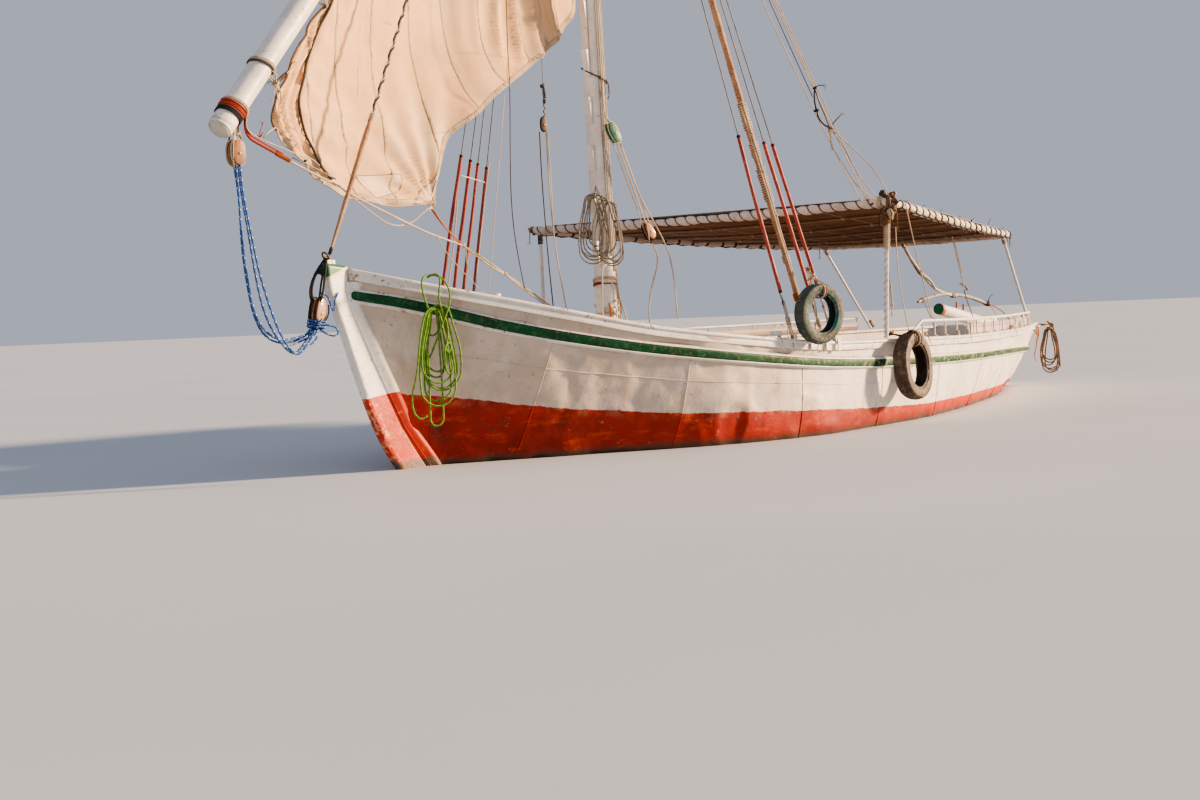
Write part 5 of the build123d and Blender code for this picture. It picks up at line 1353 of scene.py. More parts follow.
def sail_y(x, z):
    """The cloth's place across the boat, at x along it and z up."""
    x, z = np.asarray(x, float), np.asarray(z, float)
    zz = np.clip(z, 2.19, 7.0)
    xl, xr, d = (np.interp(zz, S_ROWS[:, 0], S_ROWS[:, k]) for k in (1, 2, 3))
    u = np.clip((x - xl) / np.maximum(xr - xl, 0.05), 0, 1)
    y = YARD_Y - 0.022 - d * np.sin(np.pi * u) * (0.92 + 0.10 * np.sin(2.1 * z + 0.7 * x))
    p = np.stack([x, np.zeros_like(x), z], -1)
    low = vnoise(p, 0.9, 101)
    # folds that hang like smiles above the foot
    h = z - foot_z(x) - 0.10 * (x - 6.2) ** 2 * 0.35
    ph = h / 0.235 + 0.35 * low + 0.10 * np.sin(3 * x)
    env = np.exp(-np.clip(h, 0, 9) / 0.85) * smooth01((x - 4.9) / 0.8) * smooth01((7.0 - x) / 0.5)
    y += 0.030 * env * (1 - 2 * np.abs(np.sin(np.pi * ph)) ** 0.8) * (0.55 + 0.45 * low)
    # pull from the clew
    dx, dz = x - 5.339, z - 2.174
    r, th = np.hypot(dx, dz) + 1e-6, np.arctan2(dz, dx)
    y += 0.020 * np.exp(-((r - 0.45) / 0.75) ** 2) * np.sin(15 * th + 1.2 * low) * smooth01(r / 0.25)
    y += 0.030 * smooth01((r - 0.4) / 1.2) * np.exp(-((th - 2.05) / 0.22) ** 2) * np.sin(5 * r + 2)
    # slack along the leech, drawn up and forward to the mast
    e = (x - xl) * 0.80
    y += 0.050 * np.exp(-(e / 0.22) ** 2) * np.sin(4.2 * z + 2.0 * low) * smooth01((z - 2.5) / 0.5) * smooth01((7.0 - z) / 1.0)
    # long upright folds by the mast
    m = np.exp(-((x - 3.85) / 0.55) ** 2) * smooth01((z - 3.45) / 0.25) * smooth01((6.6 - z) / 1.5)
    q = x + 0.11 * (z - 4) + 0.05 * low
    y += 0.040 * m * (1 - 2 * np.abs(np.sin(np.pi * q / 0.26)) ** 0.7)
    # bunched cloth forward of the dark rope, at the tack
    line = np.interp(z, [2.35, 2.56, 2.90, 3.20, 3.60], [6.60, 6.76, 6.86, 6.74, 6.56])
    b = smooth01((x - line + 0.05) / 0.10) * smooth01((3.75 - z) / 0.3)
    q2 = (x - line) + 0.06 * np.sin(6 * z)
    y += b * (0.028 * (1 - 2 * np.abs(np.sin(np.pi * q2 / 0.105)) ** 0.75) - 0.012)
    # scallops between the ties
    y += 0.035 * luff_scallop(x, z)
    sc = (x - HEEL[0]) / YDIR[0]
    nearl = np.exp(-((xr - x) / 0.55) ** 2) * smooth01((z - 3.6) / 0.3)
    y += 0.020 * nearl * np.sin(2 * np.pi * (sc - 1.55) / 0.56 + 0.8 * low)
    # crumples
    y += 0.0075 * vnoise(p, 3.1, 102) + 0.0038 * vnoise(p, 8.5, 103) + 0.0016 * vnoise(p, 21, 104)
    # long shallow swell
    y += 0.028 * vnoise(p, 0.62, 105)
    return y


NU, NV = 104, 132
F, T = arc_param(FOOT, NU), np.stack([np.linspace(3.08, 3.66, NU), np.full(NU, 6.96)], 1)
L, R = arc_param(LEECH, NV), arc_param(LUFF, NV)
# rows that are level with each other: the two edges are matched by a warped height
wz = np.linspace(0, 1, NV) ** 1.12
tl = np.concatenate([[0], np.cumsum(np.linalg.norm(np.diff(L, axis=0), axis=1))])
tr = np.concatenate([[0], np.cumsum(np.linalg.norm(np.diff(R, axis=0), axis=1))])
L = np.stack([np.interp(wz * tl[-1], tl, L[:, k]) for k in (0, 1)], 1)
R = np.stack([np.interp(wz * tr[-1], tr, R[:, k]) for k in (0, 1)], 1)
u = np.linspace(0, 1, NU)[None, :, None]
v = np.linspace(0, 1, NV)[:, None, None] ** 1.12
XZ = (1 - v) * F[None] + v * T[None] + (1 - u) * L[:, None] + u * R[:, None] - ((1 - u) * (1 - v) * F[0] + u * (1 - v) * F[-1] + (1 - u) * v * T[0] + u * v * T[-1])
x, z = XZ[..., 0], XZ[..., 1]
sc = luff_scallop(x, z) * smooth01((z - 3.5) / 0.3) * 0.035
x, z = x + YNRM[0] * sc, z + YNRM[2] * sc
P = np.stack([x, sail_y(x, z), z], -1)
du, dv = np.gradient(P, axis=1), np.gradient(P, axis=0)
nrm = np.cross(dv, du)
nrm /= np.linalg.norm(nrm, axis=-1, keepdims=True)
nrm *= np.sign(nrm[..., 1:2])
TH = 0.0013
G = Geo()
uvg = np.stack([x, z], -1)
front, back = P + nrm * TH, P - nrm * TH
G.grid(front, 0, uv=uvg, flip=True)
G.grid(back, 0, uv=uvg)
for a, b, fl in ((front[0], back[0], True), (front[-1], back[-1], False), (front[:, 0], back[:, 0], False), (front[:, -1], back[:, -1], True)):
    G.grid(np.stack([a, b], 1), 0, flip=fl)


def sail_material(name="sail_canvas", patch=0.0):
    M = Mat(name)
    x, y, z = M.xyz()
    base = M.mix(M.step(M.noise(1.1, 5, 0.6), 0.32, 0.70), (0.79, 0.51, 0.275), (0.70, 0.42, 0.215))
    base = M.mix(M.math("MULTIPLY", M.step(M.noise(3.2, 5, 0.65), 0.46, 0.74), 0.55), base, (0.46, 0.31, 0.18))
    base = M.mix(M.math("MULTIPLY", M.step(M.noise(2.0, 4, 0.6, M.scale((2.0, 1, 0.35))), 0.54, 0.78), 0.5), base, (0.38, 0.24, 0.13))
    base = M.mix(M.math("MULTIPLY", M.step(M.noise(0.8, 3, 0.55), 0.52, 0.72), 0.55), base, (0.76, 0.62, 0.44))
    # brown runs high up by the mast, damp marks along the foot
    st = M.math("MULTIPLY", M.step(M.noise(6, 4, 0.65, M.scale((1.4, 1, 0.12))), 0.55, 0.70), M.step(x, 4.6, 3.7))
    base = M.mix(M.math("MULTIPLY", st, 0.7), base, (0.24, 0.12, 0.06))
    ft = M.math("MULTIPLY", M.step(z, 3.0, 2.25), M.step(M.noise(4, 5, 0.65), 0.40, 0.62))
    base = M.mix(M.math("MULTIPLY", ft, 0.45), base, (0.36, 0.25, 0.15))
    base = M.mix(M.math("MULTIPLY", M.step(M.noise(30, 4, 0.7), 0.62, 0.70), 0.35), base, (0.22, 0.14, 0.08))
    if patch:
        base = M.mix(patch, base, (0.76, 0.72, 0.64))
    # woven cloth
    wx = M.math("SINE", M.math("MULTIPLY", x, 2600.0))
    wz_ = M.math("SINE", M.math("MULTIPLY", z, 2600.0))
    weave = M.math("MULTIPLY", wx, wz_)
    slub = M.math("ADD", M.noise(160, 2, 0.6, M.scale((0.12, 1, 1))), M.noise(160, 2, 0.6, M.scale((1, 1, 0.12))))
    base = M.mix(M.math("MULTIPLY", M.step(slub, 0.85, 1.25), 0.22), base, (0.72, 0.60, 0.44))
    h = M.math("ADD", M.math("MULTIPLY", weave, 0.10), M.math("MULTIPLY", slub, 0.5))
    h = M.math("ADD", h, M.math("MULTIPLY", M.noise(24, 4, 0.6), 1.1))
    return M.set(color=base, rough=0.86, sheen=0.18, spec=0.22, normal=M.bump(h, 0.0018, 0.9))


M_SAIL = sail_material()
M_PATCH = sail_material("sail_patch", 0.42)
sail = G.build("sail_canvas", [M_SAIL], "yard", "canvas", ["sail"], weld=0.0)


def on_sail(pairs, step=0.02, off=0.0):
    pr = np.asarray(pairs, float)
    t = np.concatenate([[0], np.cumsum(np.linalg.norm(np.diff(pr, axis=0), axis=1))])
    n = max(3, int(t[-1] / step))
    tt = np.linspace(0, t[-1], n)
    if len(pr) > 2:
        xs, zs = pchip(t, pr[:, 0], tt), pchip(t, pr[:, 1], tt)
    else:
        xs, zs = np.interp(tt, t, pr[:, 0]), np.interp(tt, t, pr[:, 1])
    return np.stack([xs, sail_y(xs, zs) + off, zs], 1)


def stitch_material():
    M = Mat("sail_seam")
    u, v, _ = M.xyz(M.uv)
    c = M.mix(M.step(M.noise(3.2, 5, 0.65), 0.36, 0.70), (0.56, 0.44, 0.30), (0.40, 0.28, 0.17))
    row = M.math("MAXIMUM", M.step(M.math("ABSOLUTE", M.math("SUBTRACT", u, 0.13)), 0.025, 0.04, 1.0, 0.0), M.step(M.math("ABSOLUTE", M.math("SUBTRACT", u, 0.87)), 0.025, 0.04, 1.0, 0.0))
    dash = M.step(M.math("ABSOLUTE", M.math("SUBTRACT", M.math("FRACT", M.math("MULTIPLY", v, 70.0)), 0.5)), 0.30, 0.34, 1.0, 0.0)
    c = M.mix(M.math("MULTIPLY", row, 0.55), c, (0.26, 0.16, 0.09))
    c = M.mix(M.math("MULTIPLY", M.math("MULTIPLY", row, dash), 0.85), c, (0.09, 0.055, 0.035))
    c = M.mix(M.math("MULTIPLY", M.step(M.noise(14, 4, 0.6), 0.50, 0.66), 0.6), c, (0.17, 0.10, 0.06))
    h = M.math("SUBTRACT", M.math("MULTIPLY", M.noise(50, 3, 0.6), 0.5), M.math("MULTIPLY", row, 0.8))
    return M.set(color=c, rough=0.88, sheen=0.1, spec=0.2, normal=M.bump(h, 0.0018))


M_SEAM = stitch_material()
SEAMS = [
    [(6.256, 2.195), (6.312, 2.832), (6.354, 3.228), (6.357, 3.507), (6.360, 3.930)],
    [(5.770, 2.170), (5.800, 2.800), (5.840, 3.400), (5.850, 4.000), (5.850, 4.480)],
    [(5.200, 2.560), (5.259, 3.177), (5.294, 3.599), (5.309, 3.937), (5.330, 4.600), (5.345, 5.050)],
    [(4.700, 3.040), (4.761, 3.221), (4.808, 3.523), (4.822, 4.001), (4.840, 4.800), (4.850, 5.600)],
    [(4.215, 3.320), (4.315, 3.480), (4.335, 3.700), (4.345, 4.400), (4.350, 5.300), (4.355, 6.120)],
    [(3.800, 3.560), (3.830, 4.100), (3.850, 5.000), (3.860, 6.000), (3.865, 6.650)],
    [(3.320, 3.900), (3.345, 4.600), (3.370, 5.600), (3.390, 6.900)],
    [(6.650, 2.400), (6.700, 2.750), (6.730, 3.100), (6.700, 3.450)],
]
G = Geo()
for sm in SEAMS:
    for off_sign in (1, -1):
        c = on_sail(sm, 0.025)
        w = 0.014
        a, b = c.copy(), c.copy()
        a[:, 0] -= w
        b[:, 0] += w
        a[:, 1], b[:, 1] = sail_y(a[:, 0], a[:, 2]), sail_y(b[:, 0], b[:, 2])
        mid = (a + b) / 2
        mid[:, 1] = sail_y(mid[:, 0], mid[:, 2])
        o1, o2 = off_sign * 0.0012, off_sign * 0.0042
        rows = [a + [0, o1, 0], a * 0.9 + b * 0.1 + [0, o2, 0], mid + [0, o2 * 1.05, 0], a * 0.1 + b * 0.9 + [0, o2, 0], b + [0, o1, 0]]
        pts = np.stack(rows, 1)
        s = np.concatenate([[0], np.cumsum(np.linalg.norm(np.diff(c, axis=0), axis=1))])
        uvs = np.stack(np.broadcast_arrays(np.array([0, 0.1, 0.5, 0.9, 1.0])[None, :], s[:, None]), -1)
        G.grid(pts, 0, uv=uvs, flip=off_sign > 0)
seams = G.build("sail_seams", [M_SEAM], "yard", "canvas")

# ropes sewn along the edges, and hems
G = Geo()
foot_l, leech_l, luff_l = on_sail(FOOT, 0.02), on_sail(LEECH, 0.02), P[:, -1]
G.tube(foot_l, 0.0075, 8, 0, lobes=3, depth=0.12)
G.tube(leech_l, 0.0065, 8, 0, lobes=3, depth=0.12)
G.tube(resample(luff_l, 0.025), 0.0105, 8, 1, lobes=3, depth=0.14)
edge_rope = G.build("sail_edge_ropes", [M_CREAM, M_BROWNROPE], "yard", "rope_cream")
# hem bands either side along foot and leech
G = Geo()
for line, inward, wd in ((FOOT, (0, 1), 0.055), (LEECH, (1, 0.35), 0.050)):
    iw = np.array(inward, float)
    iw /= np.linalg.norm(iw)
    for sg in (1, -1):
        c = on_sail(line, 0.03)
        rows = []
        for k, f in enumerate((0.0, 0.5, 0.93, 1.0)):
            q = c.copy()
            q[:, 0] += iw[0] * wd * f
            q[:, 2] += iw[1] * wd * f
            q[:, 1] = sail_y(q[:, 0], q[:, 2]) + sg * (0.0036 if f < 0.99 else 0.0012)
            rows.append(q)
        pts = np.stack(rows, 1)
        s = np.concatenate([[0], np.cumsum(np.linalg.norm(np.diff(c, axis=0), axis=1))])
        uvs = np.stack(np.broadcast_arrays(np.array([0.5, 0.5, 0.87, 1.0])[None, :], s[:, None]), -1)
        G.grid(pts, 0, uv=uvs, flip=(sg > 0) != (inward[0] == 1))
hem = G.build("sail_hems", [M_SEAM], "yard", "canvas")

# patches: one whitish near the foot, one at the clew, small ones higher up
G = Geo()


def sail_patch(poly, n=14, both=True):
    poly = np.array(poly, float)
    a, b, c, d = poly
    s = np.linspace(0, 1, n)
    q = (1 - s)[:, None, None] * ((1 - s)[None, :, None] * a + s[None, :, None] * b) + s[:, None, None] * ((1 - s)[None, :, None] * d + s[None, :, None] * c)
    for sg in ((1, -1) if both else (1,)):
        edge = np.minimum(np.minimum(s, 1 - s)[:, None], np.minimum(s, 1 - s)[None, :])
        y = sail_y(q[..., 0], q[..., 1]) + sg * (0.0012 + 0.0026 * smooth01(edge / 0.05))
        G.grid(np.stack([q[..., 0], y, q[..., 1]], -1), 0, flip=sg > 0)
    for e0, e1 in ((a, b), (b, c), (c, d), (d, a)):
        G.tube(on_sail([e0, e1], 0.03, 0.003), 0.0022, 5, 1)


sail_patch([(5.671, 2.290), (6.020, 2.215), (6.215, 2.392), (5.662, 2.432)])
sail_patch([(5.360, 2.195), (5.560, 2.185), (5.430, 2.330), (5.285, 2.395)])
sail_patch([(4.050, 5.300), (4.260, 5.310), (4.255, 5.560), (4.045, 5.545)])
patch = G.build("sail_patches", [M_PATCH, M_DARKROPE], "yard", "canvas")
# darned tears and the row of stitches across the leech panels
G = Geo()
for ln in ([(4.737, 3.557), (4.327, 3.582), (4.095, 3.571), (3.700, 3.600)], [(5.317, 2.800), (4.900, 2.850), (4.760, 2.980)], [(6.080, 3.050), (6.060, 3.300)], [(5.560, 3.700), (5.700, 3.720)]):
    c = on_sail(ln, 0.006, 0.0030)
    for k in range(0, len(c) - 3, 4):
        G.tube(c[k:k + 3] + np.array([0, 0.0005, 0.003 * (-1) ** (k // 4)]), 0.0016, 5, 0)
darn = G.build("sail_darns", [M_DARKROPE], "yard", "canvas")
# the dark rope down the bunched cloth at the tack
DARK = [(6.500, 3.760), (6.640, 3.470), (6.760, 3.180), (6.850, 2.930), (6.790, 2.700), (6.740, 2.560), (6.640, 2.430), (6.546, 2.345)]
dk = nurbs(on_sail(DARK, 0.09, 0.016), 4)
G = Geo()
G.tube(resample(dk, 0.012), 0.011, 8, 0, lobes=3, depth=0.14)
dark = G.build("tack_rope", [M_DARKROPE], "yard", "rope_cream")


# ------------------------------------------------------------------- rolled upper part
FURL = np.array([(6.960, 0.040), (7.080, 0.084), (7.600, 0.116), (9.500, 0.100), (12.000, 0.074), (14.300, 0.048), (14.700, 0.020)])
FA, FB = yard_pt(6.900, 0.212), yard_pt(14.700, 0.098)
FD = (FB - FA) / np.linalg.norm(FB - FA)
FU = np.cross(FD, [0, 1.0, 0])
FU /= np.linalg.norm(FU)
FV = np.array([0, 1.0, 0])
FLEN = float(np.linalg.norm(FB - FA))
GASK = np.arange(7.30, 14.5, 0.62)


def furl_r(s, th):
    r = pchip(FURL[:, 0], FURL[:, 1], s)
    pinch = np.exp(-((s - GASK[np.argmin(np.abs(s[..., None] - GASK), -1)]) / 0.055) ** 2)
    return r * (1 - 0.16 * pinch), pinch


ns, nw = 190, 96
sv = np.linspace(6.965, 14.695, ns)
wv = np.linspace(0, 1, nw)
SS, WW = np.meshgrid(sv, wv, indexing="ij")
rr, pinch = furl_r(SS, None)
width = 2.30 - (2.30 - 0.30) * (SS - 6.965) / 7.73            # the cloth that is rolled in at each place
r_in = 0.30 * rr
turns = width / (math.pi * (rr + r_in))
th = 2 * math.pi * turns * WW + 0.55 * SS + 0.8
rad = r_in + (rr - r_in) * WW
lump = 1 + (0.07 * vnoise(np.stack([SS * 2.4, np.cos(th) * 1.2, np.sin(th) * 1.2], -1), 1.0, 201) + 0.05 * np.sin(3 * th + 4 * SS) * 0.6) * WW * (1 - 0.6 * pinch)
lump = lump + 0.022 * vnoise(np.stack([SS * 3.0, np.cos(th) * 5, np.sin(th) * 5], -1), 1.0, 203) * WW
rad = np.minimum(rad * lump, rr * 1.03)
t = (SS - 6.9) / 7.8
cen = FA[None, None] + (FB - FA)[None, None] * t[..., None]
sag = 0.0
pos = cen + rad[..., None] * (np.cos(th)[..., None] * FU + np.sin(th)[..., None] * FV)
G = Geo()
G.grid(pos, 0, uv=np.stack([SS, WW * 2], -1))
M_FURL = sail_material("sail_rolled")
furl = G.build("sail_rolled_part", [M_FURL], "yard", "canvas", ["sail_furled"])
q = pos


def hull_of_circles(c1, r1, c2, r2, n=40):
    """Closed line round two circles in a plane, as 2-D points."""
    a = np.linspace(0, 2 * math.pi, n * 6, endpoint=False)
    d = np.stack([np.cos(a), np.sin(a)], 1)
    s1, s2 = d @ np.asarray(c1) + r1, d @ np.asarray(c2) + r2
    pts = np.where((s1 > s2)[:, None], np.asarray(c1) + d * r1, np.asarray(c2) + d * r2)
    pts = np.concatenate([pts, pts[:1]])
    l = np.concatenate([[0], np.cumsum(np.linalg.norm(np.diff(pts, axis=0), axis=1))])
    at = np.linspace(0, l[-1], n + 1)[:-1]
    return np.stack([np.interp(at, l, pts[:, 0]), np.interp(at, l, pts[:, 1])], 1)


G = Geo()
rng = np.random.default_rng(5)
for k, s in enumerate(GASK):
    f = (s - 6.9) / 7.8
    off = 0.212 + (0.098 - 0.212) * f
    r2 = float(pchip(FURL[:, 0], FURL[:, 1], np.array([s]))[0]) * 0.90
    line = []
    for turn in range(2):
        h2 = hull_of_circles((0, 0), yard_r(s) + 0.006, (off, 0), r2, 36)
        for i, (a, b) in enumerate(h2):
            ss = s + (turn - 0.5) * 0.018 + 0.018 * i / 36 + 0.004 * rng.normal()
            p = yard_pt(ss, a)
            line.append((p[0], YARD_Y + b, p[2]))
    # start of the wrap is hidden under its last turn; the ends hang from a reef knot
    line = np.array(line)
    G.tube(line, 0.0062, 7, k % 2, lobes=3, depth=0.12)
    kn = line[0]
    th_ = np.linspace(0, 2 * math.pi, 22)
    loop = np.stack([kn[0] + 0.020 * np.cos(th_), np.full(22, kn[1]) + 0.012 + 0.006 * np.sin(2 * th_), kn[2] + 0.020 * np.sin(th_)], 1)
    G.tube(loop, 0.0062, 7, k % 2, lobes=3, depth=0.12)
    for sg in (1, -1):
        tail = nurbs([kn, kn + [sg * 0.02, 0.03, -0.01], kn + [sg * 0.035, 0.035, -0.06], kn + [sg * 0.03, 0.03, -0.13 - 0.03 * rng.random()]], 6)
        G.tube(tail, 0.0055, 7, k % 2, lobes=3, depth=0.12)
gask = G.build("sail_gaskets", [M_CREAM, M_BROWNROPE], "yard", "rope_cream")

# ties of the loosed part, each two turns round the yard and through the luff
G = Geo()
for k, s in enumerate(TIE_S):
    y0 = yard_pt(s)
    i = int(np.argmin(np.abs((luff_l[:, 0] - HEEL[0]) * YDIR[0] + (luff_l[:, 2] - HEEL[2]) * YDIR[2] - s)))
    lp = luff_l[i]
    off = float((lp - HEEL) @ YNRM)
    ds = float((lp - HEEL) @ YDIR) - s
    line = []
    for turn in range(2):
        h2 = hull_of_circles((0, 0), yard_r(s) + 0.006, (off, lp[1] - YARD_Y), 0.018, 30)
        for i2, (a, b) in enumerate(h2):
            w = max(0.0, min(1.0, a / max(off, 0.05)))
            ss = s + ds * w + (turn - 0.5) * 0.016 + 0.016 * i2 / 30 + 0.002 * rng.normal()
            p = yard_pt(ss, a)
            line.append((p[0], YARD_Y + b, p[2]))
    G.tube(np.array(line), 0.0058, 7, 0, lobes=3, depth=0.12)
G.build("sail_ties", [M_CREAM], "yard", "rope_cream")


# =================================================================== rigging helpers
def unit(v):
    v = np.asarray(v, float)
    return v / np.linalg.norm(v)


def at_len(line, s):
    line = np.asarray(line, float)
    q = np.concatenate([[0], np.cumsum(np.linalg.norm(np.diff(line, axis=0), axis=1))])
    return np.stack([np.interp(s, q, line[:, k]) for k in range(3)], -1)


def wind(line, r, pitch, s0, s1, per=9, phase=0.0, jit=0.0, seed=1):
    """Route of a cord wound round a line, from s0 to s1 along it."""
    n = max(6, int((s1 - s0) / pitch * per))
    s = np.linspace(s0, s1, n)
    base = at_len(line, s)
    t, nn, bb = frames(base)
    a = phase + 2 * math.pi * (s - s0) / pitch
    rad = (np.interp(s, *r) if isinstance(r, tuple) else r) * np.ones(n)
    if jit:
        rad = rad * (1 + jit * vnoise(np.stack([a * 0.7, s * 9, s * 0], 1), 1.0, seed))
    return base + rad[:, None] * (np.cos(a)[:, None] * nn + np.sin(a)[:, None] * bb)


def lay(G, pts, d, mi=0, laid=True, per=0, step=None, depth=0.14):
    line = nurbs(pts, per) if per else np.asarray(pts, float)
    line = resample(line, step or (0.75 * d if laid else 0.10))
    G.tube(line, d / 2, 9 if laid else 8, mi, d=d, lobes=3 if laid else 0, depth=depth)
    return line


def taut(G, a, b, d, mi=0, laid=True, sag=0.0, n=24):
    return lay(G, straight(a, b, n, sag), d, mi, laid)


def knot(G, c, size, d, mi=0, seed=1, squash=(1, 1, 1), n=11):
    """A tangle of turns round a point, as one rope."""
    rng = np.random.default_rng(seed)
    ax = [unit(rng.normal(size=3)) for _ in range(3)]
    pts = []
    for k in range(n):
        a = 2 * math.pi * k * 0.38
        p = math.cos(a) * ax[0] + math.sin(a) * ax[1] * 0.9 + ax[2] * (0.55 * math.sin(a * 0.5 + k)) + 0.12 * rng.normal(size=3)
        pts.append(np.asarray(c) + size * np.asarray(squash) * p)
    G.tube(resample(nurbs(pts, 6), 0.8 * d), d / 2, 8, mi, d=d, lobes=3, depth=0.12)


def tail(G, p, dirs, d, mi=0, seed=1, fray=True):
    """A loose end which follows the steps in dirs, with its strands opened."""
    pts = [np.asarray(p, float)]
    for q in dirs:
        pts.append(pts[-1] + np.asarray(q, float))
    line = lay(G, pts, d, mi, per=6)
    if fray:
        rng = np.random.default_rng(seed)
        e, v = line[-1], unit(line[-1] - line[-3])
        for k in range(5):
            w = unit(v + 0.45 * rng.normal(size=3))
            G.tube(nurbs([e - v * 0.004, e + v * 0.010 + w * 0.004, e + w * 0.030 + v * 0.008, e + w * 0.045 + [0, 0, -0.012]], 4), 0.0013, 5, mi)


def lathe(G, c, axis, prof, sides=24, mi=0, ref=(0, 0, 1), closed=False):
    """prof holds (radius, distance along the axis)."""
    ax = unit(axis)
    u = np.cross(ref, ax)
    if np.linalg.norm(u) < 1e-3:
        u = np.cross((1, 0, 0), ax)
    u = unit(u)
    v = np.cross(ax, u)
    a = np.arange(sides) / sides * 2 * math.pi
    pr = np.asarray(prof, float)
    pts = np.asarray(c)[None, None] + pr[:, 0][:, None, None] * (np.cos(a)[None, :, None] * u + np.sin(a)[None, :, None] * v) + pr[:, 1][:, None, None] * ax
    uv = np.stack(np.broadcast_arrays(np.linspace(0, 1, len(pr))[:, None], np.linspace(0, 1, sides)[None]), -1)
    G.grid(pts, mi, uv=uv, wrap_u=True)


def slab(G, c, up, ax, w, h, a0, a1, mi=0, n=28, e=2.5, edge=0.006, taper=0.0):
    """A rounded plate with its face in the plane across ax."""
    up, ax = unit(up), unit(ax)
    sd = np.cross(up, ax)
    a = np.arange(n) / n * 2 * math.pi
    ca, sa = np.cos(a), np.sin(a)
    x = np.sign(ca) * np.abs(ca) ** (2 / e)
    z = np.sign(sa) * np.abs(sa) ** (2 / e)
    x = x * (1 + taper * z)
    rows = []
    for t, k in ((a0, edge), (a0 + edge * 0.3, edge * 0.3), (a0 + edge, 0), (a1 - edge, 0), (a1 - edge * 0.3, edge * 0.3), (a1, edge)):
        rows.append(np.asarray(c) + (w / 2 - k) * x[:, None] * sd + (h / 2 - k) * z[:, None] * up + t * ax)
    pts = np.stack(rows, 0)
    m = len(rows)
    base = G.grid(pts, mi, wrap_u=True)
    G.f.append(tuple(base + i for i in range(n))[::-1])
    G.f.append(tuple(base + (m - 1) * n + i for i in range(n)))
    for _ in range(2):
        G.mi.append(mi)
        G.uv.extend([(0.0, 0.0)] * n)


def pulley(G, c, up, ax, w, h, t, sheaves=1, wood_mi=0, metal_mi=1, rope_mi=2, strop=0.016, green=None):
    """Wooden block: cheeks, sheaves on a pin, and a rope strop in the score round the edge."""
    up, ax = unit(up), unit(ax)
    up = unit(up - ax * float(up @ ax))
    sd = np.cross(up, ax)
    c = np.asarray(c, float)
    nc = sheaves + 1
    tc = t * 0.34 / nc * (2 if sheaves == 1 else 1.6)
    gap = (t - tc * nc) / sheaves
    for k in range(nc):
        a0 = -t / 2 + k * (tc + gap)
        slab(G, c, up, ax, w, h, a0, a0 + tc, wood_mi, taper=-0.10)
    for k in range(sheaves):
        m = -t / 2 + tc + gap / 2 + k * (tc + gap)
        rs, hw = w * 0.43, gap * 0.42
        lathe(G, c + up * (-h * 0.05), ax, [(0.006, m - hw), (rs * 0.8, m - hw), (rs, m - hw), (rs * 0.84, m - hw * 0.3), (rs * 0.84, m + hw * 0.3), (rs, m + hw), (rs * 0.8, m + hw), (0.006, m + hw)], 26, metal_mi, up)
    lathe(G, c + up * (-h * 0.05), ax, [(0.0, -t / 2 - 0.004), (0.011, -t / 2 - 0.004), (0.012, -t / 2), (0.012, t / 2), (0.011, t / 2 + 0.004), (0.0, t / 2 + 0.004)], 14, metal_mi, up)
    # chocks at the crown and the tail
    for s_ in (1, -1):
        slab(G, c + up * s_ * h * 0.40, up, ax, w * 0.55, h * 0.12, -t / 2 + tc * 0.5, t / 2 - tc * 0.5, wood_mi, n=16)
    if strop:
        for off in ((-0.30, 0.30) if t > 0.07 else (0.0,)):
            a = np.linspace(0, 2 * math.pi, 40)
            x = np.sign(np.cos(a)) * np.abs(np.cos(a)) ** 0.8
            z = np.sign(np.sin(a)) * np.abs(np.sin(a)) ** 0.8
            ring = c + (w / 2 + strop * 0.30) * x[:, None] * sd + (h / 2 + strop * 0.30) * z[:, None] * up + off * t * ax
            G.tube(resample(ring, strop * 0.7), strop / 2, 9, rope_mi, lobes=3, d=strop, depth=0.12)
    return c + up * (h / 2 + strop)


def on_mast(z, a, d, toward=(0.818, 0.573)):
    """A point on the mast's surface: a is the offset across, as the camera sees it."""
    r = mast_r(z)
    tx, ty = toward
    b = math.sqrt(max(0.0, (r + d / 2) ** 2 - a * a)) if abs(a) < r + d / 2 else 0.0
    return np.array([mast_x(z) - ty * a + tx * b, tx * a + ty * b, z])


def mast_ring(G, z, d, mi, turns=1.0, tilt=0.0, gap=0.001, seed=0, start=0.0, pitch=None):
    n = int(34 * turns)
    a = np.linspace(0, 2 * math.pi * turns, n) + start
    zz = z + (pitch or d * 1.02) * (a - start) / (2 * math.pi) + tilt * np.cos(a - 0.6)
    r = mast_r(z) + d / 2 + gap
    pts = np.stack([mast_x(zz) + r * np.cos(a), r * np.sin(a), zz], 1)
    return lay(G, pts, d, mi)


def rubber_hose(G, line, r0, mi, seed):
    line = resample(line, 0.012)
    s = np.concatenate([[0], np.cumsum(np.linalg.norm(np.diff(line, axis=0), axis=1))])
    rad = r0 * (1 + 0.07 * vnoise(np.stack([s * 7, s * 0, s * 0], 1), 1.0, seed) + 0.035 * vnoise(np.stack([s * 34, s * 0, s * 0], 1), 1.0, seed + 3))
    # pinched where a cord is tied on
    for q in (0.012, s[-1] - 0.012, s[-1] * 0.52):
        rad *= 1 - 0.16 * np.exp(-((s - q) / 0.010) ** 2)
    G.tube(line, rad, 14, mi, d=2 * r0)
    for q in (0.012, s[-1] - 0.014):
        if q > 0:
            G.tube(resample(wind(line, r0 * 0.95, 0.0042, max(0.001, q - 0.010), min(s[-1] - 0.001, q + 0.010), 10), 0.003), 0.0021, 6, mi + 1)


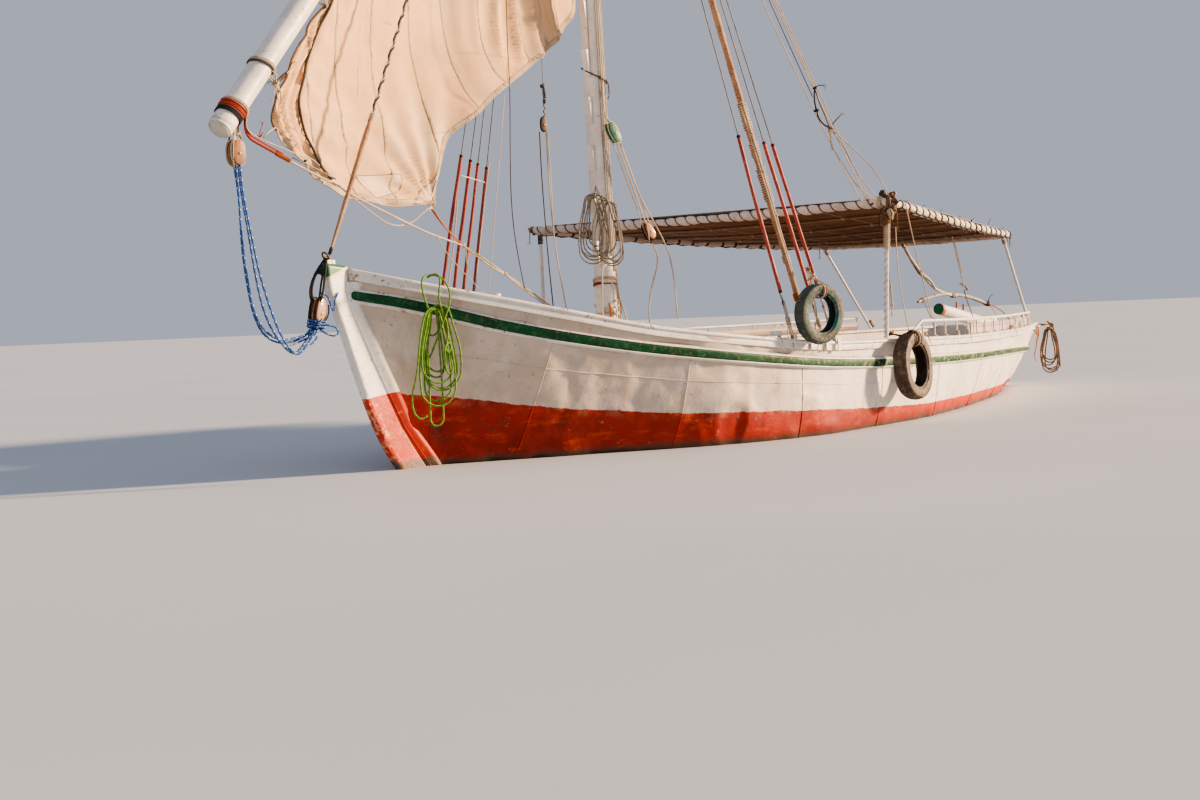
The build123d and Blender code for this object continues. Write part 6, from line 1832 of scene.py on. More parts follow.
def served(G, line, rad, mi, d, mi2=None, lumps=0.08, seed=1):
    """A rope wound closely with thin stuff: rings stand proud along its length."""
    line = resample(line, d * 0.42)
    s = np.concatenate([[0], np.cumsum(np.linalg.norm(np.diff(line, axis=0), axis=1))])
    r = (np.interp(s, *rad) if isinstance(rad, tuple) else rad * np.ones(len(s)))
    r = r * (1 + lumps * vnoise(np.stack([s * 5, s * 0, s * 0], 1), 1.0, seed) + 0.5 * lumps * vnoise(np.stack([s * 17, s * 0, s * 0], 1), 1.0, seed + 1))
    m, sides = len(line), 14
    t, nn, bb = frames(line)
    ang = np.arange(sides) / sides * 2 * math.pi
    ph = 2 * math.pi * s[:, None] / d - ang[None]
    rr = r[:, None] + 0.18 * d * np.cos(ph) - 0.10 * d
    pts = line[:, None] + rr[..., None] * (np.cos(ang)[None, :, None] * nn[:, None] + np.sin(ang)[None, :, None] * bb[:, None])
    uv = np.stack(np.broadcast_arrays(np.arange(sides)[None] / sides, s[:, None] / (2 * float(np.mean(r)))), -1)
    base = G.grid(pts, mi, uv=uv, wrap_u=True)
    for k, fl in ((0, True), (m - 1, False)):
        f = [base + k * sides + j for j in range(sides)]
        G.f.append(tuple(f[::-1] if fl else f))
        G.mi.append(mi)
        G.uv.extend([(0.5, 0.0)] * sides)


def served_material(name, a, b, dirt=(0.06, 0.04, 0.03)):
    M = Mat(name)
    c = M.mix(M.step(M.noise(5, 4, 0.6), 0.32, 0.68), a, b)
    c = M.mix(M.math("MULTIPLY", M.step(M.noise(38, 4, 0.7), 0.52, 0.66), 0.6), c, dirt)
    c = M.mix(M.math("MULTIPLY", M.step(M.noise(16, 3, 0.6), 0.54, 0.70), 0.5), c, blocky(a, 1.35))
    h = M.math("ADD", M.noise(150, 3, 0.6), M.math("MULTIPLY", M.noise(45, 3, 0.6), 0.8))
    return M.set(color=c, rough=0.82, sheen=0.12, spec=0.2, normal=M.bump(h, 0.0014))


M_SERVED = served_material("served_tan", (0.50, 0.30, 0.17), (0.34, 0.19, 0.11))
M_SERVED2 = served_material("served_brown", (0.40, 0.20, 0.11), (0.26, 0.13, 0.075))
M_STRAP = served_material("strap_red", (0.50, 0.085, 0.035), (0.34, 0.05, 0.025))
M_GREENPAINT = painted("block_green", (0.02, 0.17, 0.085), (0.012, 0.10, 0.05), chips=0.58)
M_BLACKROPE = rope_mat("rope_black", (0.045, 0.040, 0.038), (0.028, 0.024, 0.022), (0.006, 0.005, 0.005))
RIG = [M_CREAM, M_CREAM2, M_BROWNROPE, M_DARKROPE, M_REDROPE, M_ORANGE, M_SPECKLE, M_BLUEROPE, M_WIRE, M_BLACKROPE]
CRE, PAL, BRO, DRK, RED, ORA, SPK, BLU, WIR, BLK = range(10)

# ------------------------------------------------------------------- stays and shrouds
XB = 3.070 + 0.029 * 8.600
RT = mast_r(8.54)


def shroud(side, k, xfoot):
    ys = float(pchip(ST[::-1, 0], ST[::-1, 8], np.array([xfoot]))[0])
    return np.array([xfoot, side * (ys - 0.008), hull_sheer_z(xfoot) + 0.045]), np.array([XB + 0.022 - 0.015 * k, side * (RT + 0.030), 8.600])


def hull_sheer_z(x):
    return float(pchip(ST[::-1, 0], ST[::-1, 9], np.array([x]))[0])


def lanyard(G, foot, along, reach, seed, mi=PAL, eye=0.026):
    """Turns of line between the plate's eye and the eye of the wire, then frapped round the middle."""
    rng = np.random.default_rng(seed)
    t, n, b = frames(np.stack([foot, foot + along * reach]))
    n, b = n[0], b[0]
    for k in range(4):
        a = k * math.pi / 2 + 0.4
        o0, o1 = 0.013 * (math.cos(a) * n + math.sin(a) * b), 0.012 * (math.cos(a + 0.5) * n + math.sin(a + 0.5) * b)
        mid = foot + along * reach * 0.5 + (0.008 + 0.004 * rng.random()) * (math.cos(a + 0.25) * n + math.sin(a + 0.25) * b)
        lay(G, [foot + o0 - along * 0.010, mid, foot + along * (reach + 0.012) + o1], 0.0095, mi, per=8)
    c = np.stack([foot, foot + along * reach])
    lay(G, wind(c, 0.0205, 0.0105, reach * 0.38, reach * 0.38 + 0.070, 12, rng.random() * 6), 0.0085, mi)
    for q, sg in ((0.006, 1), (reach + 0.004, -1)):
        e = foot + along * q
        th = np.linspace(0, 2 * math.pi, 20)
        G.tube(e + 0.021 * (np.cos(th)[:, None] * n + 0.9 * np.sin(th)[:, None] * along), 0.0052, 8, WIR, closed=False)
    tail(G, foot + along * (reach * 0.42) + 0.021 * n, [0.012 * n - 0.03 * along, 0.010 * n + [0, 0, -0.05], [0, 0.004, -0.06]], 0.008, mi, seed)


for side, label, feet, hose in ((1, "port", [3.000, 2.770, 2.550, 2.380], [True, False, True, True]), (-1, "starboard", [3.550, 3.280, 3.070, 2.830], [True] * 4)):
    G, S, L = Geo(), Geo(), Geo()
    for k, xf in enumerate(feet):
        a, b = shroud(side, k, xf)
        along = unit(b - a)
        length = float(np.linalg.norm(b - a))
        line = a + along * np.linspace(0.333, length, 60)[:, None]
        bow_ = np.sin(np.linspace(0, math.pi, 60))[:, None] * np.array([0.0, side * 0.0, -0.004])
        if not hose[k]:
            # the thick one is served with tan stuff for its whole length
            ln = a + along * np.linspace(0.18, length - 0.10, 40)[:, None]
            served(G, ln, (np.array([0, 0.35, 1.4, 2.6, 4.6, 8]), np.array([0.021, 0.027, 0.031, 0.032, 0.026, 0.020])), 1, 0.013, lumps=0.10, seed=31)
            G.tube(a + along * np.linspace(0.0, length, 24)[:, None], 0.0125, 8, 0, d=0.025)
            core = np.stack([a, b])
            for s0, s1, ph in ((1.30, 1.62, 0.3), (1.72, 1.86, 1.0), (1.98, 2.24, 2.0)):
                lay(L, wind(core, 0.040, 0.022, s0, s1, 11, ph, 0.10, 41), 0.0125, CRE)
            for s0, ph in ((0.36, 0.0), (0.72, 2.2)):
                lay(L, wind(core, 0.034, 0.014, s0, s0 + 0.075, 12, ph, 0.06, 43), 0.0105, ORA if s0 < 0.5 else CRE)
            # a doubled line hangs beside it from the lashing
            p1, p0 = a + along * 2.22 + [0.03, 0.03, 0], a + along * 0.30 + [0.035, 0.045, 0]
            lay(L, [p1, lerp(p1, p0, 0.3) + [0.05, 0.03, 0], lerp(p1, p0, 0.7) + [0.045, 0.03, 0], p0], 0.0125, CRE, per=16)
            lay(L, [p1 + [0.0, -0.03, 0], lerp(p1, p0, 0.35) + [0.085, 0.03, 0], lerp(p1, p0, 0.72) + [0.070, 0.02, 0], p0 + [0.012, 0.010, -0.02]], 0.0125, CRE, per=16)
            for q in (0.15, 0.33, 0.55):
                knot(L, lerp(p1, p0, q) + [0.05, 0.03, 0], 0.026, 0.011, CRE, int(q * 100))
            lanyard(L, a, along, 0.200, 77 + k, CRE)
        else:
            G.tube(resample(line, 0.25), 0.0062, 8, 0, d=0.0124)
            sl = a + along * np.linspace(0.420, 1.900, 90)[:, None]
            wob = np.stack([vnoise(np.stack([np.linspace(0, 3, 90) + 7 * k, np.zeros(90), np.zeros(90)], 1), 1.0, 60 + k + (9 if side > 0 else 0)) * 0.009,
                            vnoise(np.stack([np.linspace(0, 3, 90) + 3 * k, np.ones(90), np.zeros(90)], 1), 1.0, 80 + k) * 0.006, np.zeros(90)], 1)
            rubber_hose(S, sl + wob * np.sin(np.linspace(0, math.pi, 90))[:, None] * 0.8, 0.0175 if side > 0 else (0.0155 if k == 2 else 0.0175), 0, 100 + k + (9 if side > 0 else 0))
            # eye of the wire: a thimble and two clips
            e = a + along * 0.333
            lay(G, [e - along * 0.005, e + along * 0.03 + [0.013, 0, 0], e + along * 0.09 + [0.010, 0, 0]], 0.011, 0, laid=False, per=6, step=0.012)
            for q in (0.045, 0.075):
                cq = e + along * q + [0.005, 0, 0]
                S.box((-0.008, -0.008, -0.006), (0.014, 0.008, 0.006), 2, np.vstack([np.c_[np.eye(3), cq], [0, 0, 0, 1]]))
            lanyard(L, a, along, 0.325, 57 + k + (20 if side > 0 else 0))
    # loose cords tied between the sleeves
    if side < 0:
        a0, b0 = shroud(-1, 0, 3.550)
        a3, b3 = shroud(-1, 3, 2.830)
        u0, u3 = unit(b0 - a0), unit(b3 - a3)
        lay(L, [a0 + u0 * 1.70, a0 + u0 * 1.66 + [-0.14, 0.02, 0.02], lerp(a0 + u0 * 1.66, a3 + u3 * 1.72, 0.6) + [0, 0, 0.03], a3 + u3 * 1.74], 0.013, PAL, per=14)
        lay(L, [a3 + u3 * 1.95 + [0.01, 0.03, 0], a3 + u3 * 1.2 + [0.05, 0.05, 0], a3 + u3 * 0.30 + [0.03, 0.04, 0]], 0.013, CRE, per=20)
        lay(L, [a0 + u0 * 1.45 + [0.0, 0.03, 0], a0 + u0 * 0.9 + [-0.06, 0.04, 0.0], a0 + u0 * 0.25 + [-0.03, 0.03, 0]], 0.012, CRE, per=20)
        for q, (aa, uu) in enumerate(((a0, u0), (a3, u3), (a0, u0))):
            knot(L, aa + uu * (1.72, 1.74, 1.42)[q], 0.026, 0.011, (PAL, PAL, CRE)[q], 300 + q)
    G.build(label + "_wire_shrouds", [M_WIRE, M_SERVED], "hull", "galvanised", [label + "_shrouds"])
    S.build(label + "_hose_sleeves", [M_HOSE, M_BLACKROPE, M_GALV], "hull", "hose_red", [label + "_shroud_sleeves"])
    L.build(label + "_lanyard_lashings", RIG, "hull", "rope_cream", [label + "_lanyards"])

# forestay: wire under a tan served sleeve, a dark and a cream strand twisted round it higher up
G = Geo()
F0, F1 = np.array([6.865, 0, 1.700]), np.array([XB + RT + 0.040, 0, 8.564])
fl = unit(F1 - F0)
flen = float(np.linalg.norm(F1 - F0))
core = np.stack([F0, F1])
G.tube(resample(core, 0.3), 0.0068, 8, WIR, d=0.0136)
G.build("forestay_wire", RIG, "hull", "galvanised", ["forestay"])
G = Geo()
served(G, F0 + fl * np.linspace(0.060, 1.270, 30)[:, None], (np.array([0, 0.08, 0.35, 0.80, 1.10, 1.21]), np.array([0.0095, 0.0125, 0.0185, 0.0215, 0.0215, 0.012])), 0, 0.0095, lumps=0.09, seed=51)
G.build("forestay_served_sleeve", [M_SERVED], "hull", "rope_cream", ["forestay_sleeve"])
G = Geo()
lay(G, wind(core, 0.0125, 0.155, 1.20, 4.60, 12, 0.0), 0.0125, DRK)
lay(G, wind(core, 0.0125, 0.155, 1.16, 4.60, 12, math.pi), 0.0115, CRE)
lay(G, wind(core, 0.016, 0.013, 1.235, 1.300, 12, 0.0), 0.0105, CRE)
lay(G, wind(core, 0.0200, 0.013, 4.56, 4.64, 12, 0.0), 0.0105, DRK)
lay(G, wind(core, 0.0115, 0.0085, 0.040, 0.095, 12, 0.0), 0.0075, BLK)
G.build("forestay_strands", RIG, "hull", "rope_cream")

# ------------------------------------------------------------------- stem head: ring, strop and lower block of the heel tackle
G = Geo()
rc = np.array([6.893, 0.0, 1.722])
th = np.linspace(0, 2 * math.pi, 30)
G.tube(rc + 0.032 * (np.cos(th)[:, None] * np.array([0.55, 0.0, 0.84]) + np.sin(th)[:, None] * np.array([0.10, 0.99, 0.0])), 0.0075, 9, 0)
G.tube(np.array([6.865, 0, 1.700]) + 0.020 * (np.cos(th)[:, None] * np.array([0.8, 0, 0.6]) + np.sin(th)[:, None] * np.array([-0.6, 0, 0.8])), 0.0055, 8, 0)
G.build("stem_ring", [M_RUSTY], "hull", "galvanised")
G = Geo()
hd = np.array([6.890, 0.0, 1.690])
bt = np.array([7.000, 0.0, 1.402])
for k, (w, f) in enumerate(((0.030, 0.0), (-0.026, 0.012), (0.046, -0.010), (-0.044, 0.004))):
    lay(G, [hd + [0.0, 0.2 * w, 0.014], hd + [0.040, 0.8 * w, -0.045], lerp(hd, bt, 0.45) + [0.040 + f, 1.25 * w, 0], lerp(hd, bt, 0.80) + [0.036 + f, 1.5 * w, 0], bt + [0.022, 1.1 * w, -0.035], bt + [0.0, 0.5 * w, -0.065]], 0.0165, BLK, per=10)
knot(G, hd + [0.020, 0.006, -0.012], 0.030, 0.013, BLK, 5)
knot(G, lerp(hd, bt, 0.30) + [0.034, 0, 0], 0.034, 0.012, BLK, 6)
knot(G, hd + [0.004, 0.0, 0.024], 0.018, 0.008, CRE, 7)
# blue and white rope round the block and its loops
bc = np.array([7.014, 0.0, 1.262])
bu = unit([0.22, 0, -1.0])
for k in range(3):
    th = np.linspace(0, 2 * math.pi, 26) + k
    ring = bc + bu * (0.045 + 0.021 * k) + 0.072 * np.cos(th)[:, None] * np.array([0, 1.0, 0]) + 0.060 * np.sin(th)[:, None] * np.array([0.97, 0, 0.22]) + bu * 0.006 * np.sin(2 * th)[:, None]
    lay(G, ring, 0.0165, BLU)
knot(G, bc + [0.045, 0.045, -0.055], 0.040, 0.0155, BLU, 11)
knot(G, bc + [0.055, -0.03, -0.150], 0.036, 0.0155, BLU, 12)
lay(G, [bc + [0.02, 0.03, -0.10], bc + [-0.03, 0.075, -0.150], bc + [-0.075, 0.115, -0.160], bc + [-0.100, 0.125, -0.130], bc + [-0.080, 0.110, -0.085], bc + [-0.03, 0.08, -0.075], bc + [0.02, 0.05, -0.060]], 0.0150, BLU, per=8)
lay(G, [bt + [-0.010, 0.03, 0.035], bt + [-0.050, 0.055, 0.020], bt + [-0.070, 0.060, -0.030], bt + [-0.085, 0.060, -0.085], bt + [-0.120, 0.055, -0.112], (6.870, 0.050, 1.384), (6.828, 0.052, 1.437)], 0.0150, BLU, per=8)
lay(G, [(6.942, 0.055, 1.346), (6.938, 0.058, 1.293), (6.977, 0.060, 1.232), (7.039, 0.065, 1.188), bc + [0.0, 0.070, -0.06]], 0.0120, BLK, per=8)
lay(G, [bc + [0.06, 0.05, -0.155], bc + [0.10, 0.05, -0.215], (7.232, 0.030, 1.035), (7.273, 0.020, 0.984), (7.315, 0.000, 0.994), (7.323, -0.020, 1.040), bc + [0.165, -0.03, -0.19], bc + [0.10, -0.02, -0.165]], 0.0155, BLU, per=8)
G.build("stem_strop_and_wraps", RIG, "hull", "rope_blue")
G = Geo()
pulley(G, (7.010, 0.0, 1.290), (-0.20, 0, 1.0), (0, 1.0, 0), 0.105, 0.225, 0.098, 2, 0, 1, 2, 0.015)
G.build("stem_block_shell", [M_BLOCKW, M_GALV, M_BLACKROPE], "hull", "block_wood", ["stem_block"])

# ------------------------------------------------------------------- heel of the yard
G = Geo()


def yard_ring(G, s, d, mi, turns=1, tilt=0.0, gap=0.001, start=0.0, body=0.0):
    n = int(34 * turns)
    a = np.linspace(0, 2 * math.pi * turns, n) + start
    ss = s + d * 1.02 * (a - start) / (2 * math.pi) + tilt * np.cos(a - start)
    r = yard_r(s) + d / 2 + gap + body
    pts = np.array([yard_pt(q, r * math.cos(w), r * math.sin(w)) for q, w in zip(ss, a)])
    return lay(G, pts, d, mi)


yard_ring(G, 0.120, 0.0135, BLK, 3.2, 0.010)
yard_ring(G, 0.165, 0.0130, DRK, 1.3, 0.016)
yard_ring(G, 0.235, 0.0125, CRE, 2.1, 0.016)
yard_ring(G, 0.655, 0.0145, DRK, 1.1, 0.030)
yard_ring(G, 0.672, 0.0145, CRE, 2.0, 0.026)
KN = np.array((7.138, -0.200, 3.038))
Y0 = yard_pt(0.69, yard_r(0.69) + 0.012)
for k, o in enumerate(((0, 0.07, 0), (0.0, 0.015, -0.02), (0, -0.04, 0.0))):
    lay(G, [yard_pt(0.66, 0.05, 0.085 - 0.05 * k), Y0 + np.array(o), lerp(Y0, KN, 0.6) + np.array(o) * 0.4, KN], 0.0135, CRE, per=10)
knot(G, KN, 0.042, 0.0135, CRE, 21)
knot(G, KN + [-0.02, 0.0, -0.03], 0.026, 0.011, CRE, 22)
tail(G, KN + [0, 0.01, -0.03], [(0.010, 0.01, -0.05), (-0.012, 0.01, -0.06), (0.010, 0, -0.05), (-0.006, 0, -0.03)], 0.0085, CRE, 3)
tail(G, KN + [0.01, 0.02, -0.02], [(0.03, 0.01, -0.03), (0.02, 0, -0.05)], 0.0085, CRE, 4)
tail(G, KN + [0.02, 0.02, 0.0], [(0.05, 0.01, 0.012), (0.03, 0, -0.01)], 0.0085, DRK, 14)
lay(G, [KN, (7.111, -0.190, 3.066), (7.066, -0.190, 3.100), (7.017, -0.190, 3.131), (6.955, -0.190, 3.179), (6.886, -0.190, 3.240)], 0.0115, CRE, per=10)
lay(G, [KN, (7.114, -0.190, 3.020), (7.088, -0.190, 2.980), (7.099, -0.190, 2.923)], 0.0115, CRE, per=10)
lay(G, wind(np.array([(7.111, -0.190, 3.066), (6.989, -0.190, 3.153)]), 0.013, 0.018, 0.0, 0.11, 10), 0.0085, BRO)
knot(G, (7.022, -0.190, 3.127), 0.026, 0.0105, DRK, 25)
# red webbing round the end, then forward and down to the deck as a red and then a cream rope
for k in range(4):
    n = 40
    a = np.linspace(0, 2 * math.pi, n)
    ss = 0.170 + 0.017 * k + 0.020 * np.cos(a + 0.8)
    r = yard_r(0.2) + 0.0065 + 0.004 * (k % 2)
    G.tube(np.array([yard_pt(q, r * math.cos(w), r * math.sin(w)) for q, w in zip(ss, a)]), 0.0095, 8, RED, flat=0.6)
P0 = yard_pt(0.205, yard_r(0.2) + 0.004, 0.055)
FOOT_R = [P0, (7.536, -0.150, 2.624), (7.360, -0.150, 2.554), (7.148, -0.150, 2.483)]
lay(G, FOOT_R, 0.024, RED, per=12)
lay(G, [p + np.array([0.006, 0.012, 0.022]) for p in map(np.asarray, FOOT_R)], 0.013, RED, per=12)
lay(G, [(7.168, -0.150, 2.490), (6.983, -0.140, 2.415), (6.813, -0.120, 2.353), (6.561, -0.100, 2.265)], 0.0175, CRE, per=12)
lay(G, wind(np.array([(7.219, -0.150, 2.506), (7.081, -0.145, 2.456)]), 0.014, 0.012, 0.0, 0.16, 10), 0.0095, ORA)
lay(G, [yard_pt(0.25, 0.08, 0.07), (7.561, -0.130, 2.672), (7.386, -0.130, 2.595), (7.133, -0.140, 2.544), (6.925, -0.150, 2.488), (6.807, -0.170, 2.493), (6.734, -0.170, 2.438)], 0.0105, CRE, per=10)
knot(G, (7.389, -0.130, 2.621), 0.028, 0.0095, RED, 31)
tail(G, (7.403, -0.120, 2.630), [(0.0, 0.01, 0.035), (-0.02, 0, 0.03)], 0.008, RED, 33)
lay(G, [(7.355, -0.130, 2.612), (7.301, -0.140, 2.654), (7.239, -0.160, 2.682), (7.177, -0.180, 2.704)], 0.0105, CRE, per=8)
lay(G, [(7.063, -0.130, 2.479), (6.969, -0.130, 2.453), (6.842, -0.130, 2.414), (6.723, -0.120, 2.376), (6.625, -0.110, 2.333)], 0.0115, SPK, per=10)
knot(G, (6.931, -0.130, 2.459), 0.024, 0.010, BLK, 35)
G.build("yard_heel_lashings", RIG, "yard", "rope_cream")
# the end of the yard is a rounded cap of worn wood
G = Geo()
r0 = yard_r(0.0)
prof = [(0.0, -0.040), (0.035, -0.0385), (0.062, -0.031), (0.080, -0.018), (0.090, 0.000), (r0 + 0.0015, 0.022), (r0 + 0.0015, 0.050), (r0 - 0.002, 0.053)]
lathe(G, yard_pt(0.0), YDIR, prof, 40, 0, (0, 1, 0))
M_ENDGRAIN = painted("yard_end", (0.72, 0.68, 0.60), (0.56, 0.50, 0.42), chips=0.52)
G.build("yard_heel_cap", [M_ENDGRAIN], "yard", "spar_paint")

# heel block: three openings, hung from the yard by a strop
G = Geo()
HC = np.array([7.577, -0.2, 2.492])
pulley(G, HC, (0.03, 0, 1.0), (0.25, 1.0, 0), 0.105, 0.185, 0.125, 3, 0, 1, 2, 0.0145)
G.build("heel_block_shell", [M_BLOCKW, M_GALV, M_CREAM], "yard", "block_wood", ["heel_block"])
G = Geo()
for k, (o, d_) in enumerate((((0.035, 0.035, 0), 0.0145), ((-0.030, -0.03, 0), 0.0145), ((0.02, -0.045, 0), 0.013), ((-0.02, 0.045, 0), 0.013))):
    up_ = yard_pt(0.205 + 0.008 * k, 0.0, 0.0)
    o = np.array(o)
    lay(G, [HC + o * 1.3 + [0, 0, -0.02], HC + o * 1.1 + [0, 0, 0.10], HC + o * 0.5 + [0, 0, 0.150], lerp(HC + [0, 0, 0.15], up_, 0.5) + o * 0.6, up_ + [0.07, o[1] * 1.0 + 0.06 * np.sign(o[1]), -0.04]], d_, CRE if k < 2 else BRO, per=9)
knot(G, HC + [0.0, 0.02, 0.140], 0.033, 0.013, CRE, 41)
knot(G, HC + [0.02, 0.0, 0.175], 0.030, 0.012, BRO, 42)
tail(G, HC + [0.05, 0.05, 0.12], [(0.03, 0.02, -0.04), (0.01, 0.0, -0.07), (0.0, 0, -0.06)], 0.010, CRE, 45)
G.build("heel_block_strop", RIG, "yard", "rope_cream")

# ------------------------------------------------------------------- clew and the ropes at the foot of the sail
G = Geo()
CL = np.array((5.369, -0.185, 2.180))
knot(G, CL, 0.030, 0.0125, CRE, 51)
knot(G, (5.423, -0.180, 2.144), 0.026, 0.0115, PAL, 52)
lay(G, [CL, (5.521, -0.170, 2.115), (5.653, -0.160, 2.027), (5.854, -0.150, 1.981), (6.034, -0.140, 2.005), (6.218, -0.130, 2.092), (6.453, -0.110, 2.202), (6.584, -0.100, 2.268)], 0.0110, CRE, per=10)
lay(G, [(6.616, -0.100, 2.286), (6.462, -0.100, 2.217), (6.304, -0.100, 2.163), (6.003, -0.120, 2.077), (5.715, -0.140, 1.995), (5.468, -0.160, 1.931), (5.225, -0.180, 1.885), (4.976, -0.200, 1.838)], 0.0165, CRE, per=10)
for o in ((0, 0, 0), (0.0, 0.018, -0.020), (0.01, -0.014, 0.018)):
    lay(G, [np.array((5.391, -0.180, 2.137)) + o, np.array((5.306, -0.180, 2.046)) + o, np.array((5.144, -0.190, 1.930)) + np.array(o) * 0.6, (4.976, -0.200, 1.838)], 0.0125, ORA, per=10)
knot(G, (4.976, -0.200, 1.838), 0.032, 0.0135, CRE, 54)
lay(G, [(4.976, -0.200, 1.838), (4.739, -0.240, 1.769), (4.510, -0.280, 1.692), (4.277, -0.320, 1.609)], 0.0155, CRE, per=10)
lay(G, [(4.988, -0.190, 1.833), (4.765, -0.220, 1.745), (4.525, -0.270, 1.660), (4.290, -0.310, 1.599)], 0.0150, CRE, per=10)
knot(G, (4.270, -0.320, 1.604), 0.034, 0.0145, CRE, 55)
tail(G, (4.962, -0.190, 1.820), [(0.0, 0.01, -0.05), (0.01, 0, -0.06), (-0.01, 0, -0.04)], 0.010, CRE, 56)
G.build("clew_lashings", RIG, "yard", "rope_cream")
G = Geo()
lay(G, [(4.277, -0.320, 1.609), (3.997, -0.380, 1.524), (3.680, -0.440, 1.417), (3.417, -0.500, 1.330), (3.253, -0.540, 1.286)], 0.0165, CRE, per=10)
lay(G, [(4.276, -0.310, 1.595), (4.010, -0.360, 1.495), (3.693, -0.420, 1.383), (3.367, -0.480, 1.271)], 0.0150, CRE, per=10)
G.build("sheet_to_deck", RIG, "yard", "rope_cream")
# thin lines in front of the sail and down to the rail
G = Geo()
lay(G, [(5.390, -0.150, 1.915), (5.342, -0.120, 1.795), (5.127, -0.100, 1.607), (4.969, -0.080, 1.485), (4.863, -0.060, 1.387)], 0.0085, CRE, per=8)
lay(G, [(4.359, -0.020, 5.411), (4.448, 0.000, 4.518), (4.504, 0.020, 3.983), (4.527, 0.030, 3.543), (4.515, 0.030, 3.212), (4.554, 0.030, 2.665), (4.561, 0.020, 2.183), (4.510, 0.020, 1.787), (4.417, 0.020, 1.450)], 0.0085, DRK, per=12)
lay(G, [(4.535, 0.030, 3.437), (4.584, 0.035, 3.327), (4.508, 0.030, 3.212)], 0.0075, CRE, per=8)
lay(G, [(4.585, 0.020, 3.145), (4.663, 0.030, 2.833), (4.730, 0.030, 2.481), (4.799, 0.000, 1.959), (4.881, -0.020, 1.438)], 0.0080, CRE, per=10)
G.build("fore_thin_lines", RIG, "hull", "rope_cream")

# ------------------------------------------------------------------- ropes at the mast
G = Geo()
for a, d, m, z0, z1 in ((0.052, 0.0125, SPK, 2.25, 8.46), (0.074, 0.011, PAL, 1.75, 8.48), (0.090, 0.012, PAL, 1.60, 8.50), (0.106, 0.0125, CRE, 1.10, 8.52), (-0.035, 0.010, CRE, 3.55, 8.50)):
    zz = np.linspace(z0, z1, 40)
    wv_ = 0.004 * vnoise(np.stack([zz * 1.3, zz * 0 + a * 50, zz * 0], 1), 1.0, 9)
    k_ = (mast_r(zz) / 0.104) ** 0.8
    lay(G, np.array([on_mast(z_, a * kk + w_, d + 0.002) for z_, w_, kk in zip(zz, wv_, k_)]), d, m, step=0.016)
# a dark rope round the mast, over the others
n = 44
a = np.linspace(0, 2 * math.pi, n)
zr = 3.455 - 0.075 * np.sin(a - 0.611) - 0.010 * np.cos(2 * a)
rr = mast_r(3.45) + 0.017
lay(G, np.stack([mast_x(zr) + rr * np.cos(a), rr * np.sin(a), zr], 1), 0.0150, DRK)
knot(G, on_mast(3.43, 0.055, 0.03), 0.022, 0.012, DRK, 61)
tail(G, on_mast(3.42, 0.105, 0.02), [(-0.015, 0.02, -0.03), (-0.006, 0.006, -0.06), (0.0, 0, -0.05)], 0.012, DRK, 62)
# turns at the foot of the mast
for z_, d, m, tn, tl in ((0.925, 0.018, CRE, 3.2, 0.012), (1.010, 0.016, PAL, 2.3, -0.020), (1.080, 0.014, ORA, 1.6, 0.016), (1.160, 0.017, CRE, 2.4, 0.030), (1.275, 0.015, PAL, 1.2, -0.035), (1.470, 0.014, RED, 1.4, 0.012), (1.510, 0.015, CRE, 2.0, 0.020)):
    mast_ring(G, z_, d, m, tn, tl, 0.002, start=z_ * 7)
for k, (a_, z_, s_, m) in enumerate(((0.07, 1.20, 0.040, CRE), (0.10, 1.05, 0.045, PAL), (0.02, 1.12, 0.036, CRE), (0.11, 0.94, 0.040, CRE), (0.05, 0.98, 0.034, ORA), (0.08, 1.32, 0.034, CRE))):
    knot(G, on_mast(z_, a_, 0.04), s_, 0.0145, m, 70 + k)
for k, pts in enumerate((
        [(0.10, 1.52), (0.125, 1.38), (0.135, 1.22), (0.120, 1.08), (0.150, 0.96), (0.165, 0.86), (0.150, 0.80)],
        [(0.06, 1.50), (0.080, 1.40), (0.060, 1.30), (0.100, 1.22), (0.070, 1.12), (0.115, 1.02), (0.085, 0.92), (0.125, 0.83)],
        [(0.12, 1.36), (0.170, 1.22), (0.195, 1.05), (0.190, 0.92), (0.160, 0.84)],
        [(0.02, 1.30), (0.045, 1.22), (0.010, 1.13), (0.060, 1.04), (0.020, 0.95), (0.070, 0.86)])):
    lay(G, [on_mast(z_, a_, 0.035 + 0.008 * (i % 2)) for i, (a_, z_) in enumerate(pts)], 0.0150, (CRE, PAL, CRE, ORA)[k], per=9)
lay(G, [on_mast(1.66, 0.030, 0.05) + [0.04, 0.03, 0], (3.469, 0.220, 1.675), (3.521, 0.240, 1.460), (3.556, 0.260, 1.265), (3.587, 0.280, 1.117)], 0.0130, PAL, per=12)
G.build("mast_ropes", RIG, "hull", "rope_cream")
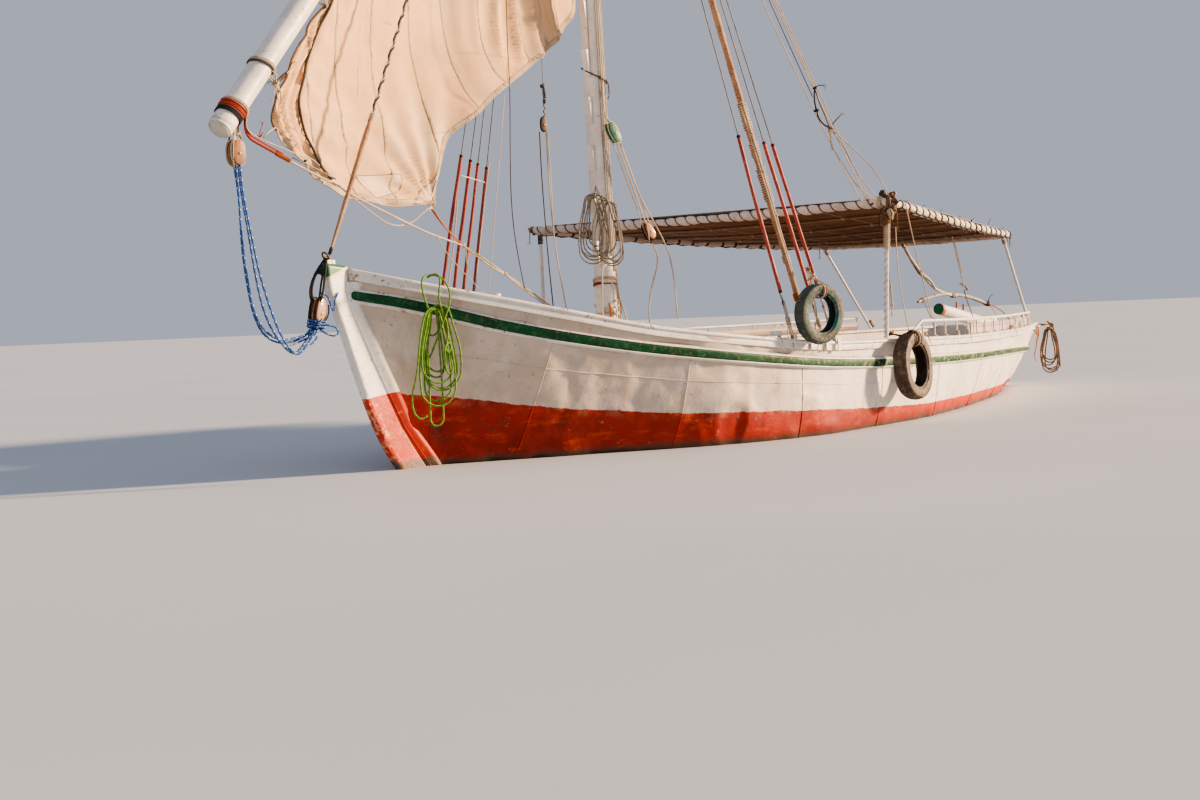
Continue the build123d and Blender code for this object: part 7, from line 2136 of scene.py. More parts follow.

# masthead: seizings, the halyard's ropes to the yard; parrel round mast and yard
G = Geo()
for z_, d, m, tn in ((8.335, 0.014, CRE, 3.2), (8.405, 0.013, DRK, 2.2), (8.455, 0.013, PAL, 2.3), (8.650, 0.012, DRK, 2.1)):
    mast_ring(G, z_, d, m, tn, 0.006, 0.002, start=z_)
for side in (1, -1):
    for k in range(4):
        p = np.array([XB + 0.022 - 0.015 * k, side * (RT + 0.030), 8.600])
        th = np.linspace(0, 2 * math.pi, 18)
        G.tube(p + 0.020 * (np.cos(th)[:, None] * np.array([1.0, 0, 0]) + np.sin(th)[:, None] * np.array([0, 0, 1.0])), 0.0060, 7, WIR)
G.build("masthead_seizings", RIG, "hull", "rope_cream")
G = Geo()
q = YARD_HANG
for k, (dx, dy) in enumerate(((0.0, 0.02), (0.03, -0.02))):
    top = np.array([mast_x(8.42) + 0.0 + 0.030 * k, -(mast_r(8.42) + 0.030), 8.42])
    yp = yard_pt(q + 0.03 * (k - 0.5), -(yard_r(q) + 0.014), 0.0)
    lay(G, [top, lerp(top, yp, 0.5), yp], 0.0165, CRE, per=14)
for k in range(4):
    yard_ring(G, q - 0.05 + 0.026 * k, 0.0155, (CRE, DRK, CRE, PAL)[k], 1.3, 0.012, 0.002, start=k)
knot(G, yard_pt(q, -(yard_r(q) + 0.030)), 0.040, 0.0155, CRE, 91)
# parrel: two turns that go round the yard and the mast together
zq = yard_pt(q)[2]
c1, c2 = np.array([mast_x(zq), 0.0]), np.array([yard_pt(q)[0], YARD_Y])
for k, zo in enumerate((-0.10, -0.055, 0.05, 0.09)):
    h2 = hull_of_circles(c1, mast_r(zq) + 0.020, c2 - [zo * 0.895, 0], yard_r(q) * 1.30 + 0.010, 40)
    h2 = np.concatenate([h2, h2[:1]])
    lay(G, np.stack([h2[:, 0], h2[:, 1], np.full(len(h2), zq + zo)], 1), 0.0155, (CRE, BRO, CRE, DRK)[k])
G.build("parrel_and_halyard_bend", RIG, "yard", "rope_cream")

# ------------------------------------------------------------------- halyard purchase on the port side
G = Geo()
HB, LB = np.array([3.175, 0.195, 2.900]), np.array([2.720, 0.255, 1.980])
hu = unit(HB - LB)
pulley(G, HB, hu, (0.3, 0.95, 0.1), 0.098, 0.205, 0.080, 2, 0, 1, 2, 0.014)
pulley(G, LB, hu, (0.3, 0.95, 0.1), 0.086, 0.165, 0.080, 2, 3, 1, 4, 0.014)
G.build("halyard_block_shells", [M_GREENPAINT, M_GALV, M_CREAM2, M_BLOCKW, M_BLACKROPE], "hull", "block_wood", ["halyard_blocks"])
G = Geo()
ax_ = unit(np.cross(hu, [0.3, 0.95, 0.1]))
for k, (o, w) in enumerate(((-0.028, -0.016), (-0.010, 0.016), (0.012, -0.016), (0.030, 0.016))):
    a_ = HB - hu * 0.05 + ax_ * o * 1.2 + np.array([0.3, 0.95, 0.1]) * w
    b_ = LB + hu * 0.05 + ax_ * o * 1.0 + np.array([0.3, 0.95, 0.1]) * w
    taut(G, a_, b_, 0.0125, CRE if k % 2 else PAL)
lay(G, [HB + hu * 0.10, HB + hu * 0.17 + [0.006, -0.02, 0.01], on_mast(3.25, 0.075, 0.03), on_mast(3.40, 0.080, 0.02)], 0.0140, PAL, per=8)
knot(G, HB + hu * 0.125, 0.026, 0.012, PAL, 101)
lay(G, [HB - hu * 0.06 + [-0.03, 0.02, 0], (2.907, 0.260, 2.361), (2.709, 0.290, 2.108), (2.524, 0.320, 1.858), (2.460, 0.340, 1.673), (2.439, 0.360, 1.398), (2.454, 0.380, 1.124)], 0.0125, CRE, per=12)
lay(G, [LB - hu * 0.09, LB - hu * 0.16, LB - hu * 0.30 + [0, 0.01, 0], (2.807, 0.270, 1.310), (2.833, 0.300, 1.098)], 0.0150, CRE, per=12)
knot(G, LB - hu * 0.105, 0.028, 0.0125, BLK, 103)
knot(G, LB + hu * 0.105, 0.026, 0.0115, CRE, 104)
tail(G, LB + hu * 0.10 + [0.02, 0.03, 0], [(0.02, 0.02, -0.05), (0.0, 0.01, -0.07), (-0.01, 0, -0.06)], 0.011, CRE, 105)
G.build("halyard_fall", RIG, "hull", "rope_cream")

# dark purchase that hangs from the yard on the far side of the mast, down to the deck
G = Geo()
yy = -0.60
T0 = np.array((3.162, -0.600, 3.701))
YT = np.array(yard_pt(6.30, 0.0, 0.0)) + [0.0, -(yard_r(6.3) + 0.012), -0.02]
taut(G, YT, (3.180, -0.600, 3.450), 0.0075, WIR, laid=False)
yard_ring(G, 6.28, 0.0130, DRK, 2.2, 0.010)
knot(G, YT, 0.026, 0.011, DRK, 113)
bun = np.array([(3.180, -0.600, 3.450), (3.157, -0.600, 3.317), (3.179, -0.600, 3.123)])
lay(G, wind(bun, 0.014, 0.022, 0.0, 0.19, 10, 0.0, 0.2, 5), 0.0120, DRK)
lay(G, wind(bun, 0.010, 0.060, 0.12, 0.36, 10, 1.0, 0.2, 5), 0.0115, BRO)
knot(G, (3.206, -0.600, 3.428), 0.022, 0.010, DRK, 111)
lay(G, [(3.248, -0.610, 2.984), (3.264, -0.600, 2.607), (3.203, -0.620, 2.080), (3.179, -0.620, 1.721), (3.130, -0.620, 1.262)], 0.0115, DRK, per=14)
lay(G, [(3.170, -0.590, 2.987), (3.151, -0.600, 2.613), (3.115, -0.600, 2.080), (3.059, -0.600, 1.720), (2.942, -0.600, 1.258)], 0.0115, CRE, per=14)
lay(G, [(3.159, -0.580, 2.987), (3.136, -0.580, 2.515), (3.135, -0.580, 2.069)], 0.0105, CRE, per=14)
far_rope = G.build("far_purchase_ropes", RIG, None, "rope_cream")
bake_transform(far_rope)
G = Geo()
pulley(G, (3.192, -0.600, 3.059), (0.0, 0, 1), (0.5, 0.85, 0), 0.062, 0.135, 0.05, 1, 0, 1, 2, 0.012)
G.build("far_block", [M_TIMBER, M_GALV, M_BLACKROPE], "hull", "block_wood")


# =================================================================== awning
AF, AR = np.array([1.345, 2.155, 2.168]), np.array([-3.915, 1.300, 1.998])


def awn(u, v, sag=1.0):
    """A point of the awning: u from the front edge to the rear, v from starboard to port, 0 to 1."""
    u, v = np.asarray(u, float), np.asarray(v, float)
    x = AF[0] + (AR[0] - AF[0]) * u
    hw = AF[1] + (AR[1] - AF[1]) * u
    y = hw * (2 * v - 1)
    z = AF[2] + (AR[2] - AF[2]) * u
    # it hangs a little between its four edges, more towards the middle, and each lath bay has its own dip
    s = 16 * u * (1 - u) * v * (1 - v)
    z = z - sag * (0.050 * s + 0.010 * np.sin(math.pi * u) * (1 - np.abs(2 * v - 1)))
    p = np.stack(np.broadcast_arrays(x, y, z * 1.0), -1)
    z = z + sag * 0.007 * vnoise(p * [1, 1, 0], 1.9, 71) * s ** 0.5 + sag * 0.003 * vnoise(p * [1, 1, 0], 6.0, 72) * s ** 0.5
    return np.stack(np.broadcast_arrays(x, y, z), -1)


def mat_material():
    """Brown matting of split laths, in panels whose laths run athwart, each panel a little different."""
    M = Mat("reed_mat")
    x, y, z = M.xyz()
    row = M.math("FLOOR", M.math("DIVIDE", x, 0.130))
    off = M.math("MULTIPLY", M.math("FRACT", M.math("MULTIPLY", row, 0.382)), 1.30)
    col = M.math("FLOOR", M.math("DIVIDE", M.math("ADD", y, off), 1.02))
    cell = M.node("ShaderNodeTexWhiteNoise", noise_dimensions="2D")
    M.put(cell.inputs["Vector"], M.node_combine(row, col, 0.0))
    k = cell.outputs[0]
    g = M.noise(30, 4, 0.65, M.scale((3.0, 0.10, 1)))
    c = M.mix(M.step(g, 0.3, 0.7), (0.235, 0.110, 0.055), (0.145, 0.066, 0.035))
    c = M.mix(M.math("MULTIPLY", M.step(k, 0.30, 0.95), 0.62), c, (0.34, 0.165, 0.080))
    c = M.mix(M.math("MULTIPLY", M.step(k, 0.25, 0.0), 0.50), c, (0.085, 0.040, 0.024))
    c = M.mix(M.math("MULTIPLY", M.step(M.noise(2.2, 4, 0.6), 0.48, 0.72), 0.45), c, (0.10, 0.055, 0.035))
    lath = M.math("ABSOLUTE", M.math("SUBTRACT", M.math("FRACT", M.math("MULTIPLY", x, 76.9)), 0.5))
    c = M.mix(M.math("MULTIPLY", M.step(lath, 0.40, 0.49), 0.8), c, (0.030, 0.017, 0.012))
    ty = M.math("ABSOLUTE", M.math("SUBTRACT", M.math("FRACT", M.math("MULTIPLY", y, 3.9)), 0.5))
    c = M.mix(M.math("MULTIPLY", M.step(ty, 0.012, 0.018, 1.0, 0.0), 0.6), c, (0.36, 0.27, 0.17))
    h = M.math("ADD", M.math("MULTIPLY", M.step(lath, 0.28, 0.5, 1.0, 0.0), 1.0), M.math("MULTIPLY", g, 0.4))
    return M.set(color=c, rough=0.72, spec=0.3, normal=M.bump(h, 0.003))


def canvas_material(name, a, b, dirt):
    M = Mat(name)
    c = M.mix(M.step(M.noise(2.2, 4, 0.6), 0.32, 0.68), a, b)
    c = M.mix(M.math("MULTIPLY", M.step(M.noise(7, 5, 0.68), 0.50, 0.72), 0.55), c, dirt)
    c = M.mix(M.math("MULTIPLY", M.step(M.noise(34, 4, 0.7), 0.58, 0.68), 0.35), c, blocky(dirt, 0.6))
    x, y, z = M.xyz()
    wv = M.math("MULTIPLY", M.math("SINE", M.math("MULTIPLY", M.math("ADD", x, z), 2100.0)), M.math("SINE", M.math("MULTIPLY", M.math("ADD", y, z), 2100.0)))
    h = M.math("ADD", M.math("MULTIPLY", wv, 0.1), M.math("ADD", M.math("MULTIPLY", M.noise(18, 4, 0.6), 1.4), M.math("MULTIPLY", M.noise(90, 3, 0.6), 0.4)))
    return M.set(color=c, rough=0.85, sheen=0.15, spec=0.2, normal=M.bump(h, 0.0022))


M_REED = mat_material()
M_CANVAS = canvas_material("awning_canvas", (0.74, 0.66, 0.60), (0.60, 0.52, 0.46), (0.38, 0.30, 0.24))
M_CANVAS_TOP = canvas_material("awning_top", (0.68, 0.64, 0.57), (0.56, 0.51, 0.44), (0.38, 0.32, 0.25))

# the mat, ridged by its laths: real relief on both faces
nu, nv = 401, 20
uu, vv = np.meshgrid(np.linspace(0, 1, nu), np.linspace(0, 1, nv), indexing="ij")
ridge = np.abs(np.sin(math.pi * uu * 100))
mid = awn(uu, vv)
G = Geo()
low, top = mid.copy(), mid.copy()
low[..., 2] -= 0.008 + 0.0038 * ridge ** 0.7
top[..., 2] += 0.006 + 0.0030 * ridge ** 0.7
G.grid(low, 0, flip=False)
G.grid(top, 0, flip=True)
for a, b, fl in ((low[0], top[0], False), (low[-1], top[-1], True), (low[:, 0], top[:, 0], True), (low[:, -1], top[:, -1], False)):
    G.grid(np.stack([a, b], 1), 0, flip=fl)
mat = G.build("awning_reed_mat", [M_REED], "hull", "reed_mat", ["awning_mat"], recalc=False)
# battens over the mat, and the cords that sew it
G = Geo()
for u0 in (0.17, 0.335, 0.50, 0.665, 0.83):
    v_ = np.linspace(0.004, 0.996, 40)
    ln = awn(np.full(40, u0), v_)
    ln[:, 2] -= 0.026
    G.tube(ln, 0.0165, 10, 0, flat=0.8)
for v0 in (0.20, 0.40, 0.60, 0.80):
    u_ = np.linspace(0.004, 0.996, 120)
    ln = awn(u_, np.full(120, v0))
    ln[:, 2] -= 0.0135 + 0.0020 * np.abs(np.sin(math.pi * u_ * 100))
    G.tube(ln, 0.0022, 5, 1)
for u0 in (0.17, 0.335, 0.50, 0.665, 0.83):
    for v0 in (0.20, 0.40, 0.60, 0.80):
        c = awn(u0, v0) - [0, 0, 0.022]
        lay(G, wind(np.stack([c - [0, 0.02, 0], c + [0, 0.02, 0]]), 0.0195, 0.012, 0, 0.040, 10), 0.0045, 1)
batt = G.build("awning_battens", [M_TIMBER, M_CREAM2], "hull", "timber")
# canvas over the top, which turns down over the edges
nu, nv = 90, 60
uu, vv = np.meshgrid(np.linspace(-0.004, 1.004, nu), np.linspace(-0.006, 1.006, nv), indexing="ij")
mid = awn(np.clip(uu, 0, 1), np.clip(vv, 0, 1))
edge = np.minimum(np.minimum(uu + 0.004, 1.004 - uu) * 5.2, np.minimum(vv + 0.006, 1.006 - vv) * 3.5)
lift = 0.016 + 0.026 * np.exp(-(edge / 0.12) ** 2)
mid[..., 2] += lift + 0.004 * np.sin(uu * 42 + 3 * vnoise(mid, 1.5, 75)) * smooth01(edge / 0.2)
mid[..., 2] += 0.004 * vnoise(mid, 5, 76) * smooth01(edge / 0.1)
G = Geo()
low = mid - [0, 0, 0.0012]
top = mid + [0, 0, 0.0012]
G.grid(low, 0, flip=False)
G.grid(top, 0, flip=True)
for a, b, fl in ((low[0], top[0], False), (low[-1], top[-1], True), (low[:, 0], top[:, 0], True), (low[:, -1], top[:, -1], False)):
    G.grid(np.stack([a, b], 1), 0, flip=fl)
cover = G.build("awning_cover", [M_CANVAS_TOP], "hull", "canvas")


def scalloped(G, line, r0, bulge, pitch, mi=0, seed=1, phase=0.0, lift=0.0, rings=False):
    """Canvas drawn round a tube by lacing: it swells between the turns, which run round as a helix."""
    line = resample(line, pitch / 9)
    s = np.concatenate([[0], np.cumsum(np.linalg.norm(np.diff(line, axis=0), axis=1))])
    m, sides = len(line), 20
    t, nn, bb = frames(line)
    ang = np.arange(sides) / sides * 2 * math.pi
    warp = s + 0.10 * pitch * vnoise(np.stack([s * 3, s * 0, s * 0 + seed], 1), 1.0, seed)
    ph = warp[:, None] / pitch - (0 if rings else 1) * ang[None] / (2 * math.pi) + phase
    amp = bulge * (0.75 + 0.45 * vnoise(np.stack([s * 7, s * 0, s * 0], 1), 1.0, seed + 2))[:, None]
    rr = r0 + amp * np.abs(np.sin(math.pi * ph)) ** 0.65
    crease = 0.0016 * np.sin(ang[None] * 7 + 9 * ph) * np.abs(np.sin(math.pi * ph))
    rr = rr + crease
    pts = line[:, None] + rr[..., None] * (np.cos(ang)[None, :, None] * nn[:, None] + np.sin(ang)[None, :, None] * bb[:, None])
    base = G.grid(pts, mi, wrap_u=True)
    for k, fl in ((0, True), (m - 1, False)):
        f = [base + k * sides + j for j in range(sides)]
        G.f.append(tuple(f[::-1] if fl else f))
        G.mi.append(mi)
        G.uv.extend([(0.5, 0.0)] * sides)
    # the lacing lies in the valleys
    if rings:
        # hitched: two turns at each valley, and a run along the outside to the next
        out = []
        for v in range(1, int(warp[-1] / pitch) + 1):
            sc = float(np.interp(v * pitch, warp, s))
            k0 = int(np.clip(np.searchsorted(s, sc), 0, m - 1))
            for q in np.linspace(0, 1, 30):
                a_ = 2 * math.pi * 2.0 * q + 4.1
                pos = at_len(line, np.array([min(max(sc - 0.012 + 0.024 * q, 0.0), s[-1])]))[0]
                out.append(pos + (r0 + 0.0045 + lift) * (math.cos(a_) * nn[k0] + math.sin(a_) * bb[k0]))
            sn = min(sc + pitch * 0.5, s[-1])
            k1 = int(np.clip(np.searchsorted(s, sn), 0, m - 1))
            out.append(at_len(line, np.array([sn]))[0] + (r0 + bulge + 0.006) * (math.cos(4.1) * nn[k1] + math.sin(4.1) * bb[k1]))
        return np.array(out)
    n = int(s[-1] / pitch * 14)
    sv_ = np.linspace(0.01, s[-1] - 0.01, n)
    wv_ = np.interp(sv_, s, warp)
    an = 2 * math.pi * (wv_ / pitch + phase)
    base_ = at_len(line, sv_)
    k_ = np.clip(np.searchsorted(s, sv_), 0, m - 1)
    return base_ + (r0 + 0.0030 + lift) * (np.cos(an)[:, None] * nn[k_] + np.sin(an)[:, None] * bb[k_])


FR = [np.array([1.360, -2.170, 2.170]), np.array([1.360, 2.170, 2.170]), np.array([-3.930, 1.310, 2.000]), np.array([-3.930, -1.310, 2.000])]
G, R = Geo(), Geo()
EDGES = [(FR[0], FR[1], 0.130, 0.021, 0.006, DRK), (FR[1], FR[2], 0.262, 0.020, 0.010, DRK), (FR[2], FR[3], 0.125, 0.016, 0.008, CRE), (FR[3], FR[0], 0.262, 0.018, 0.010, DRK)]
for k, (a, b, pitch, bulge, sag_, cord) in enumerate(EDGES):
    ln = straight(a + unit(b - a) * 0.03, b - unit(b - a) * 0.03, 60, 0.030 if k != 2 else 0.02)
    lace = scalloped(G, ln, 0.0300, bulge, pitch, 0, 401 + k, 0.0, 0.004 if k == 1 else 0.003, k in (1, 3))
    lr = 0.0105 if k in (1, 3) else 0.0062
    R.tube(resample(lace, 0.010), lr, 7, cord, d=lr * 2, lobes=3)
wraps = G.build("awning_edge_canvas", [M_CANVAS], "hull", "canvas", ["awning_frame"])
# loose ends of the lacing along the port edge
rng = np.random.default_rng(77)
for k in range(20):
    p = lerp(FR[1], FR[2], 0.06 + 0.90 * k / 20 + 0.02 * rng.random())
    p = p + [0, 0.034, -0.028 + 0.058 * (k % 3 == 0)]
    v = np.array([rng.normal() * 0.012, 0.016 + 0.01 * rng.random(), 0.020 * (1 if k % 3 == 0 else -1) + 0.008 * rng.normal()])
    tail(R, p, [v, v * 0.8 + [0, 0, -0.008]], 0.0062, DRK if k % 2 else BRO, 500 + k, fray=(k % 3 == 1))
    if k % 4 == 0:
        knot(R, p, 0.017, 0.008, DRK, 520 + k)
lace = R.build("awning_lacing", RIG, "hull", "rope_cream")

# corner lashings and posts
G = Geo()
CB = np.array([1.352, 2.150, 2.150])
for k, (c, s_, m) in enumerate((((0.00, 0.00, 0.050), 0.076, BRO), ((0.03, -0.085, 0.010), 0.070, CRE), ((-0.075, 0.03, -0.015), 0.068, BRO), ((0.020, 0.020, -0.095), 0.064, CRE), ((0.015, -0.150, 0.02), 0.054, DRK), ((0.00, -0.03, -0.165), 0.056, BRO), ((-0.04, 0.01, 0.09), 0.052, CRE), ((0.05, 0.02, 0.01), 0.060, BRO), ((0.03, -0.05, 0.085), 0.050, DRK))):
    knot(G, CB + c, s_ * 1.15, 0.0175, m, 600 + k, n=19)
    if k < 7:
        knot(G, CB + np.array(c) * 0.6 + [0.015, 0.010, 0.02], s_ * 0.95, 0.0150, (DRK, CRE, BRO)[k % 3], 660 + k, n=17)
POST_T, POST_B = np.array([1.310, 2.108, 2.136]), np.array([1.340, 2.068, 0.860])
pl_ = np.stack([POST_T, POST_B])
lay(G, wind(pl_, 0.0290, 0.0175, 0.03, 0.16, 12, 0.0, 0.06, 7), 0.0155, BRO)
lay(G, wind(pl_, 0.0275, 0.0180, 0.16, 0.42, 12, 0.0, 0.10, 8), 0.0140, CRE)
lay(G, wind(pl_, 0.0232, 0.070, 0.42, 1.24, 12, 0.0, 0.04, 9), 0.0075, PAL)
for k, (dx, dy) in enumerate(((0.05, 0.04), (-0.05, 0.05), (0.02, -0.09))):
    tail(G, CB + [dx * 0.6, dy * 0.6, -0.03], [(dx * 0.5, dy * 0.5, -0.04), (0.005, 0.005, -0.08), (0, 0, -0.05)], 0.010, (DRK, BRO, DRK)[k], 620 + k)
# the other three corners
for c, seed, big in ((FR[0], 640, 0.8), (FR[2], 650, 0.62), (FR[3], 660, 0.62)):
    for k in range(4):
        o = np.array([(0.0, 0.0, 0.0), (0.03, 0.02, -0.03), (-0.03, 0.01, 0.02), (0.0, -0.03, 0.03)][k]) * big
        knot(G, c + o, 0.055 * big, 0.0130, (DRK, BRO, DRK, CRE)[k], seed + k, n=13)
    tail(G, c + [0.03, 0.02 * np.sign(c[1]), -0.02], [(0.02, 0.01, -0.03), (0.0, 0.0, -0.06)], 0.009, DRK, seed + 9)
PA_T, PA_B = np.array([1.310, -2.108, 2.136]), np.array([1.340, -2.068, 0.860])
lay(G, wind(np.stack([PA_T, PA_B]), 0.0265, 0.0150, 0.02, 0.12, 12, 0.0, 0.06, 10), 0.0120, DRK)
for sg in (1, -1):
    t_ = np.stack([np.array([-3.888, sg * 1.250, 1.966]), np.array([-5.0, sg * 1.083, 0.868])])
    lay(G, wind(t_, 0.0215, 0.0120, 0.02, 0.10, 12, 0.0, 0.06, 11), 0.0100, CRE)
    lay(G, wind(t_, 0.0215, 0.0120, 1.42, 1.53, 12, 0.0, 0.06, 12), 0.0105, CRE)
G.build("awning_corner_lashings", RIG, "hull", "rope_cream")

# ropes from the masthead to the fore port corner, one of them with a knotted purchase
G = Geo()
MH = np.array([XB - 0.02, RT + 0.02, 8.500])
for k, (end, sag_, d, m) in enumerate((((1.38, 1.86, 2.205), 0.34, 0.0100, CRE), ((1.38, 1.93, 2.205), 0.16, 0.0100, CRE), ((1.38, 1.96, 2.205), 0.10, 0.0095, CRE))):
    st_ = MH + [0.02 * k, 0.0, -0.03 * k]
    taut(G, st_, np.array(end), d, m, sag=sag_, n=40)
    knot(G, np.array(end) + [0, 0, 0.0], 0.024, 0.0095, m, 700 + k)
Q1, Q2, Q3 = np.array((1.827, 1.636, 3.280)), np.array((1.733, 1.733, 2.896)), np.array((1.818, 1.644, 3.061))
taut(G, MH + [0.05, 0.0, -0.02], Q1, 0.0095, CRE, sag=0.05, n=40)
taut(G, MH + [-0.02, 0.01, -0.08], (1.842, 1.619, 3.195), 0.0085, DRK, sag=0.10, n=40)
lay(G, [Q1, (1.802, 1.661, 3.146), (1.764, 1.701, 3.031), Q2], 0.0125, BRO, per=8)
lay(G, [Q1, (1.836, 1.626, 3.176), Q3, (1.806, 1.656, 2.984), (1.767, 1.698, 2.916), Q2], 0.0140, BLK, per=8)
knot(G, Q1, 0.024, 0.0100, BLK, 710)
knot(G, Q3, 0.032, 0.0115, BLK, 711)
knot(G, Q2, 0.060, 0.0130, DRK, 712, n=15)
knot(G, Q2 + [0.01, 0.01, -0.02], 0.055, 0.0125, CRE, 713, n=13)
tail(G, Q1, [(-0.02, 0.03, 0.03), (-0.02, 0.03, -0.01)], 0.009, BLK, 714)
tail(G, Q2 + [0, 0.03, 0.03], [(-0.02, 0.04, 0.05), (-0.015, 0.03, 0.03)], 0.012, BRO, 715)
lay(G, [Q2, (1.729, 1.737, 2.772), (1.717, 1.749, 2.685)], 0.0200, CRE, per=8)
lay(G, [(1.717, 1.749, 2.704), (1.632, 1.838, 2.500), (1.559, 1.912, 2.324), (1.38, 2.00, 2.205)], 0.0095, CRE, per=12)
lay(G, [Q2, (1.673, 1.795, 2.789), (1.601, 1.869, 2.595), (1.523, 1.950, 2.381), (1.38, 2.05, 2.205)], 0.0100, CRE, per=12)
lay(G, [Q2, (1.598, 1.872, 2.729), (1.396, 2.081, 2.443), (1.400, 2.190, 2.190)], 0.0120, CRE, per=12)
G.build("backstay_ropes", RIG, "hull", "rope_cream")

# ------------------------------------------------------------------- lines that hang from the awning, and the loose gear beneath it
G = Geo()
lay(G, [(1.285, 2.060, 2.130), (1.269, 2.060, 1.898), (1.215, 2.050, 1.587), (1.144, 2.040, 1.332)], 0.0105, CRE, per=10)
lay(G, wind(np.array([(1.153, 2.040, 1.372), (1.102, 2.030, 1.155)]), 0.013, 0.020, 0.0, 0.30, 10, 0, 0.2, 3), 0.0100, CRE)
tail(G, (1.112, 2.030, 1.175), [(0.01, 0, -0.05), (-0.01, 0, -0.04)], 0.010, CRE, 730)
lay(G, [(1.156, 2.120, 1.935), (1.148, 2.120, 1.583), (1.036, 2.100, 1.270), (0.832, 2.080, 0.899)], 0.0100, CRE, per=10)
lay(G, [(1.004, 2.160, 2.181), (0.704, 2.120, 1.705), (0.454, 2.100, 1.334), (0.140, 2.060, 0.848), (0.073, 2.050, 0.763)], 0.0105, CRE, per=12)
knot(G, (0.108, 2.050, 0.806), 0.028, 0.0115, BRO, 731)
lay(G, [(-1.405, 1.620, 1.912), (-1.519, 1.620, 1.701), (-1.639, 1.620, 1.487), (-1.692, 1.620, 1.350)], 0.0125, CRE, per=10)
lay(G, [(-1.448, 1.620, 1.891), (-1.560, 1.620, 1.678), (-1.647, 1.620, 1.509)], 0.0095, BRO, per=10)
knot(G, (-1.722, 1.620, 1.361), 0.045, 0.0140, CRE, 733, n=13)
knot(G, (-1.792, 1.620, 1.327), 0.038, 0.0130, CRE, 734)
lay(G, [(-1.704, 1.620, 1.316), (-1.755, 1.620, 1.224), (-1.875, 1.620, 1.085), (-2.033, 1.600, 0.956)], 0.0115, BRO, per=10)
# thick cream rope with an eye splice, from a wooden toggle to the arched pole
TG0, TG1 = np.array((-0.374, 1.500, 1.800)), np.array((-0.779, 1.500, 1.494))
lathe(G, TG0, TG1 - TG0, [(0.0, -0.03), (0.018, -0.026), (0.022, -0.010), (0.016, 0.006), (0.013, 0.03), (0.017, 0.12), (0.017, 0.34), (0.012, float(np.linalg.norm(TG1 - TG0)) - 0.02), (0.0, float(np.linalg.norm(TG1 - TG0)))], 12, 10)
lay(G, [TG0 + [0, 0.02, -0.01], (-0.429, 1.530, 1.708), (-0.577, 1.530, 1.612), (-0.752, 1.530, 1.509), (-0.931, 1.530, 1.409), (-1.115, 1.530, 1.331), (-1.336, 1.540, 1.284), (-1.588, 1.540, 1.253), (-1.713, 1.530, 1.263)], 0.0310, PAL, per=10)
lay(G, [(-0.693, 1.545, 1.513), (-0.824, 1.550, 1.475), (-0.993, 1.550, 1.403), (-1.068, 1.545, 1.342)], 0.0240, PAL, per=10)
for px in (0,):
    lay(G, wind(np.array([(-0.716, 1.535, 1.519), (-0.817, 1.535, 1.465)]), 0.022, 0.011, 0, 0.10, 10), 0.0085, CRE)
    lay(G, wind(np.array([(-1.531, 1.540, 1.258), (-1.673, 1.540, 1.249)]), 0.024, 0.011, 0, 0.09, 10), 0.0085, CRE)
G.build("awning_hanging_ropes", RIG + [M_BLOCKW], "hull", "rope_cream")
G = Geo()
PP = nurbs([(-0.560, 1.560, 1.195), (-1.000, 1.545, 1.262), (-1.500, 1.528, 1.278), (-2.050, 1.510, 1.246), (-2.500, 1.492, 1.185), (-2.860, 1.480, 1.122)], 14)
PP = resample(PP, 0.03)
s_ = np.linspace(0, 2.3, len(PP))
G.tube(PP, np.interp(s_, [0, 0.05, 2.2, 2.3], [0.012, 0.018, 0.021, 0.014]) * (1 + 0.08 * vnoise(np.stack([s_ * 6, s_ * 0, s_ * 0], 1), 1, 741)), 12, 0)
for k in range(7):
    c = PP[6 + 10 * k] if 6 + 10 * k < len(PP) else PP[-4]
    lathe(G, c + [0, 0.012, 0.010], (0.1, 0.8, 0.5), [(0.014, -0.008), (0.010, 0.004), (0.006, 0.010), (0.0, 0.011)], 10, 0)
G.build("arched_pole", [M_GREYWOOD], "hull", "pole_paint", ["boat_pole"])
G = Geo()
pe = PP[-6]
lay(G, wind(PP[-9:], 0.0255, 0.0125, 0.02, 0.11, 12), 0.0105, DRK)
knot(G, pe + [0, 0.02, 0.02], 0.028, 0.0105, DRK, 745)
tail(G, pe + [0, 0.02, 0.03], [(0.02, 0.01, 0.03), (-0.02, 0.01, 0.02)], 0.009, DRK, 746)
lay(G, [pe + [0, 0.02, 0], (-3.175, 1.470, 1.073), (-3.416, 1.450, 0.989), (-3.610, 1.430, 0.905), (-3.713, 1.420, 0.810)], 0.0125, RED, per=10)
lay(G, [pe + [0, 0.02, 0], (-2.987, 1.480, 1.058), (-3.093, 1.460, 0.948)], 0.0105, CRE, per=10)
lay(G, wind(PP[3:12], 0.0235, 0.0130, 0.02, 0.09, 12), 0.0105, CRE)
lay(G, [PP[6], PP[6] + [0.03, 0.05, -0.10], PP[6] + [0.02, 0.10, -0.24], (-0.62, 1.90, 1.010)], 0.0105, CRE, per=10)
G.build("pole_lashings", RIG, "hull", "rope_cream")


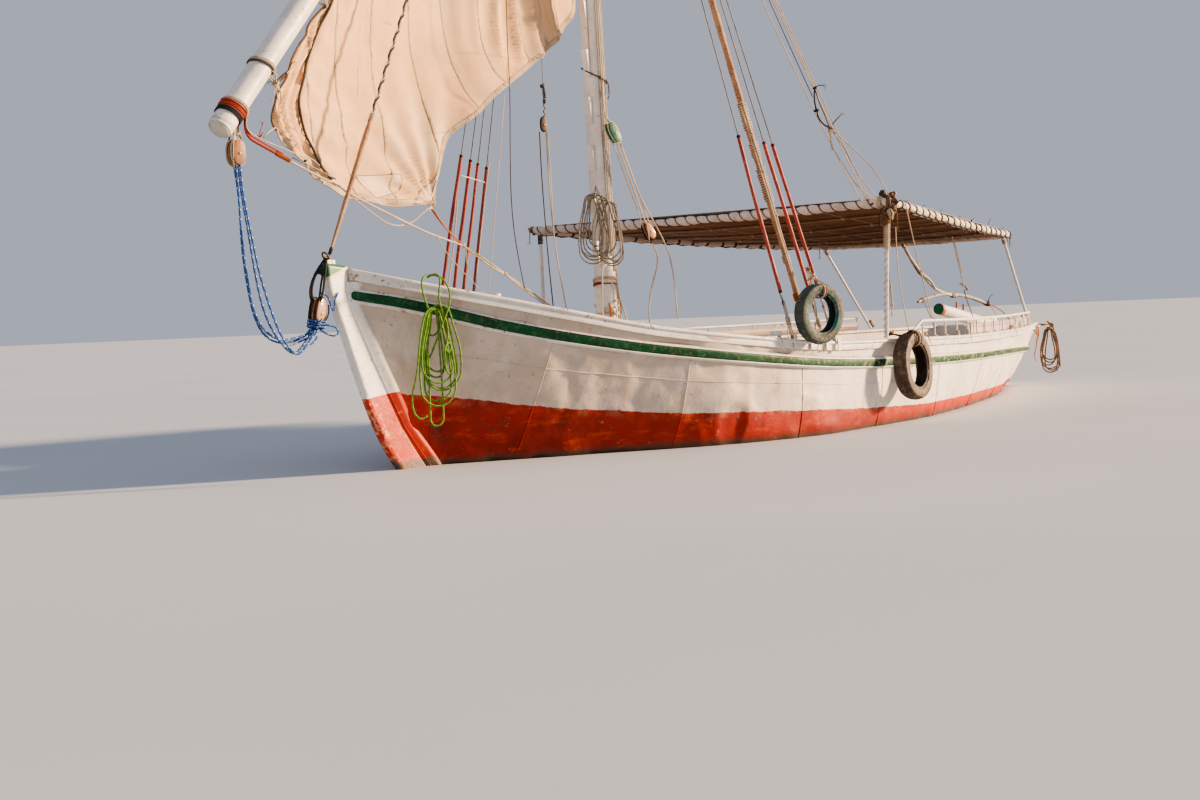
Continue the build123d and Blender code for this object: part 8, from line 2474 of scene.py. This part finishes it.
# =================================================================== tyres
def tyre_material(name, base, worn, paint=None):
    M = Mat(name)
    x, y, z = M.xyz()
    c = M.mix(M.step(M.noise(9, 5, 0.65), 0.32, 0.68), base, worn)
    if paint:
        # the paint has stayed on mostly round the beads
        dx_, dz_ = M.math("SUBTRACT", x, 2.845), M.math("SUBTRACT", z, 1.118)
        rr_ = M.math("SQRT", M.math("ADD", M.math("MULTIPLY", dx_, M.math("MULTIPLY", dx_, 1.10)), M.math("MULTIPLY", dz_, dz_)))
        kept = M.step(M.math("ADD", rr_, M.math("MULTIPLY", M.math("SUBTRACT", M.noise(16, 4, 0.6), 0.5), 0.03)), 0.178, 0.215, 1.0, 0.34)
        c = M.mix(M.math("MULTIPLY", M.math("MULTIPLY", M.step(M.noise(6, 5, 0.7), 0.40, 0.56), 0.9), kept), c, M.mix(M.step(M.noise(18, 4, 0.6), 0.35, 0.65), paint, blocky(paint, 0.62)))
    c = M.mix(M.math("MULTIPLY", M.step(M.noise(15, 5, 0.7), 0.52, 0.68), 0.6), c, (0.30, 0.23, 0.15))
    c = M.mix(M.math("MULTIPLY", M.step(M.noise(60, 4, 0.7), 0.58, 0.68), 0.5), c, (0.38, 0.34, 0.28))
    h = M.math("ADD", M.noise(50, 4, 0.6), M.math("MULTIPLY", M.noise(160, 3, 0.6), 0.5))
    return M.set(color=c, rough=M.step(M.noise(20, 4, 0.6), 0.2, 0.8, 0.48, 0.78), spec=0.35, normal=M.bump(h, 0.0014))


def tyre(name, c, tilt, ro, ri, w, mat, node, blocks, seed, yaw=0.0, squash=0.0, inner=None):
    """An old tyre on its side against the hull: carcass, beads, tread blocks, hollow inside."""
    a = math.radians(tilt)
    ax = unit([math.sin(math.radians(yaw)), math.cos(a) * math.cos(math.radians(yaw)), math.sin(a)])
    up = unit(np.cross([1.0, 0, 0], ax))
    fw = np.cross(ax, up)
    h = w / 2
    t = 0.011
    prof = [(ri, 0.62 * h, 0), (ri - 0.004, 0.74 * h, 0), (ri + 0.004, 0.84 * h, 0), (ri + 0.014, 0.86 * h, 0), (ri + 0.018, 0.90 * h, 0)]
    for f in np.linspace(0.14, 0.94, 9):
        prof.append((ri + (ro - ri) * f, h * (0.92 + 0.08 * math.sin(f * math.pi)) * (1.0 if f < 0.8 else 1 - 0.28 * ((f - 0.8) / 0.14) ** 2), 0))
    sh = len(prof)
    k = 17
    for i in range(k):
        f = i / (k - 1)
        yv = h * 0.66 * (1 - 2 * f)
        groove = 1 if i in (3, 4, 7, 8, 11, 12) else 0
        prof.append((ro - 0.010 * (2 * f - 1) ** 2 - 0.0085 * groove, yv, 1 if not groove else 2))
    for f in np.linspace(0.94, 0.14, 9):
        prof.append((ri + (ro - ri) * f, -h * (0.92 + 0.08 * math.sin(f * math.pi)) * (1.0 if f < 0.8 else 1 - 0.28 * ((f - 0.8) / 0.14) ** 2), 0))
    prof += [(ri + 0.018, -0.90 * h, 0), (ri + 0.014, -0.86 * h, 0), (ri + 0.004, -0.84 * h, 0), (ri - 0.004, -0.74 * h, 0), (ri, -0.62 * h, 0)]
    # inside of the carcass
    for f in np.linspace(0.10, 0.88, 6):
        prof.append((ri + (ro - ri) * f, -(h - t) * (0.78 + 0.16 * math.sin(f * math.pi)), 0))
    prof.append((ro - 0.030, -(h - t) * 0.50, 0))
    prof.append((ro - 0.026, 0.0, 0))
    prof.append((ro - 0.030, (h - t) * 0.50, 0))
    for f in np.linspace(0.88, 0.10, 6):
        prof.append((ri + (ro - ri) * f, (h - t) * (0.78 + 0.16 * math.sin(f * math.pi)), 0))
    pr = np.array(prof)
    n = blocks * 6
    th = np.arange(n) / n * 2 * math.pi
    R_ = np.broadcast_to(pr[:, 0][None], (n, len(pr))).copy()
    Y_ = np.broadcast_to(pr[:, 1][None], (n, len(pr))).copy()
    tread = pr[:, 2] == 1
    ph = (np.arange(n) % 6)
    zig = ((np.arange(n) // 6) % 2)
    for j in np.where(tread)[0]:
        off = int(round(3 * (Y_[0, j] / h + 1)))
        R_[((ph + off) % 6) == 0, j] -= 0.0075
        R_[((ph + off) % 6) == 1, j] -= 0.0030
    # ribs and bands of the sidewall
    rel = (R_ - ri) / (ro - ri)
    side_ = (~tread)[None] & (np.abs(Y_) > 0.8 * h) & (rel > 0.12) & (rel < 0.96)
    sgn = np.sign(Y_)
    Y_ += np.where(side_, sgn * (0.0022 * (np.abs(rel - 0.50) < 0.05) + 0.0018 * (np.abs(rel - 0.80) < 0.05) * (((np.arange(n)[:, None]) % 4) < 2)), 0)
    # age: worn flats, dents and a slight oval
    P0 = np.stack([np.cos(th), np.sin(th)], 1)
    wear = 0.0035 * vnoise(np.stack([P0[:, 0] * 3, P0[:, 1] * 3, P0[:, 0] * 0], 1), 1.0, seed)
    R_ = R_ + wear[:, None] * (rel > 0.7) + 0.0025 * vnoise(np.stack([R_ * np.cos(th)[:, None] * 14, R_ * np.sin(th)[:, None] * 14, Y_ * 10], -1), 1.0, seed + 1)
    Y_ = Y_ + 0.004 * vnoise(np.stack([np.cos(th)[:, None] * 2 + 0 * Y_, np.sin(th)[:, None] * 2 + 0 * Y_, 0 * Y_], -1), 1.0, seed + 2)
    sx_, sz_ = 1 - squash, 1 + squash
    pts = np.asarray(c) + (R_ * np.cos(th)[:, None] * sx_)[..., None] * fw + (R_ * np.sin(th)[:, None] * sz_)[..., None] * up + Y_[..., None] * ax
    pts = np.concatenate([pts, pts[:1]], 0)
    G = Geo()
    m = len(pr)
    b = 0
    verts = pts[:-1].reshape(-1, 3)
    faces, mi = [], []
    for i in range(n):
        i2 = (i + 1) % n
        for j in range(m):
            j2 = (j + 1) % m
            faces.append((i * m + j, i2 * m + j, i2 * m + j2, i * m + j2))
    G.add(verts, faces, [[(i_ / 9.0, 0)] * 4 for i_ in range(len(faces))], 0)
    return G.build(name, [mat], "hull", "tyre_rubber", [node], recalc=True)


M_TYRE1 = tyre_material("tyre_teal", (0.030, 0.034, 0.028), (0.085, 0.080, 0.058), (0.030, 0.175, 0.160))
M_TYRE2 = tyre_material("tyre_brown", (0.050, 0.036, 0.027), (0.115, 0.080, 0.055))
tyre("tyre_fore", (2.845, 2.128, 1.118), -2, 0.270, 0.168, 0.118, M_TYRE1, "tyre_fender_fore", 34, 801, yaw=19, squash=0.012)
tyre("tyre_aft", (1.190, 2.275, 0.572), 4, 0.330, 0.209, 0.148, M_TYRE2, "tyre_fender_aft", 42, 811, squash=0.010)
G = Geo()
# the fore one hangs from the shroud's lashings, the aft one from the rail
c = np.array([2.845, 2.128, 1.118])
for k, dx in enumerate((-0.02, 0.012)):
    lay(G, [c + [dx - 0.06, -0.155, 0.42], c + [dx - 0.02, -0.075, 0.33], c + [dx, 0.010, 0.288], c + [dx, 0.072, 0.245], c + [dx, 0.078, 0.200], c + [dx, 0.060, 0.150], c + [dx, 0.000, 0.138], c + [dx, -0.066, 0.160], c + [dx - 0.01, -0.082, 0.230], c + [dx - 0.03, -0.100, 0.330]], 0.0150, CRE if k else BRO, per=9)
knot(G, c + [-0.02, -0.06, 0.335], 0.040, 0.0140, CRE, 821, n=13)
knot(G, c + [-0.05, -0.12, 0.400], 0.034, 0.0130, BRO, 822)
tail(G, c + [0.0, -0.02, 0.31], [(0.03, 0.03, 0.01), (0.01, 0.03, -0.06)], 0.011, CRE, 823)
lay(G, [c + [-0.08, -0.10, 0.16], c + [-0.10, -0.06, 0.02], c + [-0.09, -0.10, -0.14], c + [-0.11, -0.12, -0.24]], 0.0115, PAL, per=8)
c = np.array([1.190, 2.275, 0.572])
for k, dx in enumerate((-0.030, 0.004, 0.036)):
    lay(G, [(1.19 + dx * 0.6, 1.985, 0.862), (1.19 + dx * 0.7, 2.060, 0.895), (1.19 + dx * 0.8, 2.155, 0.868), c + [dx, -0.070, 0.262], c + [dx, -0.030, 0.3435], c + [dx, 0.045, 0.3430], c + [dx, 0.086, 0.290], c + [dx, 0.080, 0.215], c + [dx, 0.010, 0.185], c + [dx, -0.070, 0.205], c + [dx * 0.6, -0.088, 0.262]], 0.0155, (BRO, CRE, DRK)[k], per=9)
knot(G, (1.19, 2.055, 0.895), 0.040, 0.0140, BRO, 831, n=13)
knot(G, (1.16, 1.995, 0.870), 0.036, 0.0130, DRK, 832)
tail(G, (1.20, 2.14, 0.880), [(0.04, 0.05, 0.00), (0.02, 0.05, -0.07), (0, 0.01, -0.06)], 0.012, BRO, 833)
G.build("tyre_ropes", RIG, "hull", "rope_cream")


# =================================================================== cushions: cloth under pressure, run here and then kept as a mesh
def cloth_material(name, a, b, stripe, kind):
    M = Mat(name)
    x, y, z = M.xyz()
    c = M.mix(M.step(M.noise(7, 4, 0.6), 0.32, 0.68), a, b)
    if kind == "woven":
        band = M.math("ABSOLUTE", M.math("SUBTRACT", M.math("FRACT", M.math("MULTIPLY", x, 3.1)), 0.5))
        c = M.mix(M.step(band, 0.34, 0.355), c, stripe)
        c = M.mix(M.math("MULTIPLY", M.step(M.math("ABSOLUTE", M.math("SUBTRACT", band, 0.27)), 0.016, 0.022, 1.0, 0.0), 0.9), c, (0.50, 0.40, 0.24))
        c = M.mix(M.math("MULTIPLY", M.step(M.math("ABSOLUTE", M.math("SUBTRACT", band, 0.12)), 0.030, 0.036, 1.0, 0.0), 0.9), c, (0.035, 0.030, 0.032))
        dia = M.math("ADD", M.math("ABSOLUTE", M.math("SUBTRACT", M.math("FRACT", M.math("MULTIPLY", y, 9.0)), 0.5)), M.math("MULTIPLY", band, 2.2))
        c = M.mix(M.math("MULTIPLY", M.step(dia, 0.34, 0.38, 1.0, 0.0), 0.85), c, (0.56, 0.24, 0.06))
    else:
        band = M.math("ABSOLUTE", M.math("SUBTRACT", M.math("FRACT", M.math("MULTIPLY", x, 6.7)), 0.5))
        c = M.mix(M.math("MULTIPLY", M.step(band, 0.40, 0.42), 0.7), c, stripe)
    c = M.mix(M.math("MULTIPLY", M.step(M.noise(3, 4, 0.6), 0.50, 0.74), 0.4), c, blocky(b, 0.5))
    wv = M.math("MULTIPLY", M.math("SINE", M.math("MULTIPLY", x, 1900.0)), M.math("SINE", M.math("MULTIPLY", y, 1900.0)))
    h = M.math("ADD", M.math("MULTIPLY", wv, 0.25), M.math("MULTIPLY", M.noise(140, 3, 0.6), 0.6))
    return M.set(color=c, rough=0.88, sheen=0.3, spec=0.18, normal=M.bump(h, 0.0012))


M_CUSH_P = cloth_material("cushion_brown", (0.30, 0.175, 0.105), (0.20, 0.115, 0.070), (0.40, 0.29, 0.18), "plain")
M_CUSH_S = cloth_material("cushion_woven", (0.36, 0.055, 0.035), (0.24, 0.035, 0.030), (0.07, 0.055, 0.050), "woven")
M_PIPE = cloth_material("cushion_piping", (0.17, 0.10, 0.065), (0.11, 0.065, 0.045), (0.20, 0.14, 0.09), "plain")
BI_X, BI_Y = np.array([-4.2, -2.6, -0.9, 0.8, 2.3]), np.array([0.760, 1.030, 1.260, 1.340, 1.340])


def side_y(x, z=0.61):
    return float(hull_y(float(x), float(z)))


CUSH_SPANS = [(2.180, 0.700), (0.660, -0.820), (-0.860, -2.380), (-2.420, -3.980)]
Z0, Z1 = 0.562, 0.667
NX, NY, NS = 80, 28, 5


def cushion_base(x0, x1):
    """Starting shape: a slab a little smaller than the finished one. Gives the points of its top and bottom, with the
    rows kept in order.
    """
    ins = 0.014
    yi = lambda x: float(np.interp(x, BI_X, BI_Y)) - 0.003
    yo = [min(side_y(x) - 0.050, side_y(x, 0.68) - 0.050) for x in (x0, x1)]
    u = np.linspace(0, 1, NX)[:, None]
    v = np.linspace(0, 1, NY)[None, :]
    xs = (x0 - ins) + ((x1 + ins) - (x0 - ins)) * u + 0 * v
    a = np.array([yi(x) for x in xs[:, 0]])[:, None] + ins
    b = (yo[0] + (yo[1] - yo[0]) * u) - ins
    ys = a + (b - a) * v
    k = 1 - np.clip(np.minimum(np.minimum(u, 1 - u) * NX / 5.0, np.minimum(v, 1 - v) * NY / 4.0), 0, 1)
    top = np.stack([xs, ys, Z0 + 0.076 - 0.006 * k ** 2], -1)
    bot = np.stack([xs, ys, Z0 + 0.004 + 0.006 * k ** 2], -1)
    return top, bot


def ring_index():
    r = [(i, 0) for i in range(NX - 1)] + [(NX - 1, j) for j in range(NY - 1)] + [(i, NY - 1) for i in range(NX - 1, 0, -1)] + [(0, j) for j in range(NY - 1, 0, -1)]
    return r


RING = ring_index()


def cushion_mesh(top, bot):
    v = [tuple(p) for p in top.reshape(-1, 3)] + [tuple(p) for p in bot.reshape(-1, 3)]
    n0 = NX * NY
    f = []
    for i in range(NX - 1):
        for j in range(NY - 1):
            a, b, c_, d_ = i * NY + j, (i + 1) * NY + j, (i + 1) * NY + j + 1, i * NY + j + 1
            f.append((a, b, c_, d_))
            f.append((n0 + a, n0 + d_, n0 + c_, n0 + b))
    prev = [i * NY + j for i, j in RING]
    tp, bt = np.array([top[i, j] for i, j in RING]), np.array([bot[i, j] for i, j in RING])
    m = len(RING)
    for k in range(1, NS):
        base = len(v)
        v += [tuple(p) for p in tp + (bt - tp) * k / NS]
        cur = [base + q for q in range(m)]
        f += [(prev[q], cur[q], cur[(q + 1) % m], prev[(q + 1) % m]) for q in range(m)]
        prev = cur
    cur = [n0 + i * NY + j for i, j in RING]
    f += [(prev[q], cur[q], cur[(q + 1) % m], prev[(q + 1) % m]) for q in range(m)]
    return np.array(v), f


def tufts(x0, x1, top):
    out = []
    for fu in (0.167, 0.5, 0.833):
        for fv in (0.32, 0.68):
            out.append((int(round(fu * (NX - 1))), int(round(fv * (NY - 1)))))
    return out


def puff(name, x0, x1, sim):
    top, bot = cushion_base(x0, x1)
    v, f = cushion_mesh(top, bot)
    tf = tufts(x0, x1, top)
    # shrink the cover towards its buttons so that it starts with some tension there
    start = v.copy()
    for (i, j) in tf:
        p = top[i, j]
        d = np.linalg.norm(v[:, :2] - p[:2], axis=1)
        up_ = np.arange(len(v)) < NX * NY
        start[:, 2] -= up_ * 0.020 * np.exp(-(d / 0.045) ** 2)
    if sim:
        me = bpy.data.meshes.new(name + "_sim")
        me.from_pydata(start.tolist(), [], f)
        ob = bpy.data.objects.new(name + "_sim", me)
        COL.objects.link(ob)
        pin = ob.vertex_groups.new(name="pin")
        ids = []
        for i, j in tf:
            for di in (-1, 0, 1):
                for dj in (-1, 0, 1):
                    ids.append((i + di) * NY + j + dj)
        ids += [NX * NY + i * NY + j for i in range(3, NX - 3) for j in range(3, NY - 3)]
        pin.add(ids, 1.0, "REPLACE")
        md = ob.modifiers.new("cloth", "CLOTH")
        st = md.settings
        st.quality = 6
        st.mass = 0.35
        st.tension_stiffness, st.compression_stiffness, st.shear_stiffness, st.bending_stiffness = 28, 22, 12, 0.8
        st.use_pressure = True
        st.uniform_pressure_force = 4.5
        st.shrink_min = -0.010
        st.effector_weights.gravity = 0.0
        st.vertex_group_mass = "pin"
        md.collision_settings.use_collision = False
        md.point_cache.frame_start, md.point_cache.frame_end = 1, 18
        sc_ = bpy.context.scene
        for fr_ in range(1, 19):
            sc_.frame_set(fr_)
        ev = ob.evaluated_get(bpy.context.evaluated_depsgraph_get())
        out = np.array([q.co[:] for q in ev.data.vertices], float)
        sc_.frame_set(1)
        bpy.data.objects.remove(ob)
        bpy.data.meshes.remove(me)
        mv = out - start
        l = np.linalg.norm(mv, axis=1, keepdims=True)
        out = start + mv * np.minimum(1, 0.028 / np.maximum(l, 1e-9))
    else:
        out = start.copy()
        n0 = NX * NY
        u = np.linspace(0, 1, NX)[:, None]
        w = np.linspace(0, 1, NY)[None, :]
        out[:n0, 2] += (0.026 * (1 - (2 * u - 1) ** 8) * (1 - (2 * w - 1) ** 4)).ravel()
    # it lies flat on the bench, and keeps inside its place
    out[:, 2] = np.clip(out[:, 2], Z0 + 0.0015, Z1 + 0.010)
    return out, f, tf


def side_piece(name, side, out, f, tf, mat, seed, nodes):
    v = out.copy()
    n = 0.0016 * vnoise(v, 9, seed) + 0.0010 * vnoise(v, 22, seed + 1)
    up_ = smooth01((v[:, 2] - Z0 - 0.02) / 0.03)
    v[:, 2] += n * up_ * 1.3
    v[:, 1] += n * (1 - up_) * 0.6
    v[:, 1] *= side
    ff = f if side > 0 else [q[::-1] for q in f]
    G = Geo()
    G.add(v, ff, None, 0)
    # piping along both seams, buttons on the tufts
    n0 = NX * NY
    for base, dz in ((0, 0.0), (n0, 0.002)):
        ln = np.array([v[base + i * NY + j] for i, j in RING])
        cen = ln.mean(0)
        o = ln - cen
        o[:, 2] = 0
        o /= np.linalg.norm(o, axis=1, keepdims=True)
        ln = ln + o * 0.0015
        ln[:, 2] += dz
        ln = np.concatenate([ln, ln[:2]])
        G.tube(resample(ln, 0.018), 0.0048, 7, 1)
    for i, j in tf:
        p = v[i * NY + j]
        lathe(G, p + [0, 0, 0.001], (0, 0, 1), [(0.0, 0.007), (0.007, 0.0062), (0.012, 0.003), (0.0125, 0.0), (0.010, -0.003), (0.0, -0.003)], 12, 1)
    return G.build(name, [mat, M_PIPE], "hull", "cushion_cloth", nodes, recalc=False)


for k, (x0, x1) in enumerate(CUSH_SPANS):
    out, f, tf = puff("cushion_%d" % k, x0, x1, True)
    for side, lab, mt in ((1, "port", M_CUSH_P), (-1, "starboard", M_CUSH_S)):
        cu = side_piece("cushion_%s_%d" % (lab, k), side, out, f, tf, mt, 900 + 10 * k + (5 if side > 0 else 0), ["cushions_" + lab])
print("CUSHION TOP", round(float(out[:, 2].max()), 4), "Y", round(float(out[:, 1].min()), 3), round(float(out[:, 1].max()), 3))


# =================================================================== stern: boards behind the rail, ropes on the quarter
def sheer_y(x):
    return float(pchip(ST[::-1, 0], ST[::-1, 8], np.array([x]))[0])


M_PANEL = planks("stern_panel", "z", 0.075, (0.50, 0.37, 0.33), (0.38, 0.27, 0.24), paint=(0.56, 0.44, 0.40))
G = Geo()
for side in (1, -1):
    xs = np.linspace(-0.98, -4.70, 60)
    yi = np.array([sheer_y(x) for x in xs]) - 0.052
    zb, zt = np.array([hull_sheer_z(x) for x in xs]) + 0.044, np.array([hull_sheer_z(x) for x in xs]) + 0.150
    rows = []
    for dy, zz in ((0.007, zb), (0.007, zt), (-0.007, zt), (-0.007, zb), (0.007, zb)):
        rows.append(np.stack([xs, side * (yi + dy), zz], 1))
    G.grid(np.stack(rows, 1), 0, flip=side < 0)
    for e in (0, -1):
        q = [rows[0][e], rows[1][e], rows[2][e], rows[3][e]]
        G.add(q, [(0, 1, 2, 3) if (e == 0) == (side > 0) else (3, 2, 1, 0)], None, 0)
G.build("stern_boards", [M_PANEL], "hull", "timber", recalc=True)
G = Geo()
for side in (1, -1):
    for xa, xb, up0 in ((-3.02, -3.30, 0), (-3.30, -3.62, 1), (-3.62, -3.80, 0)):
        ya, yb = side * (sheer_y(xa) - 0.004), side * (sheer_y(xb) - 0.004)
        za, zb = hull_sheer_z(xa), hull_sheer_z(xb)
        p, q = ((xa, ya, za + 0.040), (xb, yb, zb + 0.196)) if not up0 else ((xa, ya, za + 0.196), (xb, yb, zb + 0.040))
        G.tube(straight(p, q, 6), 0.0085, 10, 0)
    # feet of the balusters: little welded pads
    for xb in (0.560, 0.215, -0.085, -0.425, -0.750, -1.100, -1.470, -1.880, -2.310, -2.750, -3.180, -3.560, -3.950, -4.360, -4.760):
        lathe(G, (xb, side * (sheer_y(xb) - 0.004), hull_sheer_z(xb) + 0.040), (0, 0, 1), [(0.0, 0.011), (0.009, 0.011), (0.013, 0.007), (0.020, 0.003), (0.022, -0.004), (0.0, -0.004)], 14, 0)
G.build("stern_braces", [M_WHITE], "hull", "white_metal")
G = Geo()
rng = np.random.default_rng(88)
for k, (x, m, s_) in enumerate(((0.50, CRE, 0.022), (-0.42, CRE, 0.018), (-0.74, PAL, 0.020), (-2.74, CRE, 0.022), (-2.86, PAL, 0.024))):
    p = np.array([x, sheer_y(x) + 0.004, hull_sheer_z(x) + 0.062])
    knot(G, p, s_, 0.0105, m, 880 + k)
    mast_o = np.stack([p - [0, 0.008, 0.02], p + [0, -0.008, 0.03]])
    lay(G, wind(mast_o, 0.0155, 0.0105, 0.0, 0.045, 11), 0.0095, m)
    if k % 2 == 0:
        tail(G, p, [(0.02 * rng.normal(), 0.02, -0.01), (0.01, 0.012, -0.04)], 0.009, m, 890 + k)
G.build("rail_seizings", RIG, "hull", "rope_cream")
# pale rope made fast round the quarter, its orange tail, and the top of the brown hank
G = Geo()
QX, QY = -6.05, 0.835
qz = 0.790
for k, (dx, dy, dz, s_, m) in enumerate(((0.0, 0.0, 0.0, 0.060, PAL), (-0.08, -0.03, 0.03, 0.055, PAL), (0.08, 0.03, 0.02, 0.050, CRE), (-0.16, -0.07, 0.0, 0.052, PAL), (-0.04, 0.01, -0.07, 0.045, CRE), (-0.24, -0.10, 0.02, 0.046, CRE), (0.14, 0.07, -0.02, 0.036, CRE))):
    knot(G, (QX + dx, QY + dy, qz + dz), s_, 0.0175, m, 910 + k, n=14)
lay(G, [(-5.169, 1.020, 1.020), (-5.209, 1.030, 0.926), (-5.336, 1.020, 0.803), (-5.80, 0.955, 0.835), (QX + 0.05, QY + 0.04, qz + 0.02)], 0.0170, CRE, per=10)
lay(G, [(QX + 0.08, QY + 0.065, qz + 0.02), (QX + 0.03, QY + 0.075, qz - 0.07), (QX + 0.07, QY + 0.035, qz - 0.16), (QX + 0.01, QY + 0.020, qz - 0.25), (QX + 0.05, QY + 0.0, qz - 0.35)], 0.0160, ORA, per=10)
tail(G, (QX + 0.05, QY + 0.0, qz - 0.34), [(0.004, 0.0, -0.04), (-0.01, 0, -0.04)], 0.013, ORA, 921)
lay(G, [(QX + 0.02, QY + 0.06, qz - 0.03), (QX - 0.03, QY + 0.05, qz - 0.14), (QX + 0.0, QY + 0.0, qz - 0.24)], 0.0140, CRE, per=10)
HK = np.array([-6.475, 0.900, 0.800])
knot(G, HK + [0, 0, 0.02], 0.060, 0.0190, BRO, 925, n=15)
knot(G, HK + [-0.04, -0.02, 0.0], 0.050, 0.0170, DRK, 926, n=13)
lay(G, [HK + [0.02, 0, 0.02], (-6.35, 0.80, 0.835), (-6.22, 0.76, 0.850), (-6.10, 0.79, 0.835), (QX, QY, qz + 0.02)], 0.0180, BRO, per=10)
lay(G, [HK + [0.0, 0.02, 0.0], (-6.34, 0.83, 0.800), (-6.20, 0.80, 0.810), (QX - 0.08, QY - 0.02, qz + 0.02)], 0.0165, PAL, per=10)
lay(G, [HK + [-0.03, 0.02, 0.0], HK + [-0.085, 0.03, -0.10], HK + [-0.125, 0.035, -0.26], HK + [-0.130, 0.04, -0.42], HK + [-0.105, 0.04, -0.55], HK + [-0.11, 0.04, -0.64]], 0.0150, ORA, per=10)
G.build("quarter_ropes", RIG, "hull", "rope_cream")

# rope ends tied along the port rail, and rope on the bitts
G = Geo()
for k, (x, m) in enumerate(((3.18, PAL), (2.62, CRE))):
    z = hull_sheer_z(x) + 0.055
    y = sheer_y(x) - 0.02
    knot(G, (x, y, z), 0.030, 0.0120, m, 940 + k)
    tail(G, (x, y + 0.02, z), [(0.01, 0.03, -0.02), (0.01, 0.01, -0.07)], 0.010, m, 942 + k)
# turns on the bitts
for sg, s0 in ((1, 950), (-1, 960)):
    c = np.stack([np.array([5.190, sg * 0.300, 1.23]), np.array([5.190, sg * 0.300, 1.40])])
    lay(G, wind(c, 0.060, 0.019, 0.0, 0.115, 18, s0, 0.03, s0), 0.0170, CRE if sg > 0 else BRO)
    tail(G, (5.19 + 0.06, sg * 0.30, 1.245), [(0.04, 0.02, -0.06), (0.02, 0.05 * sg, -0.05), (0.03, 0.09 * sg, -0.01), (0.05, 0.08 * sg, 0.0)], 0.0155, CRE if sg > 0 else BRO, s0 + 1)
G.build("deck_ropes", RIG, "hull", "rope_cream")
